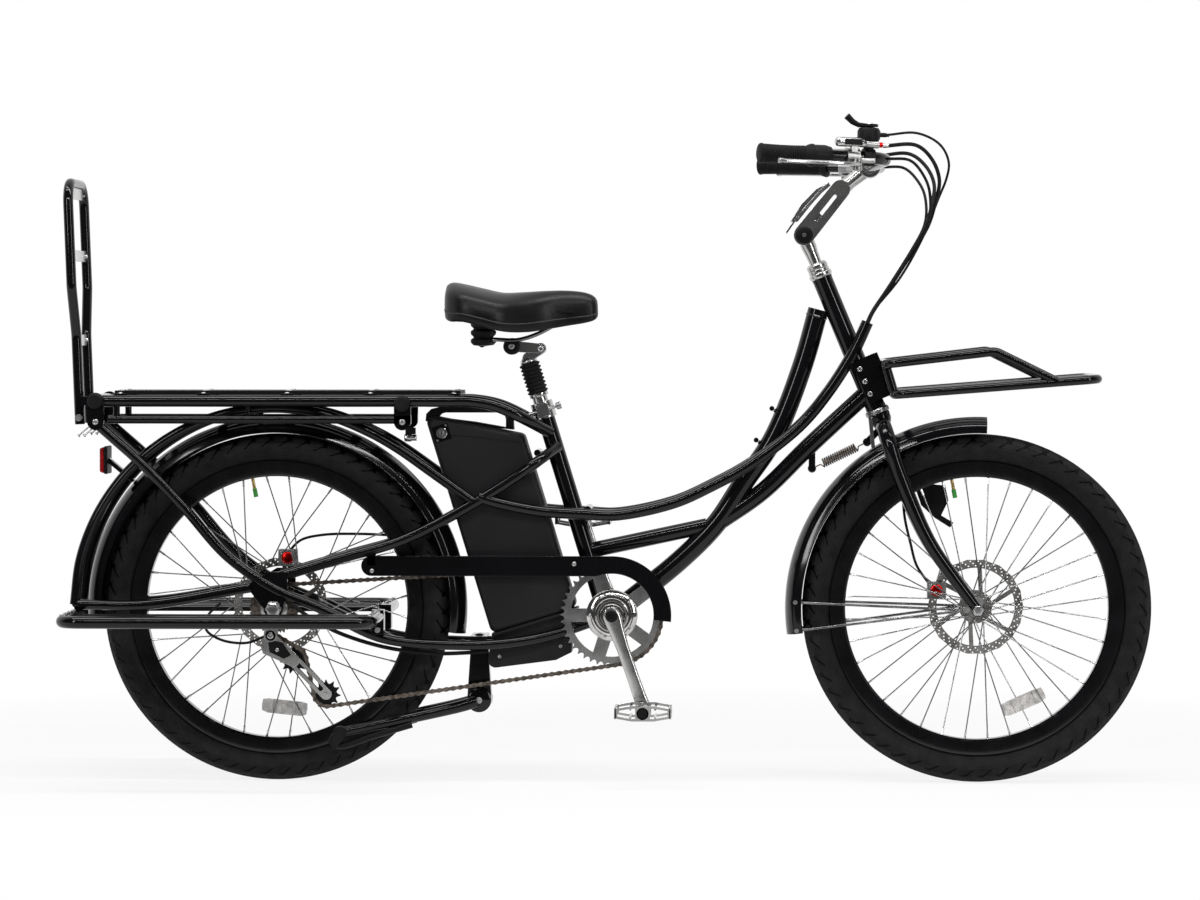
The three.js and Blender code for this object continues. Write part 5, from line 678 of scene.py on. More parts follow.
seat_tube = painted("seat_tube_paint", "seat_tube")
seat_tube.rod((-39.5, 0, 411.8), (176, 0, 457.8), 14, sides=28)
seat_tube.frame = SEATING
seat_tube.lathe([(0, 14), (15.9, 14), (15.9, 381.6), (13.9, 381.6), (13.9, 300), (0, 300)], axis="Z")
seat_tube.made()

side_tubes = painted("side_tubes_paint", "side_tubes")
side_run = smooth(SIDE_TUBE, 90)
side_tubes.tube(side_run, 10.25, sides=24, caps=False)
side_tubes.tube(side_run[-8:], 8.4, PLASTIC, sides=24, caps=False)
side_tubes.mirror()
side_tubes.cross((-37, 486.9), -52.6, 52.6, 8)
side_tubes.made()

seat_stays = painted("seat_stays_paint", "seat_stays")
stay_run = smooth(SEAT_STAY, 70)
seat_stays.tube(stay_run, 9.5, sides=24)
weld(seat_stays, stay_run, 9.5, 0.02)
seat_stays.mirror()
seat_stays.cross((-126.4, 589.2), -43, 43, 6)
seat_stays.made()


def chainstay(name, node, side):
    stay = painted(name, node)
    stay.tube(smooth(CHAINSTAY, 100), 9, sides=24)
    stay.flat([*arc(REAR_AXLE, 17, 180, 360, 14), (-570.6, 348), (-570.6, 377.5), (-604.6, 377.5),
               (-636, 358.5), (-636, 340.5)], -73.5, -67.5)
    stay.lathe([(0, -84.5), (10, -84.5), (12.4, -82.5), (12.4, -76), (15, -75.5), (15, -73.5), (0, -73.5)],
               ZINC, at=(REAR_AXLE[0], 0, REAR_AXLE[1]), sides=6 if side < 0 else 24)
    stay.cross(REAR_AXLE, -88, -30, 6.5, ZINC)
    if side > 0:
        mirror_only(stay)
    stay.made()


def mirror_only(piece):
    """Moves what is there so far to the other side."""
    piece.points = [Vector((p[0], -p[1], p[2])) for p in piece.points]
    piece.faces = [list(reversed(face)) for face in piece.faces]


chainstay("chainstay_right_paint", "chainstay_right", -1)
chainstay("chainstay_left_paint", "chainstay_left", 1)

hoops = painted("rear_hoops_paint", "rear_hoops")
hoops.tube(smooth(HOOP, 90), 9, sides=24)
hoops.tube(smooth(TAIL_TUBE, 24), 9, sides=24)
hoops.mirror()
hoops.cross((-953.9, 317.7), -57, 57, 5)
hoops.cross((-627.2, 668.1), -57, 57, 5)
hoops.made()


# Rear rack, backrest and footboards

RACK_ENDS = ((-911, 682), (-364, 677.3))

rack = painted("rack_frame_paint", "rack_frame")
rack.tube([(-905, -75, 682), *smooth(DECK_TUBE, 30)], 10.5, sides=24)
rack.rod((-890, -75, 649), (-364, -75, 649), 7.5)
rack.rod((-875, -75, 649), (-875, -75, 682), 6)
rack.rod((-640, -75, 649), (-640, -75, 682), 4)
for x, z in RACK_ENDS:
    rack.flat(capsule((x, z), (x, 645), 15, 15), -89.3, -84.3)
    rack.bolt((x, 645), -88, -93.3, 6)
    rack.lathe([(0, -100), (11, -100), (14, -97), (14, -92), (0, -92)], RUBBER, at=(x, 0, z))
rack.box(-379, -349, -89.3, -75, 641.5, 656.5)
for shift in (0, 10):
    rack.rod((-922 + shift, -75, 638), (-942 + shift, -75, 621), 1.5, ZINC, sides=10)
    rack.rod((-942 + shift, -75, 621), (-944 + shift, -75, 619.3), 3, ZINC, sides=14)
rack.mirror()
for x, z in RACK_ENDS:
    rack.cross((x, z), -92, 92, 12)
rack.made()

deck = Piece("rack_deck_boards", "frame", PLASTIC, "black_plastic", ["rack_deck"], edge=1.0)
STRAPS = [-869 + 149 * i for i in range(5)]
for x in STRAPS:
    deck.box(x - 11, x + 11, -75, 75, 691.4, 695.4, PAINT)
for y in (-48, 0, 48):
    deck.box(-880, -262, y - 17, y + 17, 693.4, 700.4)
    for x in STRAPS:
        deck.lathe([(0, 702.2), (3, 702), (4.6, 701), (4.8, 700), (0, 700)], ZINC, at=(x, y, 0), axis="Z",
                   sides=18)
for x in STRAPS:
    for side in (-1, 1):
        deck.lathe([(0, 698), (3, 697.6), (4.4, 696.4), (4.6, 695), (0, 695)], ZINC, at=(x, side * 71, 0),
                   axis="Z", sides=18)
deck.made()

backrest = painted("backrest_paint", "backrest")
backrest.tube(bent([*BACKREST, *[across(p) for p in reversed(BACKREST)]], 40), 9, sides=24)


def backrest_at(z):
    return -943 - 16 * (z - 640) / 430


for z, half in ((790, 60), (941, 94), (1052, 94)):
    x = backrest_at(z)
    backrest.box(x - 2, x + 2, -half, half, z - 10, z + 10, ALLOY)
    for side in (-1, 1):
        backrest.lathe([(0, 5), (3, 4.6), (4, 3), (4, 0), (0, 0)], ZINC, at=(x, side * (half - 14), z),
                       axis="X", sides=16)
for side in (-1, 1):
    low, high = sorted((side * 52, side * 68))
    backrest.box(-943, -911, low, high, 674, 690)
    backrest.lathe([(0, -8), (6, -8), (6, 8), (0, 8)], ZINC, at=(-943, side * 70, 652), sides=18)
backrest.made()


def footboard(name, node, side):
    board = painted(name, node)
    board.tube(bent([(-947, -54, 300), (-947, -278, 300), (-408, -278, 300), (-408, -90, 300)], 34), 11,
               sides=24)
    for i in range(4):
        y = -96 - 182 * (i + 0.5) / 4
        board.box(-947, -408, y - 13, y + 13, 296, 304, PLASTIC)
        for x in (-947, -408):
            board.lathe([(0, 313.4), (2.6, 313.2), (4, 312), (4, 304), (0, 304)], ZINC, at=(x, y, 0),
                        axis="Z", sides=16)
    board.box(-419, -397, -96, -66.8, 268, 311)
    board.cross((-408, 276), -99, -96, 5, ZINC)
    board.rod((-955, -60, 300), (-960.5, -60, 300), 6, ZINC)
    if side > 0:
        mirror_only(board)
    board.made()


footboard("footboard_right_paint", "footboard_right", -1)
footboard("footboard_left_paint", "footboard_left", 1)


# Mudguards

def mudguard(piece, start, end, at=(0.0, 0.0)):
    """A crowned strip with rolled edges, from one angle to another about its axle."""
    outer = [(313, -39), (314.4, -40), (316, -39), (324, -38), (328, -35), (334, -27), (339, -16),
             (341.4, -6), (342, 0)]
    inner_run = [(313.4, -37.6), (323.4, -36.6), (326.6, -33.6), (332, -26), (336.8, -15), (339.4, -5),
                 (339.8, 0)]
    half = outer + [(r, -y) for r, y in reversed(outer[:-1])]
    back = inner_run + [(r, -y) for r, y in reversed(inner_run[:-1])]
    section = half + list(reversed(back))
    piece.lathe([*section, section[0]], at=(at[0], 0, at[1]), sides=96, start=start, end=end)
    for edge in (start, end):
        turn = math.radians(edge)
        even = [evenly([Vector((r, y, 0)) for r, y in line], 16) for line in (half, back)]
        rims = [[(at[0] + p.x * math.cos(turn), p.y, at[1] + p.x * math.sin(turn)) for p in line]
                for line in even]
        piece.skin(rims, closed=False, caps=False)


rear_guard = painted("rear_mudguard", "rear_fender", edge=0)
mudguard(rear_guard, -8, 185, REAR_AXLE)
rear_guard.rod((-626, 0, 651), (-627, 0, 662.5), 6)
rear_guard.made()

front_guard = Piece("front_mudguard", "fork", PAINT, "black_paint", ["front_fender"], edge=0)
mudguard(front_guard, 87, 188, FRONT_AXLE)
EYELET = (637.3, 311.5)
for angle in (187, 178):
    foot = arc(FRONT_AXLE, 324, angle, angle, 1)[0]
    front_guard.rod((foot[0], -35.5, foot[1]), (EYELET[0], -64.2, EYELET[1]), 2.4, SPOKE, sides=12)
    front_guard.cross(EYELET, -67, -59.5, 5.2, ZINC)
    front_guard.rod((foot[0], -38.5, foot[1]), (foot[0], -33, foot[1]), 4, ZINC)
front_guard.mirror()
top = on(STEERING, 0, -48.6)
low = on(STEERING, 0, -60.5)
front_guard.rod(low, top, 6)
front_guard.made()


# Chain guard, battery, its dock and the stand

guard = Piece("chain_guard_paint", "frame", PAINT, "black_plastic", ["chain_guard"], edge=0.8)
inner = math.degrees(math.pi - math.asin(70 / 75))
guard.flat([*arc((-422, 388), 18, 90, 270, 18), *arc(BRACKET, 75, inner, -6, 40),
            *arc(BRACKET, 106, -6, 90, 40)],
           -62.5, -60)
guard.box(-430, -414, -62.5, -51, 388, 420)
guard.bolt((-421, 379), -62.5, -65.5, 4.5)
guard.bolt((-60, 392), -62.5, -65.5, 4.5)
guard.made()

battery = Piece("battery_shell", "battery", CASE, "black_plastic", ["battery"], edge=0)
battery.frame = SEATING


def battery_ring(inset):
    """The case's outline, drawn in by a distance."""
    low_x, high_x, low_z, back_z, front_z = -205 + inset, -45 - inset, 27 + inset, 433 - inset, 355 - inset
    corner = 12 - inset * 0.7
    slope = (front_z - back_z) / (high_x - low_x)
    return [
        *arc((low_x + corner, low_z + corner), corner, 180, 270, 6),
        *arc((high_x - corner, low_z + corner), corner, 270, 360, 6),
        *arc((high_x - corner, front_z - corner - slope * 2), corner, 0, 64, 6),
        *arc((low_x + corner, back_z - corner + slope * corner * 0.6), corner, 64, 180, 8),
    ]


SHELL = [(10, 42), (8.2, 42), (6, 41.2), (3, 38.6), (1, 35), (0, 30)]
CASE_SEAM = [(-196, 398), (-130, 372), (-53, 338)]
shell = [(inset, -y) for inset, y in SHELL] + [(inset, y) for inset, y in reversed(SHELL)]
battery.skin([[(x, y, z) for x, z in battery_ring(inset)] for inset, y in shell])
for side in (-1, 1):
    battery.tube([(x, side * 42.25, z) for x, z in CASE_SEAM], 0.7, PLASTIC, sides=8)
LOCK = (-184.0, 396.0)
battery.box(LOCK[0] - 14.5, LOCK[0] + 14.5, -43, -42, LOCK[1] - 14.5, LOCK[1] + 14.5, PAINT)
battery.lathe([(0, -44.6), (8.8, -44.6), (10, -43.6), (10, -42), (0, -42)], ALLOY, at=(LOCK[0], 0, LOCK[1]),
              sides=32)
battery.lathe([(0, -45.4), (4.4, -45.4), (5, -44.8), (5, -44), (0, -44)], CAST, at=(LOCK[0], 0, LOCK[1]),
              sides=24)
# Painted shade: a thin black plate on the lock's face stands for the dark of the keyway, with no slot cut.
battery.box(LOCK[0] - 0.8, LOCK[0] + 0.8, -45.7, -45.2, LOCK[1] - 3.4, LOCK[1] + 3.4, PLASTIC)
for x, z in ((-11, -11), (11, 11)):
    battery.lathe([(0, -43.9), (1.8, -43.7), (2.3, -43), (0, -43)], ZINC, at=(LOCK[0] + x, 0, LOCK[1] + z),
                  sides=12)
battery.frame = Matrix()
battery.flat([(-328, 645), (-327, 658), (-318, 667), (-302, 671), (-186, 671), (-176, 668), (-172, 660),
              (-170, 630)],
             -17, 17, PLASTIC, holes=[[(-306, 652), (-300, 658), (-292, 660.5), (-194, 660.5), (-187, 657),
                                       (-184, 650), (-184, 634), (-240, 644)]])
battery.made()

plugs = Piece("charging_plug", "frame", ALLOY, "silver_alloy")
plugs.lathe([(0, -364), (6, -364), (7, -362), (7, -352), (5.5, -351), (5.5, -342), (0, -342)], axis="X",
            at=(0, -40, 616), sides=20)
plugs.box(-362, -344, -46, -34, 622, 634, PLASTIC)
plugs.made()

dock = Piece("battery_dock_case", "frame", CASE, "black_plastic", ["battery_dock"], edge=1.6)
dock.flat([*arc((-202, 218), 14, 180, 270, 8), (-94, 218), (-66, 232), flat_on(SEATING, -53, 24.2),
           flat_on(SEATING, -205, 24.2)], -26, 26)
for at in ((-195.2, 224.5), (-85.9, 243.3)):
    dock.bolt(at, -26, -28.6, 4)
dock.frame = SEATING
dock.box(-205, -45, -38, 38, 21.7, 26.7)
dock.made()

STAND_PIVOT = (-232, 146)
STAND_AT = (STAND_PIVOT[0], 0, STAND_PIVOT[1])

bracket = painted("stand_bracket", "kickstand_bracket", edge=1.2)
bracket.flat(capsule((-232, 250), STAND_PIVOT, 15, 22), -15, 15)
bracket.lathe([(0, -22), (20, -22), (22, -20), (22, 20), (20, 22), (0, 22)], at=STAND_AT)
bracket.box(-247, -217, -50, 50, 250, 262)
bracket.made()

stand = Piece("stand_legs", "kickstand", PAINT, "black_paint", ["kickstand"], edge=1.0)
stand.lathe([(0, -30.3), (18, -30.3), (22, -28), (22, -22.3), (0, -22.3)], at=STAND_AT)
stand.tube(smooth([(-236, -31, 144), (-262, -34, 136), (-350, -46, 116), (-478, -64, 90)], 30),
           lambda t: 11 - 2.5 * t, sides=24)
stand.tube(smooth([(-350, -46, 116), (-440, -56, 100), (-486, -62, 86), (-494, -64, 72), (-478, -64, 66),
                   (-420, -60, 84), (-350, -52, 104)], 30), 6, PLASTIC, sides=16)
stand.flat(capsule((-478, 90), (-487, 68), 12, 6), -75, -53, RUBBER)
stand.lathe([(0, -33), (6, -33), (7, -31.5), (7, -30), (0, -30)], ZINC, at=STAND_AT, sides=6)
stand.mirror()
stand.cross((-318, 121.9), -41, 41, 6)
stand.made()


# Front carrier

carrier = painted("front_carrier", "front_rack", edge=0.6)


def carrier_low(x, y):
    return (x, y, 695 + 27.5 * (x - 507) / 356)


carrier.tube(bent([carrier_low(685, -150), carrier_low(863, -150), carrier_low(863, 150),
                   carrier_low(507, 150), carrier_low(507, -150), carrier_low(692, -150)], 26), 8, sides=20)
RAIL = [(793, -150, 717.1), (683, -150, 771), (491, -150, 748.5)]
carrier.tube(bent([*RAIL, *[across(p) for p in reversed(RAIL)]], 26), 8, sides=20)
for side in (-1, 1):
    carrier.rod(carrier_low(507, side * 124), (491, side * 124, 748.5), 8)
for i in range(7):
    y = (i + 1) * 300 / 8 - 150
    carrier.tube([carrier_low(507, y), carrier_low(863, y)], 6, sides=16)
carrier.frame = STEERING
carrier.box(-9, 40, -23.3, -18.3, 12, 92)
carrier.box(-9, 40, 18.3, 23.3, 12, 92)
carrier.box(35, 40, -23.3, 23.3, 12, 92)
for share in (0.2, 0.5, 0.8):
    z = 12 + 80 * share
    carrier.bolt((0, z), -23, -29, 5.5)
    carrier.bolt((0, z), 23, 29, 5.5)
carrier.made()


# Fork with its crown and locknut

fork = Piece("fork_blades", "fork", PAINT, "black_paint", ["fork"])
leg_run = smooth([*FORK_LEG, *[across(p) for p in reversed(FORK_LEG[:-1])]], 120)
fork.tube(leg_run, lambda t: 10.5 + 3.5 * min(1.0, min(t, 1 - t) * 3.2), sides=28)
for side in (-1, 1):
    low, high = sorted((side * 51, side * 59))
    fork.cross(FRONT_AXLE, low, high, 12)
    fork.lathe([(0, side * 68), (7, side * 68), (9, side * 66.5), (9, side * 61), (11.5, side * 60.6),
                (11.5, side * 59), (0, side * 59)], ZINC, at=(FRONT_AXLE[0], 0, FRONT_AXLE[1]), sides=6)
    fork.cross(FRONT_AXLE, *sorted((side * 59, side * 72)), 4.8, ZINC)
fork.flat([(651, 318), (664, 318), (668, 333), (648, 333)], -61.5, -59.2, ZINC)
fork.flat([(546, 534), (603, 529), (609, 502), (596, 475), (618, 462), (612, 453), (585, 470), (560, 493)],
          46, 50, PLASTIC)
fork.flat(capsule((466, 660), (472, 600), 3.5), -22, -20, ALLOY)
fork.frame = STEERING
fork.flat(capsule((0, -34), (-38, -50), 6), -2, 2)
fork.lathe([(0, -34), (15, -34), (19.5, -24), (20, -12), (19.5, -10.3), (0, -10.3)], axis="Z")
fork.lathe([(0, CUP_TOP), (19, CUP_TOP), (19, CUP_TOP + 5), (17.5, CUP_TOP + 6), (19, CUP_TOP + 7),
            (19, CUP_TOP + 13), (15.5, CUP_TOP + 17), (11.6, CUP_TOP + 17), (11.6, CUP_TOP)], ALLOY, axis="Z",
           sides=48)
fork.made()


# Stem

PIVOT, JOINT, CLAMP = (0.0, 334.6), (91.0, 384.6), (154.0, 402.0)
PIVOT_AT = (PIVOT[0], 0, PIVOT[1])

quill = Piece("stem_quill_alloy", "fork", ALLOY, "silver_alloy", ["stem_quill"], edge=0.8)
quill.frame = STEERING
quill.lathe([(0, 240), (11.1, 240), (11.1, 284), (12.2, 300), (13.7, 312), (13.7, 322), (0, 326)], axis="Z")
quill.lathe([(0, -12), (16, -12), (16, 12), (0, 12)], at=PIVOT_AT)
quill.made()

stem = Piece("stem_arm_alloy", "stem", ALLOY, "silver_alloy", ["stem_arm"], edge=1.2)
stem.frame = STEERING
for low, high in ((-23, -12.6), (12.6, 23)):
    stem.flat(capsule(PIVOT, JOINT, 18.5, 17), low, high,
              holes=[capsule((31, 351.6), (77, 377), 3.2, steps=8)])
stem.flat(capsule((34, 353.3), JOINT, 14, 16), -13, 13, holes=[capsule((44, 358.8), (77, 377), 3.2, steps=8)])
for side in (-1, 1):
    stem.lathe([(0, side * 27.5), (9, side * 27.5), (14, side * 26), (15.6, side * 24), (15.6, side * 22),
                (0, side * 22)], PLASTIC, at=PIVOT_AT)
    stem.lathe([(0, side * 27.9), (4, side * 27.9), (4, side * 27), (0, side * 27)], ZINC, at=PIVOT_AT,
               sides=6)
stem.tube([(91, 0, 384.6), (112, 0, 390.4), (135, 0, 396.8), (154, 0, 402)], lambda t: 15.5 - 3.5 * math.sin(
    math.pi * min(1.0, t * 1.2)), sides=28)
stem.lathe([(12.9, -22), (19, -22), (20, -20.5), (20, 20.5), (19, 22), (12.9, 22), (12.9, -22)],
           at=(CLAMP[0], 0, CLAMP[1]))
stem.rod((168, -12, 390), (168, -12, 416), 3.6, ZINC)
stem.rod((168, 12, 390), (168, 12, 416), 3.6, ZINC)
stem.made()

lever = Piece("stem_lever_alloy", "stem_lever", ALLOY, "silver_alloy", ["stem_lever"], edge=0.8)
lever.frame = STEERING
lever_path = [(76.5, 0, 403.5), (60, 0, 397.5), (30, 0, 383), (0, 0, 367.5), (-28, 0, 350.5)]
lever_run = smooth(lever_path, 20)
lever.skin([[(p.x, -7, p.z - 2), (p.x, 7, p.z - 2), (p.x, 7, p.z + 2), (p.x, -7, p.z + 2)]
            for p in lever_run])
lever.frame = Matrix()
lever.flat([(324, 1001), (344, 1033), (370, 1060), (392, 1071), (396, 1066), (380, 1052.5), (359, 1029),
            (337, 1001)],
           -6, 6)
lever.made()


# Handlebar with what is clamped to it

ALONG = Vector((0.9504, 0.3097, -0.0297)).normalized()
INWARD = Vector((0, 0, 1)).cross(ALONG).normalized()
UP = ALONG.cross(INWARD)
BAR_END = Vector((271, -295, 1113))
ON_BAR = Matrix.Translation(BAR_END) @ Matrix((
    (ALONG.x, INWARD.x, UP.x, 0), (ALONG.y, INWARD.y, UP.y, 0), (ALONG.z, INWARD.z, UP.z, 0), (0, 0, 0, 1)))
BAR = [(271, -295, 1113), (495, -222, 1106), (465, -46, 1099)]

bar = Piece("handlebar_paint", "stem", PAINT, "black_paint", ["handlebar"])
bar.tube(bent([*BAR, *[across(p) for p in reversed(BAR)]], 60, 14), 11.1, sides=28)
bar.cross((465, 1099), -27, 27, 12.7, ALLOY)
bar.frame = ON_BAR
LEVEL = -14
bar.lathe([(11.2, 154), (15.5, 154), (15.5, 178), (11.2, 178), (11.2, 154)], CAST, axis="X")
for low, high in ((LEVEL - 10, LEVEL - 4), (LEVEL + 4, LEVEL + 10)):
    bar.slab(capsule((166, 0), (166, -30), 9), low, high, CAST)
bar.rod((166, -30, LEVEL - 11.5), (166, -30, LEVEL + 11.5), 3.5, ZINC)
POD_LEVEL = 25
bar.tube([(138, -12, POD_LEVEL), (146, -12, POD_LEVEL), (176, -12, POD_LEVEL), (186, -12, POD_LEVEL - 2)],
         lambda t: 8.5 if t < 0.9 else 6.5, ALLOY, sides=24)
bar.lathe([(0, 0), (5, 0.4), (8, 3), (8.5, 7), (0, 7)], ALLOY, at=(131, -12, POD_LEVEL), axis="X", sides=24)
bar.box(146, 178, -21.4, -18, POD_LEVEL - 5, POD_LEVEL + 5, PLASTIC)
bar.rod((186, -12, POD_LEVEL - 2), (210, -12, POD_LEVEL - 3), 6.4, CAST)
bar.rod((210, -12, POD_LEVEL - 3), (217, -12, POD_LEVEL - 3), 4.6, RED, sides=14)
bar.rod((217, -12, POD_LEVEL - 3), (228, -12, POD_LEVEL - 3), 3.6, ALLOY, sides=14)
bar.box(160, 172, -16, -6, 8, POD_LEVEL, CAST)
bar.rod((166, -24, LEVEL + 7.5), (200, -24, LEVEL + 7.5), 4.6, CAST)
bar.frame = Matrix()
bar.mirror()
bar.frame = ON_BAR
bar.lathe([(11.2, 186), (15.5, 186), (15.5, 206), (11.2, 206), (11.2, 186)], PLASTIC, axis="X")
bar.rod((196, 0, 8), (196, 0, 34), 9, PLASTIC)
bar.lathe([(0, 26), (16, 27), (20, 33), (20, 46), (17, 51), (6, 53), (0, 53)], PLASTIC, at=(196, 0, 0),
          axis="Z")
bar.lathe([(0, 0), (4, 0), (4, 12), (3, 16), (3, 19), (0, 19)], PLASTIC, at=(214, 0, 40), axis="X", sides=20)
bar.made()


def bar_piece(name, body, finish, slot, node):
    piece = Piece(name, body, finish, slot, [node], edge=0.6)
    piece.frame = ON_BAR
    return piece


def grip(name, node, length, side):
    piece = bar_piece(name, "stem", RUBBER, "black_rubber", node)
    profile = [(0, -4), (13, -4), (16.5, -2.5), (18, 0)]
    ribs = int((length - 20) / 4)
    for i in range(ribs):
        u = 4 + (length - 18) * i / ribs
        swell = 17 - 1.2 * math.sin(math.pi * u / length)
        profile += [(swell, u), (swell, u + 2.2), (swell - 1.1, u + 2.6), (swell - 1.1, u + 3.6)]
    profile += [(18, length - 10), (20, length - 4), (20, length), (11.3, length)]
    piece.lathe(profile, axis="X", sides=40)
    if side > 0:
        mirror_only(piece)
    piece.made()


grip("grip_right_rubber", "grip_right", 95, -1)
grip("grip_left_rubber", "grip_left", 130, 1)

twist = bar_piece("throttle_sleeve", "throttle", PLASTIC, "black_plastic", "throttle")
twist.lathe([(11.4, 95.3), (18.5, 95.3), (18.5, 117), (15.7, 127.3), (11.4, 127.3), (11.4, 95.3)], axis="X")
for k in range(10):
    a = 2 * math.pi * k / 10
    twist.rod((98, 18 * math.cos(a), 18 * math.sin(a)), (115, 18 * math.cos(a), 18 * math.sin(a)), 1.2,
              sides=8)
twist.made()


def brake_lever(name, node, body, side):
    piece = bar_piece(name, body, ALLOY, "silver_alloy", node)
    spine = smooth([(170, -34, LEVEL), (140, -50, LEVEL), (110, -53, LEVEL), (60, -52, LEVEL),
                    (20, -57, LEVEL), (14, -58, LEVEL)], 30)
    rings = []
    for i, place in enumerate(spine):
        share = i / (len(spine) - 1)
        half = 3.2 if share < 0.96 else 4.2
        wide = 6.5 - 2.2 * share if share < 0.96 else 5.5
        rings.append([(place.x, place.y - wide, LEVEL - half * 0.5),
                      (place.x, place.y - wide * 0.5, LEVEL - half),
                      (place.x, place.y + wide * 0.5, LEVEL - half),
                      (place.x, place.y + wide, LEVEL - half * 0.5),
                      (place.x, place.y + wide, LEVEL + half * 0.5),
                      (place.x, place.y + wide * 0.5, LEVEL + half),
                      (place.x, place.y - wide * 0.5, LEVEL + half),
                      (place.x, place.y - wide, LEVEL + half * 0.5)])
    piece.skin(rings)
    piece.slab(capsule((166, -30), (158, -38), 8, 7), LEVEL - 3.6, LEVEL + 3.6)
    if side > 0:
        mirror_only(piece)
    piece.made(50)


brake_lever("brake_lever_right_alloy", "brake_lever_right", "brake_lever_right", -1)
brake_lever("brake_lever_left_alloy", "brake_lever_left", "brake_lever_left", 1)

shift = bar_piece("shift_lever_plastic", "shift_lever", PLASTIC, "black_plastic", "shift_lever")
shift.slab(capsule((196, 0), (188, 2), 16, 12), 53.4, 58)
shift.tube([(190, 1, 55.5), (178, 4, 56), (168, 6, 61), (157, 7, 71)], lambda t: 3.6 + 2.6 * t, sides=16)
shift.lathe([(0, 60.2), (6, 60), (7.5, 58), (0, 58)], ALLOY, at=(196, 0, 0), axis="Z", sides=24)
shift.made()


# Wheels

def toothed(teeth, phase, depth=3.0):
    """A sprocket's outline: a round seat for each roller and a tooth between."""
    pitch = PITCH / (2 * math.sin(math.pi / teeth))
    step = 360 / teeth
    outline = []
    for i in range(teeth):
        at = phase + i * step
        for share, radius in ((-0.28, pitch - 1.6), (-0.14, pitch - 3.4), (0, pitch - 3.8),
                              (0.14, pitch - 3.4), (0.28, pitch - 1.6), (0.45, pitch + depth),
                              (0.55, pitch + depth)):
            angle = math.radians(at + step * share)
            outline.append((radius * math.cos(angle), radius * math.sin(angle)))
    return outline


RIM_INNER = 234.5
ROTOR_ARMS = 6
HOLE_ROWS = 36
SCALLOP_STEPS = 144


def dressed_wheel(prefix, body, axle, node, hub, flange, right, left, disc_y):
    """A wheel with its rim, crossed spokes, hub, brake disc and valve, each a piece of its own."""
    origin = (axle[0], 0, axle[1])
    rim = Piece(prefix + "_rim", body, RIM_PAINT, "silver_alloy", [node], origin, edge=0)
    rim.lathe([(RIM_INNER, -11), (RIM_INNER, 11), (238, 15), (254, 17), (262, 17), (262, 15.4), (254, 13),
               (252, 10), (252, -10), (254, -13), (262, -15.4), (262, -17), (254, -17), (238, -15),
               (RIM_INNER, -11)],
              at=origin, sides=128)
    rim.made()
    laced = Piece(prefix + "_spokes", body, SPOKE, "silver_alloy", [], origin, edge=0)
    for i in range(SPOKES):
        lean_side = 1 if (i // 2) % 2 else -1
        side = (left if i % 2 else -right) + lean_side * 1.5
        rim_angle = (i + 0.5) * 2 * math.pi / SPOKES
        hub_angle = rim_angle + lean_side * 0.62 * (1 - 0.8 * flange / RIM_INNER)
        inner_end = Vector((flange * math.cos(hub_angle), side, flange * math.sin(hub_angle)))
        outer_end = Vector((236 * math.cos(rim_angle), side * 0.05, 236 * math.sin(rim_angle)))
        place = Vector(origin)
        laced.tube([place + inner_end, place + outer_end], 1.15, sides=8)
        nipple = (inner_end - outer_end).normalized()
        laced.tube([place + outer_end, place + outer_end + nipple * 13], 2.0, ALLOY, sides=8)
    laced.made()
    centre = Piece(prefix + "_hub", body, CAST, "silver_alloy", [], origin)
    hub(centre, origin)
    windows = []
    for i in range(ROTOR_ARMS):
        start, end = i * 60 + 24, (i + 1) * 60 + 24
        trim_out, trim_in = math.degrees(4 / 70), math.degrees(4 / 30)
        windows.append([*arc((0, 0), 70, start + trim_out, end - trim_out, 12),
                        *arc((0, 0), 30, end - trim_in - 12, start + trim_in - 12, 5)])
    drilled = []
    for i in range(HOLE_ROWS):
        for k, reach in ((0, 73.8), (1, 78), (2, 82)):
            spot = arc((0, 0), reach, i * 10 + k * 3.3, i * 10 + k * 3.3, 1)[0]
            drilled.append(arc(spot, 1.5, 0, 300, 5))
    scallops = [(r * math.cos(math.radians(a)), r * math.sin(math.radians(a)))
                for a, r in ((i * 2.5, 85.7 - 1.6 * abs(math.sin(math.radians(i * 22.5))))
                             for i in range(SCALLOP_STEPS))]
    disc = Piece(prefix + "_brake_disc", body, DISC, "silver_alloy", [], origin, edge=0)
    disc.frame = Matrix.Translation(origin)
    disc.pierced(scallops, disc_y - 1.0, disc_y + 1.0, DISC, windows + drilled)
    disc.lathe([(0, disc_y + 1), (20, disc_y + 1), (20, disc_y + 2.5), (0, disc_y + 2.5)], PLASTIC)
    for k in range(6):
        spot = arc((0, 0), 22, k * 60, k * 60, 1)[0]
        disc.bolt(spot, disc_y + 1, disc_y + 4, 4)
    disc.made()
    stem_angle = math.radians(101)
    valve = Piece(prefix + "_valve", body, BRASS, "silver_alloy", [], origin)
    out = Vector((math.cos(stem_angle), 0, math.sin(stem_angle)))
    valve.tube([Vector(origin) + out * 236, Vector(origin) + out * 208], 3, sides=16)
    valve.tube([Vector(origin) + out * 216, Vector(origin) + out * 200.5], 4, GREEN, sides=16)
    valve.made()


def front_hub(centre, origin):
    centre.lathe([(6.3, -44), (9.5, -44), (10, -38.4), (14, -37), (25, -34.5), (25, -32), (16, -28),
                  (14.5, -22), (14.5, 14), (16, 18), (25, 22), (25, 25), (18, 28), (18, 33), (9.5, 36),
                  (9.5, 44), (6.3, 44), (6.3, -44)], ALLOY, at=origin)


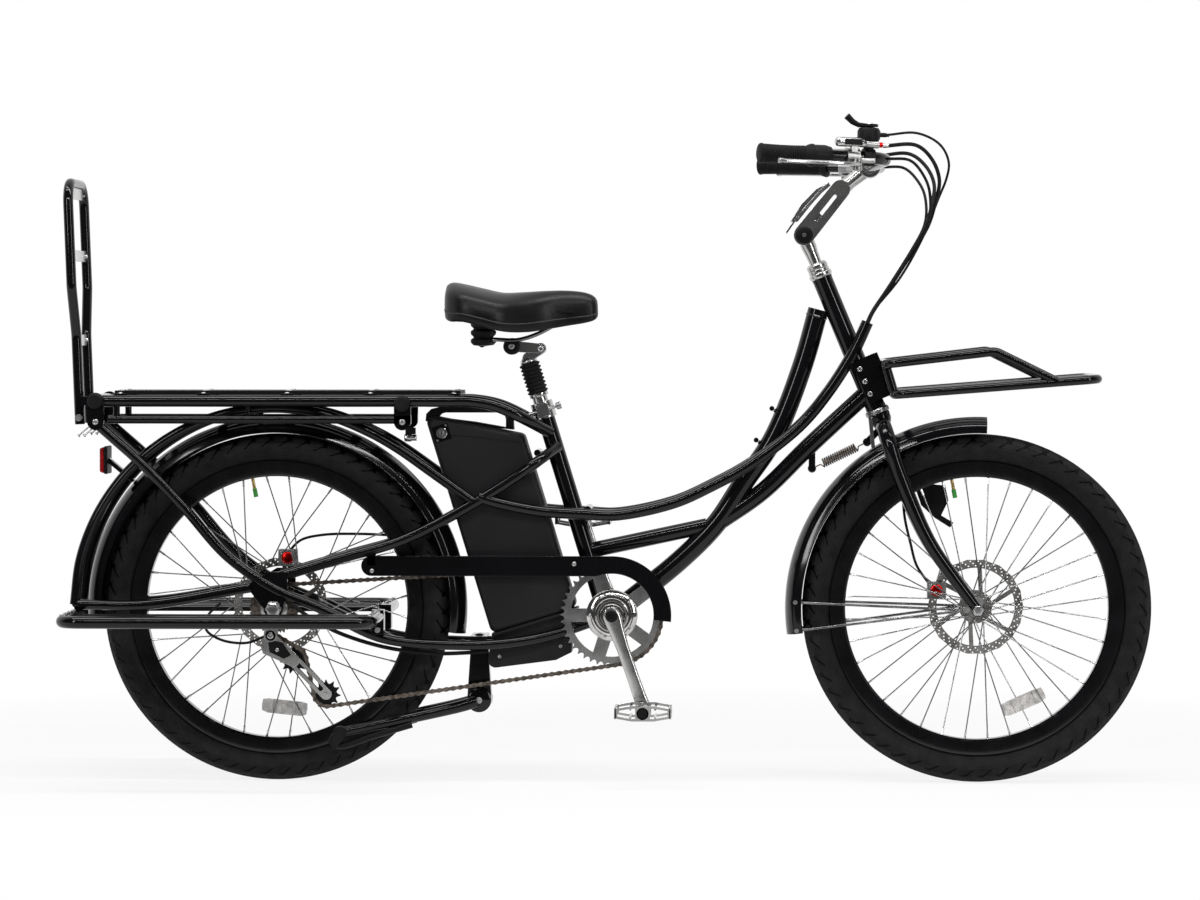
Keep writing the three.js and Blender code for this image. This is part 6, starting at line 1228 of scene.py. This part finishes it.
def rear_hub(centre, origin):
    centre.lathe([(8.8, -64), (13.2, -64), (13.2, -33), (30, -32.6), (64, -32), (67, -31), (70, -27.5),
                  (82, -27), (82, -22.5), (78, -21.5), (78, 27.5), (82, 28.5), (82, 33), (70, 34), (66, 37.5),
                  (25, 38), (23, 40), (23, 48), (8.8, 48), (8.8, -64)], at=origin, sides=96)
    for k in range(8):
        spot = arc((origin[0], origin[2]), 58, k * 45 + 20, k * 45 + 20, 1)[0]
        centre.bolt(spot, -32, -34.5, 3)
        centre.bolt(spot, 37, 40, 3)


def tyre(name, body, node, axle):
    origin = (axle[0], 0, axle[1])
    skin = Piece(name, body, TYRE, "tyre_rubber", [node], origin, edge=0)
    half = [(253, 8), (262.5, 11), (264.5, 14.5), (268, 18.5), (273, 22.5), (279, 26), (284, 28), (288, 28.4),
            (293, 27.4), (297.6, 25.2), (298.6, 24.2), (299.6, 24.4), (303.4, 20.6), (306.6, 16.2),
            (306.9, 14.6), (308, 14), (309.8, 9.4), (310.4, 8.8), (309.6, 8), (310.9, 5.8), (311.3, 3),
            (310.2, 2.2), (310.2, 0)]
    profile = [(r, -y) for r, y in half] + [(r, y) for r, y in reversed(half[:-1])]
    skin.lathe([*profile, profile[0]], at=origin, sides=192)
    skin.made(40)


dressed_wheel("front_wheel", "front_wheel", FRONT_AXLE, "front_wheel", front_hub, 22.5, 30.3, 21.3, 34)
dressed_wheel("rear_wheel", "rear_wheel", REAR_AXLE, "rear_wheel", rear_hub, 79.5, 24.3, 30.3, 49)
tyre("front_tyre_rubber", "front_wheel", "front_tyre", FRONT_AXLE)
tyre("rear_tyre_rubber", "rear_wheel", "rear_tyre", REAR_AXLE)


def wheel_reflector(name, body, axle, angle, reach, tilt):
    """A long clear reflector clipped between the spokes."""
    spot = arc(axle, reach, angle, angle, 1)[0]
    piece = Piece(name, body, REFLECTOR, "silver_alloy", [], edge=1.2)
    piece.frame = Matrix.Translation((spot[0], 0, spot[1])) @ Matrix.Rotation(math.radians(tilt), 4, "Y")
    piece.flat([(-40, -10), (-30, -13.5), (30, -13.5), (40, -10), (41, 0), (40, 10), (30, 12), (-30, 12),
                (-40, 10), (-41, 0)], -5, 5)
    piece.lathe([(0, -6.6), (5.5, -6.6), (6.5, -5.6), (6.5, 5.6), (5.5, 6.6), (0, 6.6)], sides=28)
    for x in (-20, 20):
        piece.box(x - 0.6, x + 0.6, -5.4, 5.4, -11.5, 10.5, CAST)
    piece.made()


wheel_reflector("front_reflector", "front_wheel", FRONT_AXLE, -63.5, 187, -24)
wheel_reflector("rear_reflector", "rear_wheel", REAR_AXLE, -86, 181, 6)


# Chain, sprockets and cranks

UPPER_JOCKEY = (-562.0, 219.0)
LOWER_JOCKEY = (-503.6116, 158.0561)


def chain_run():
    """The chain's line: straight between sprockets, and round each in turn."""
    wheels = [(BRACKET, CHAINRING_TEETH, 1), (LOWER_JOCKEY, JOCKEY_TEETH, 1),
              (UPPER_JOCKEY, JOCKEY_TEETH, -1), (REAR_AXLE, COG_TEETH, 1)]
    wheels = [(at, teeth, turn, PITCH / (2 * math.sin(math.pi / teeth))) for at, teeth, turn in wheels]
    lines = []
    for i, (a, _, turn_a, ra) in enumerate(wheels):
        b, _, turn_b, rb = wheels[(i + 1) % 4]
        dx, dz = b[0] - a[0], b[1] - a[1]
        slope = math.atan2(dz, dx) + math.asin((turn_b * rb - turn_a * ra) / math.hypot(dx, dz))
        ends = [(at[0] - turn * r * math.sin(slope), at[1] + turn * r * math.cos(slope))
                for at, turn, r in ((a, turn_a, ra), (b, turn_b, rb))]
        lines.append(ends)
    fine = []
    for i, (at, teeth, turn, radius) in enumerate(wheels):
        arrive, leave = lines[i - 1][1], lines[i][0]
        start = math.atan2(arrive[1] - at[1], arrive[0] - at[0])
        sweep = ((start - math.atan2(leave[1] - at[1], leave[0] - at[0])) * turn) % (2 * math.pi)
        steps = sweep * teeth / (2 * math.pi)
        fine.append(("round", at, radius, turn, start, teeth, steps))
        straight = math.dist(*lines[i]) / PITCH
        fine.append(("line", lines[i], straight))
    return fine


def chain_place(run, links):
    left = links % LINKS
    for stretch in run:
        count = stretch[-1]
        if left <= count or stretch is run[-1]:
            break
        left -= count
    if stretch[0] == "line":
        (x0, z0), (x1, z1) = stretch[1]
        share = min(1.0, left / count)
        return (x0 + (x1 - x0) * share, z0 + (z1 - z0) * share)
    _, at, radius, turn, start, teeth, _ = stretch
    angle = start - turn * left * 2 * math.pi / teeth
    return (at[0] + radius * math.cos(angle), at[1] + radius * math.sin(angle))


chain = Piece("roller_chain", "frame", CHAIN, "bare_steel", ["chain"], edge=0)
whole_run = chain_run()
pins = [chain_place(whole_run, i) for i in range(LINKS)]


def link_outline(a, b):
    """A figure-eight plate between two pins."""
    lean_by = math.atan2(b[1] - a[1], b[0] - a[0])
    long = math.dist(a, b)
    shape = []
    for angle in range(90, 271, 30):
        shape.append((4.2 * math.cos(math.radians(angle)), 4.2 * math.sin(math.radians(angle))))
    shape += [(long * 0.35, -3.0), (long * 0.5, -2.6), (long * 0.65, -3.0)]
    for angle in range(-90, 91, 30):
        shape.append((long + 4.2 * math.cos(math.radians(angle)), 4.2 * math.sin(math.radians(angle))))
    shape += [(long * 0.65, 3.0), (long * 0.5, 2.6), (long * 0.35, 3.0)]
    c, s = math.cos(lean_by), math.sin(lean_by)
    return [(a[0] + x * c - z * s, a[1] + x * s + z * c) for x, z in shape]


for i, pin in enumerate(pins):
    onward = pins[(i + 1) % LINKS]
    outline = link_outline(pin, onward)
    reach = 3.6 if i % 2 else 2.5
    for side in (-1, 1):
        edge_in, edge_out = sorted((CHAIN_PLANE + side * (reach - 0.05), CHAIN_PLANE + side * (reach - 1.05)))
        chain.flat(outline, edge_in, edge_out)
    chain.cross(pin, -52.3, -43.7, 1.8, sides=8)
    chain.cross(pin, -49.6, -46.4, 3.5, sides=12)
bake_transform(chain.made(riding=False), "frame", "cage",
         start=metres((-530, CHAIN_PLANE, 234)), end=metres((-542.4, CHAIN_PLANE, 192.7)))

crank_origin = (BRACKET[0], 0, BRACKET[1])
cranks = Piece("crank_arms", "cranks", ALLOY, "silver_alloy", ["crankset"], crank_origin, edge=1.4)
cranks.frame = Matrix.Translation(crank_origin)
ring_windows = []
for i in range(5):
    start = 180 + 72 * i
    trim_out, trim_in = math.degrees(12 / 74), math.degrees(12 / 45)
    ring_windows.append([*arc((0, 0), 74, start + trim_out, start + 72 - trim_out, 12),
                    *arc((0, 0), 46, start + 72 - trim_in, start + trim_in, 8)])
ring = Piece("chainring_plate", "cranks", ALLOY, "silver_alloy", [], crank_origin, edge=0.3)
ring.frame = Matrix.Translation(crank_origin)
ring.pierced(toothed(CHAINRING_TEETH, 93.512), -49, -47, ALLOY, ring_windows)
ring.lathe([(27, -49), (27, -57.5), (30, -60.5), (33, -61), (36, -60), (38, -57.5), (41, -56.5),
            (44.5, -54.5), (46, -51.5), (46, -49), (27, -49)], CHROME, sides=96)
for i in range(5):
    spot = arc((0, 0), 38, 180 + 72 * i, 180 + 72 * i, 1)[0]
    ring.bolt(spot, -55, -59, 3.4)
ring.made()
ARM = [(-16, 4), (-14.5, 9), (-9, 13.8), (0, 16), (12, 15.6), (30, 13.4), (60, 11.6), (110, 11.2), (150, 12),
       (168, 13), (178, 12.4), (185, 8.6), (188, 3.6)]
ARM_ANGLE = -70.7
ARM_SIDES = 28


def crank_arm(turn, middle):
    """An arm with a rounded section, which narrows from the axle to the pedal and swells again."""
    way = arc((0, 0), 1, ARM_ANGLE + turn, ARM_ANGLE + turn, 1)[0]
    out = Vector((way[0], 0, way[1]))
    wide = Vector((-way[1], 0, way[0]))
    sections = []
    for along, half in ARM:
        deep = 6.5 * min(1.0, 0.35 + half / 16)
        section = []
        for k in range(ARM_SIDES):
            c, d = math.cos(2 * math.pi * k / ARM_SIDES), math.sin(2 * math.pi * k / ARM_SIDES)
            section.append(out * along + wide * (half * math.copysign(abs(c) ** 0.7, c))
                           + Vector((0, middle + deep * math.copysign(abs(d) ** 0.55, d), 0)))
        sections.append(section)
    cranks.skin(sections)


crank_arm(0, -70.5)
crank_arm(180, 70.5)
cranks.lathe([(0, -64.5), (20, -64.5), (22, -62), (24, -50), (0, -50)], CHROME)
cranks.lathe([(0, -77.6), (4.6, -77.6), (5, -79.4), (9, -80), (11, -78), (11, -74), (0, -74)], PLASTIC)
cranks.lathe([(0, 80), (8.5, 80), (11, 78), (11, 76), (0, 76)], ZINC)
cranks.cross((0, 0), -64, 64, 8.4, ZINC)
cranks.made()


def pedal(name, node, side, at):
    origin = (at[0], 0, at[1])
    piece = Piece(name, node, ALLOY, "silver_alloy", [node], origin, edge=0.6)
    piece.frame = Matrix.Translation(origin)
    near, far = 84, 176

    def spread(a, b):
        return sorted((side * a, side * b))
    piece.cross((0, 0), *spread(far, near), 11, CAST)
    piece.lathe([(0, side * (far + 2)), (8, side * (far + 2)), (9, side * far), (0, side * far)], PLASTIC)
    piece.cross((0, 0), *spread(64, 92), 5, ZINC)
    outline = [(-50, -8), (-20, -13.4), (20, -13.4), (50, -8), (50, 8), (20, 13.4), (-20, 13.4), (-50, 8)]
    hole = [[(-44, -5), (-20, -9), (-13, -9), (-13, 9), (-20, 9), (-44, 5)],
            [(44, 5), (20, 9), (13, 9), (13, -9), (20, -9), (44, -5)]]
    for a, b in ((near, near + 4), (far - 4, far)):
        piece.flat(outline, *spread(a, b), holes=hole)
    for end in (-1, 1):
        low, high = sorted((end * 50, end * 46.5))
        piece.box(low, high, *spread(near, far), -8, 8)
        for k in range(7):
            y = near + 8 + k * 12.6
            for z in (-9.5, 8):
                piece.box(low, high, *spread(y, y + 6), z, z + 1.8)
    for x in (-22, 22):
        piece.box(x - 2, x + 2, *spread(near, far), -9, -6)
        piece.box(x - 2, x + 2, *spread(near, far), 6, 9)
    piece.made()


pedal("pedal_right_cage", "pedal_right", -1, (64.84, 134.84))
pedal("pedal_left_cage", "pedal_left", 1, (-50.84, 465.16))

cogs = Piece("freewheel_cogs", "freewheel", CHAIN, "bare_steel", ["cassette"],
             (REAR_AXLE[0], 0, REAR_AXLE[1]), edge=0)
cogs.frame = Matrix.Translation((REAR_AXLE[0], 0, REAR_AXLE[1]))
cogs.lathe([(14.2, -64), (20, -64), (24, -62), (24, -36.5), (14.2, -36.5), (14.2, -64)], CAST)
for y, teeth, phase in ((-60.5, 14, 0), (-57.4, 15, 9), (-54.2, 16, 3), (-51.1, 18, 5), (-48, 20, -128.53),
                        (-44.6, 21, 0), (-41.5, 22, 4)):
    cogs.pierced(toothed(teeth, phase, 2.6), y - 0.9, y + 0.9, CHAIN, [arc((0, 0), 20, 0, 350, 35)])
cogs.made()


def jockey(name, node, at, phase):
    origin = (at[0], 0, at[1])
    piece = Piece(name, node, PLASTIC, "black_plastic", [node], origin, edge=0.3)
    piece.frame = Matrix.Translation(origin)
    piece.pierced(toothed(JOCKEY_TEETH, phase), -49.1, -46.9, PLASTIC, [arc((0, 0), 6, 0, 340, 17)])
    piece.lathe([(3.3, -52), (6.4, -52), (6.4, -44), (3.3, -44), (3.3, -52)], CAST)
    piece.made()


jockey("upper_jockey_wheel", "upper_jockey", UPPER_JOCKEY, 41.479)
jockey("lower_jockey_wheel", "lower_jockey", LOWER_JOCKEY, -87.828)

cage = Piece("changer_cage", "cage", ALLOY, "silver_alloy", ["derailleur_cage"], edge=0.4)
slot_hole = capsule((-553, 209.6), (-513, 167.8), 4, steps=8)
for low, high in ((-55.1, -53.6), (-42.4, -40.9)):
    cage.flat(capsule(UPPER_JOCKEY, LOWER_JOCKEY, 11, 10), low, high, holes=[slot_hole])
for at in (UPPER_JOCKEY, LOWER_JOCKEY):
    cage.cross(at, -55.6, -40.4, 3, ZINC)
    cage.bolt(at, -55, -57.4, 4.4)
cage.made()

CHANGER_BOLT = (-602, 263.5)

changer = Piece("changer_body", "frame", CAST, "silver_alloy", ["derailleur"], edge=1.2)
changer.flat([*arc(UPPER_JOCKEY, 12, -90, 60, 10), (-590, 263.5), (-604, 268), (-614, 263.5), (-620, 244),
              (-616, 231)], -63.4, -55.4, ALLOY)
changer.flat([(-606, 256), (-580, 250), (-566, 228), (-578, 222), (-604, 234)], -67.4, -63.4, PLASTIC)
changer.flat(capsule(REAR_AXLE, CHANGER_BOLT, 12), -67.5, -65.3, CAST)
changer.bolt(CHANGER_BOLT, -67, -71, 7)
changer.cross(CHANGER_BOLT, -67.5, -55.4, 10)
changer.bolt((-590, 238), -67, -69.6, 4)
changer.made()


# Saddle, its frame and the seat post

SADDLE = [(0, 0.5, 0.6, 0.19), (0.012, 0.66, 0.72, 0.06), (0.05, 0.8, 0.78, 0.01), (0.12, 0.95, 0.78, 0.04),
          (0.25, 1, 0.87, 0.13), (0.38, 0.93, 0.97, 0.21), (0.52, 0.66, 0.99, 0.2), (0.66, 0.42, 0.93, 0.175),
          (0.8, 0.31, 0.86, 0.17), (0.92, 0.26, 0.8, 0.21), (0.975, 0.22, 0.75, 0.28),
          (0.995, 0.17, 0.69, 0.36), (1, 0.1, 0.62, 0.44)]
SECTION = [(-0.96, -1), (-1, -0.6), (-0.98, 0), (-0.88, 0.5), (-0.6, 0.88), (-0.28, 1), (0, 0.94), (0.28, 1),
           (0.6, 0.88), (0.88, 0.5), (0.98, 0), (1, -0.6), (0.96, -1), (0.84, -0.9), (0.5, -0.15), (0, 0.05),
           (-0.5, -0.15), (-0.84, -0.9)]


def saddle_ring(along, half, low_share, high_share):
    """One cross-section of the saddle, at a share of its length."""
    x = -291 + 271 * along
    bottom, top_z = 894 - 90 * low_share, 894 - 90 * high_share
    middle = (bottom + top_z) / 2
    return [Vector((x, 114 * half * y, middle + (top_z - bottom) / 2 * z)) for y, z in SECTION]


saddle = Piece("saddle_cover", "saddle", VINYL, "saddle_cover", ["saddle"], edge=0)
columns = [smooth(line, 44) for line in zip(*[saddle_ring(*row) for row in SADDLE])]
rings = [list(ring_points) for ring_points in zip(*columns)]


ROUNDING_STEPS = 4


def rounded(ring_points):
    """A closed ring of points drawn smooth."""
    count = len(ring_points)
    fine_ring = []
    for i in range(count):
        a, b, c, d = (ring_points[(i + k - 1) % count] for k in range(4))
        for k in range(ROUNDING_STEPS):
            t = k / ROUNDING_STEPS
            fine_ring.append(0.5 * (2 * b + (c - a) * t + (2 * a - 5 * b + 4 * c - d) * t ** 2
                                    + (3 * b - a - 3 * c + d) * t ** 3))
    return fine_ring


saddle.skin([rounded(r) for r in rings])
cover = saddle.made(60)
piping = Piece("saddle_piping", "saddle", THREAD, "saddle_cover", [], edge=0)
for index in (1, 11):
    seam_line = [row[index] for row in rings]
    side = 1 if seam_line[10].y > 0 else -1
    piping.tube([p + Vector((0, side * 0.6, 0)) for p in seam_line[1:-1]], 1.1, sides=8)
piping.made()

SADDLE_RAIL = [(-238, -46, 793), (-200, -26, 791), (-160, -22, 791), (-110, -17, 810), (-62, -12, 846)]
SADDLE_CLAMP, FLIP_BOLT = (-173.6, 779), (-122, 775)

seat = Piece("saddle_frame_paint", "saddle", PAINT, "black_paint", ["saddle_frame"], edge=0.6)
seat.tube(smooth(SADDLE_RAIL, 30), 3.6, SPOKE, sides=16)
bellows = [(0, 779)]
for i in range(5):
    z = 781 + i * 15
    bellows += [(15, z), (19.5, z + 4.5), (20, z + 7.5), (19.5, z + 10.5), (15, z + 13.5)]
bellows += [(14, 857), (0, 857)]
seat.lathe(bellows, RUBBER, at=(-225, -48, 0), axis="Z", sides=40)
seat.flat(capsule(SADDLE_CLAMP, FLIP_BOLT, 10, 8.5), -15.3, -11.3, ALLOY)
seat.mirror()
seat.lathe([(0, -23), (12, -23), (15, -20), (15, 20), (12, 23), (0, 23)], PLASTIC,
           at=(SADDLE_CLAMP[0], 0, SADDLE_CLAMP[1]))
seat.bolt(SADDLE_CLAMP, -23, -27, 6)
seat.bolt(FLIP_BOLT, -15, -19.5, 6)
seat.rod((-225, -48, 783), (-225, 48, 783), 6)
seat.flat([(-238, 848), (-60, 838), (-60, 842), (-238, 856)], -40, 40, PLASTIC)
seat.made()

post = Piece("seat_post_alloy", "seatpost", ALLOY, "silver_alloy", ["seatpost"], edge=0.4)
post.frame = SEATING
post.lathe([(0, 240), (13.6, 240), (13.6, 406), (16.4, 407), (17, 409), (17, 412.7), (13.6, 412.7),
            (13.6, 440), (11.8, 440), (11.8, 366), (0, 366)], axis="Z")
post.made()

boot = Piece("post_boot", "seatpost", RUBBER, "black_rubber", ["seatpost_boot"], edge=0)
boot.frame = SEATING
folds = [(14.4, 413)]
for i in range(8):
    z = 413 + 57 * i / 8
    folds += [(15.5, z), (18.6, z + 2.6), (19, z + 3.56), (18.6, z + 4.5), (15.5, z + 7)]
folds += [(15.5, 470), (14.4, 470), (14.4, 413)]
boot.lathe(folds, axis="Z", sides=48)
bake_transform(boot.made(50, riding=False), "seatpost", "seat_link",
         start=metres(on(SEATING, 0, 415)), end=metres(on(SEATING, 0, 467)))

link = Piece("seat_link_alloy", "seat_link", ALLOY, "silver_alloy", ["seat_link"], edge=1.2)
link.frame = SEATING
link.lathe([(0, 400), (11.4, 400), (11.4, 470.3), (15.4, 470.4), (15.4, 474), (11.4, 480), (0, 484)],
           axis="Z")
link.flat(capsule((0, 479.3), (27.8, 488.4), 9, 10), -11, 11)
link.made()

seat_collar = Piece("seat_clamp_alloy", "frame", ALLOY, "silver_alloy", ["seat_clamp"], edge=0.6)
seat_collar.frame = SEATING
seat_collar.lathe([(16.1, 366.6), (20, 366.6), (20, 396.6), (14, 396.6), (14, 382), (16.1, 382),
                   (16.1, 366.6)],
                  axis="Z")
seat_collar.box(-11, 11, -28, -18.9, 370, 393)
seat_collar.rod((-32, -24.9, 381.6), (34, -24.9, 381.6), 3, ZINC)
seat_collar.rod((25, -24.9, 381.6), (34, -24.9, 381.6), 6.5, CAST, sides=18)
seat_collar.made()

clamp = Piece("clamp_lever_plastic", "frame", PLASTIC, "black_plastic", ["clamp_lever"], edge=0.8)
clamp.frame = SEATING
clamp.slab(capsule((-32, -24.9), (-35, 23.1), 6, 3.5), 375.6, 387.6)
clamp.made()


# Brakes

def calliper(name, node, body, at, disc_y, mount, bridge):
    piece = Piece(name, body, CAST, "silver_alloy", [node], edge=1.6)
    x, z = at
    piece.box(x - 17, x + 17, disc_y + 2.6, disc_y + 11, z - 15, z + 15)
    piece.box(x - 17, x + 17, disc_y - 11, disc_y - 2.6, z - 15, z + 15)
    piece.box(x + bridge[0], x + bridge[1], disc_y - 4, disc_y + 4, z + bridge[2], z + bridge[3])
    piece.lathe([(0, disc_y - 14), (8, disc_y - 14), (11, disc_y - 12.5), (11, disc_y - 10),
                 (0, disc_y - 10)], RED,
                at=(x, 0, z), sides=14)
    piece.rod((x, disc_y + 8.5, z), (mount[0], disc_y + 8.5, mount[1]), 5)
    for dx, dz in ((-11, 9), (11, -9)):
        piece.bolt((x + dx, z + dz), disc_y - 11, disc_y - 13.6, 3.6)
    piece.made()


calliper("front_calliper", "front_caliper", "fork", (587.3, 341.5), 34, (598, 378), (-17, -14.8, -15, 15))
calliper("rear_calliper", "rear_caliper", "frame", (-582, 397.5), 49, (-566, 376), (-17, 17, 12, 15))

lamp = Piece("tail_lamp", "frame", LAMP, "red_lens", ["tail_light"], edge=2.0)
lamp.flat([(-913, 554), (-905, 551), (-905, 599), (-913, 596)], -28, 28)
lamp.flat([(-905, 550), (-899, 550), (-899, 600), (-905, 600)], -30, 30, PLASTIC)
lamp.flat(capsule((-857.3, 538.7), (-900, 575), 4), -12, 12, PAINT)
lamp.made()


# Centring spring

spring = Piece("centring_spring", "frame", CHAIN, "bare_steel", ["stabiliser_spring"], edge=0)
rear_hook, front_hook = Vector((SPRING_HOOK[0], 0, SPRING_HOOK[1])), Vector((461.5, 0, 607.9))
line_way = (front_hook - rear_hook).normalized()
out_way = Vector((0, 1, 0))
up_way = out_way.cross(line_way).normalized()
span = (front_hook - rear_hook).length
first, last = 22.0, span - 22.0
wire = [rear_hook + line_way * 7.7, rear_hook + line_way * 17]
TURNS, TURN_STEPS, COIL = 16, 18, 7.5
for i in range(TURNS * TURN_STEPS + 1):
    angle = 2 * math.pi * i / TURN_STEPS
    along_wire = first + (last - first) * i / (TURNS * TURN_STEPS)
    wire.append(rear_hook + line_way * along_wire
                + up_way * (COIL * math.cos(angle)) + out_way * (COIL * math.sin(angle)))
wire += [rear_hook + line_way * (span - 17), rear_hook + line_way * (span - 7.7)]
spring.tube(wire, 1.3, sides=8)
for hook in (rear_hook, front_hook):
    loop = [hook + line_way * (6.4 * math.cos(a)) + up_way * (6.4 * math.sin(a))
            for a in (2 * math.pi * k / 20 for k in range(21))]
    spring.tube(loop, 1.3, sides=8, caps=False)
spring.made()


# Cables

CABLE_STEPS = 38
CONTROL_STEPS, CONTROL_CUT = 100, 42


def run_length(path):
    return sum((b - a).length for a, b in zip(path, path[1:])) * MM


def cable(name, places, radius, body, node=None):
    """A cable that stays with one body, and goes into the bicycle at both ends."""
    piece = Piece(name, body, RUBBER, "black_rubber", [node] if node else [], edge=0)
    path = smooth(places, CABLE_STEPS)
    piece.tube(path, radius, sides=14)
    piece.made()
    metres(path[0])
    run_length(path)
    [metres(p) for p in path]


def control_cable(name, places, radius, node=None):
    """A cable from the bar into a frame tube, made as an upper and a lower piece, neither attached to a body.
    """
    path = smooth(places, CONTROL_STEPS)
    cut = CONTROL_CUT
    upper = Piece(name + "_upper", "stem", RUBBER, "black_rubber", [node] if node else [], edge=0)
    upper.tube(path[:cut + 1], radius, sides=14)
    upper_piece = upper.made(riding=False)
    metres(path[2])
    metres(path[cut - 2])
    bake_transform(upper_piece)
    lower = Piece(name + "_lower", "frame", RUBBER, "black_rubber", [], edge=0)
    lower.tube(path[cut:], radius, sides=14)
    lower_piece = lower.made(riding=False)
    metres(path[cut + 2])
    metres(path[88])
    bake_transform(lower_piece)
    for piece, run in ((lower_piece, path[cut:][::-1]), (upper_piece, path[:cut + 1])):
        metres(run[0])
        run_length(run)
        [metres(p) for p in run]


MAIN = [(484, -238, 1127), (541, -196, 1130), (571, -158, 1106), (585, -120, 1071), (580, -90, 1036),
        (567, -70, 992), (541, -54, 948), (503, -42, 888), (470.4, -29, 839.1), (462, -28.9, 821),
        (453.6, -28.9, 802.8)]
BRAKE = [(492, -214, 1106), (531, -186, 1104), (558, -146, 1076), (569, -112, 1045), (567, -84, 1000),
         (539, -56, 946), (499, -36, 882), (470.4, -23, 839.1), (462, -23, 821), (453.6, -23, 802.8)]
SHIFT = [(492, -222, 1147), (541, -202, 1151), (583, -168, 1133), (601, -130, 1102), (598, -106, 1075),
         (585, -86, 1041), (558, -64, 972), (518, -48, 900), (471.4, -34.2, 841.1), (462.4, -34.2, 822),
         (454, -34.2, 804)]
control_cable("main_cable_right", MAIN, 3.4, "cables_right")
control_cable("brake_cable_right", BRAKE, 2.6)
control_cable("shift_cable_right", SHIFT, 2.2)
control_cable("main_cable_left", [across(p) for p in MAIN], 3.4, "cables_left")
control_cable("brake_cable_left", [across(p) for p in BRAKE], 2.6)
MOTOR = [(-560, -80, 318), (-530, -72, 296), (-479, -62, 268), (-395, -58, 242), (-310, -46, 231),
         (-255, -30, 231), (-215.2, -20, 233)]
HOUSING = [(-612, -60, 262), (-645, -62, 250), (-690, -70, 256), (-716, -76, 275), (-712, -76, 300),
           (-690, -75, 322)]
cable("motor_lead", MOTOR, 3.6, "frame", "motor_cable")
cable("shift_housing", HOUSING, 2.4, "frame")
cable("front_brake_hose", [(527, 62, 515), (531, 58, 470), (541, 48, 425), (552, 38, 385), (576, 40, 350)],
      2.4, "fork")
cable("rear_brake_hose", [(-584, 52, 404), (-560, 50, 428), (-520, 47, 438), (-450, 46, 440), (-399, 47, 438),
                          (-372, 52, 437)], 2.4, "frame")


# Studio

ROOM_DARK = 0.07
FLOOR_SIZE = 30
FLOOR_MIDDLE = 13.1
FLOOR_TOP = -0.0006
CAMERA_AT = (0.2739, -8.066, 0.817)
CAMERA_AIM = (-0.0161, 0, 0.5933)
SENSOR_WIDTH = 36
LENS = 135.2
LIGHTS_AIM = (0, 0, 0.6)


def studio_floor():
    """A pale floor that keeps the bicycle's shadow, and fades to white away from it."""
    bpy.ops.mesh.primitive_plane_add(size=FLOOR_SIZE, location=(0, FLOOR_MIDDLE, FLOOR_TOP))
    floor = bpy.context.object
    floor.name = "studio_floor"
    white = Finish("studio_white", (0.9, 0.9, 0.9), 0.9)
    glow = white.node("ShaderNodeEmission", {}, {"Strength": 1.0})
    away = white.length(white.part("X") * 0.8, white.part("Y") + FLOOR_MIDDLE)
    share = white.unlit() * (0.84 + 0.16 * away.above(1.2, 1.0))
    mixed = white.node(
        "ShaderNodeMixShader", {}, {0: share, 1: Value(white, white.shader.outputs[0]), 2: glow})
    white.feed("Surface", mixed, white.tree.nodes["Material Output"])
    floor.data.materials.append(white.material)


def studio_world():
    """White all round, with the side behind the camera dark for what the black surfaces reflect."""
    world = bpy.data.worlds.new("studio")
    bpy.context.scene.world = world
    world.use_nodes = True
    room = Nodes(world.node_tree, "Background")
    toward = room.node("ShaderNodeTexCoord", {}, {}, output="Generated")
    behind = room.node("ShaderNodeSeparateXYZ", {}, {0: toward}, output="Y").above(-0.15, 0.4)
    room.feed("Color", (1.0, 1.0, 1.0, 1.0))
    room.feed("Strength", (0.4 + 0.6 * room.unlit()) * (ROOM_DARK + (1.0 - ROOM_DARK) * behind))


def soft_light(name, place, size, power):
    """A soft lamp that faces the bicycle's middle."""
    data = bpy.data.lights.new(name, "AREA")
    data.shape = "RECTANGLE"
    data.size, data.size_y = size
    data.energy = power
    lamp_object = bpy.data.objects.new(name, data)
    bpy.context.scene.collection.objects.link(lamp_object)
    lamp_object.location = place
    way = Vector(LIGHTS_AIM) - Vector(place)
    lamp_object.rotation_euler = way.to_track_quat("-Z", "Y").to_euler()


def camera():
    data = bpy.data.cameras.new("camera")
    view = bpy.data.objects.new("camera", data)
    bpy.context.scene.collection.objects.link(view)
    view.location = CAMERA_AT
    way = Vector(CAMERA_AIM) - view.location
    view.rotation_euler = way.to_track_quat("-Z", "Y").to_euler()
    data.sensor_width = SENSOR_WIDTH
    data.lens = LENS
    bpy.context.scene.camera = view


camera()
studio_floor()
studio_world()
soft_light("top_light", (0, -0.8, 3.6), (5.0, 0.5), 110)
soft_light("high_strip", (0.4, -3.6, 3.2), (5.0, 0.07), 60)
soft_light("front_light", (-3.4, -4.6, 2.4), (0.5, 2.6), 60)
soft_light("side_light", (3.8, -3.8, 1.8), (0.5, 2.6), 50)
bpy.context.scene.view_settings.view_transform = "Standard"
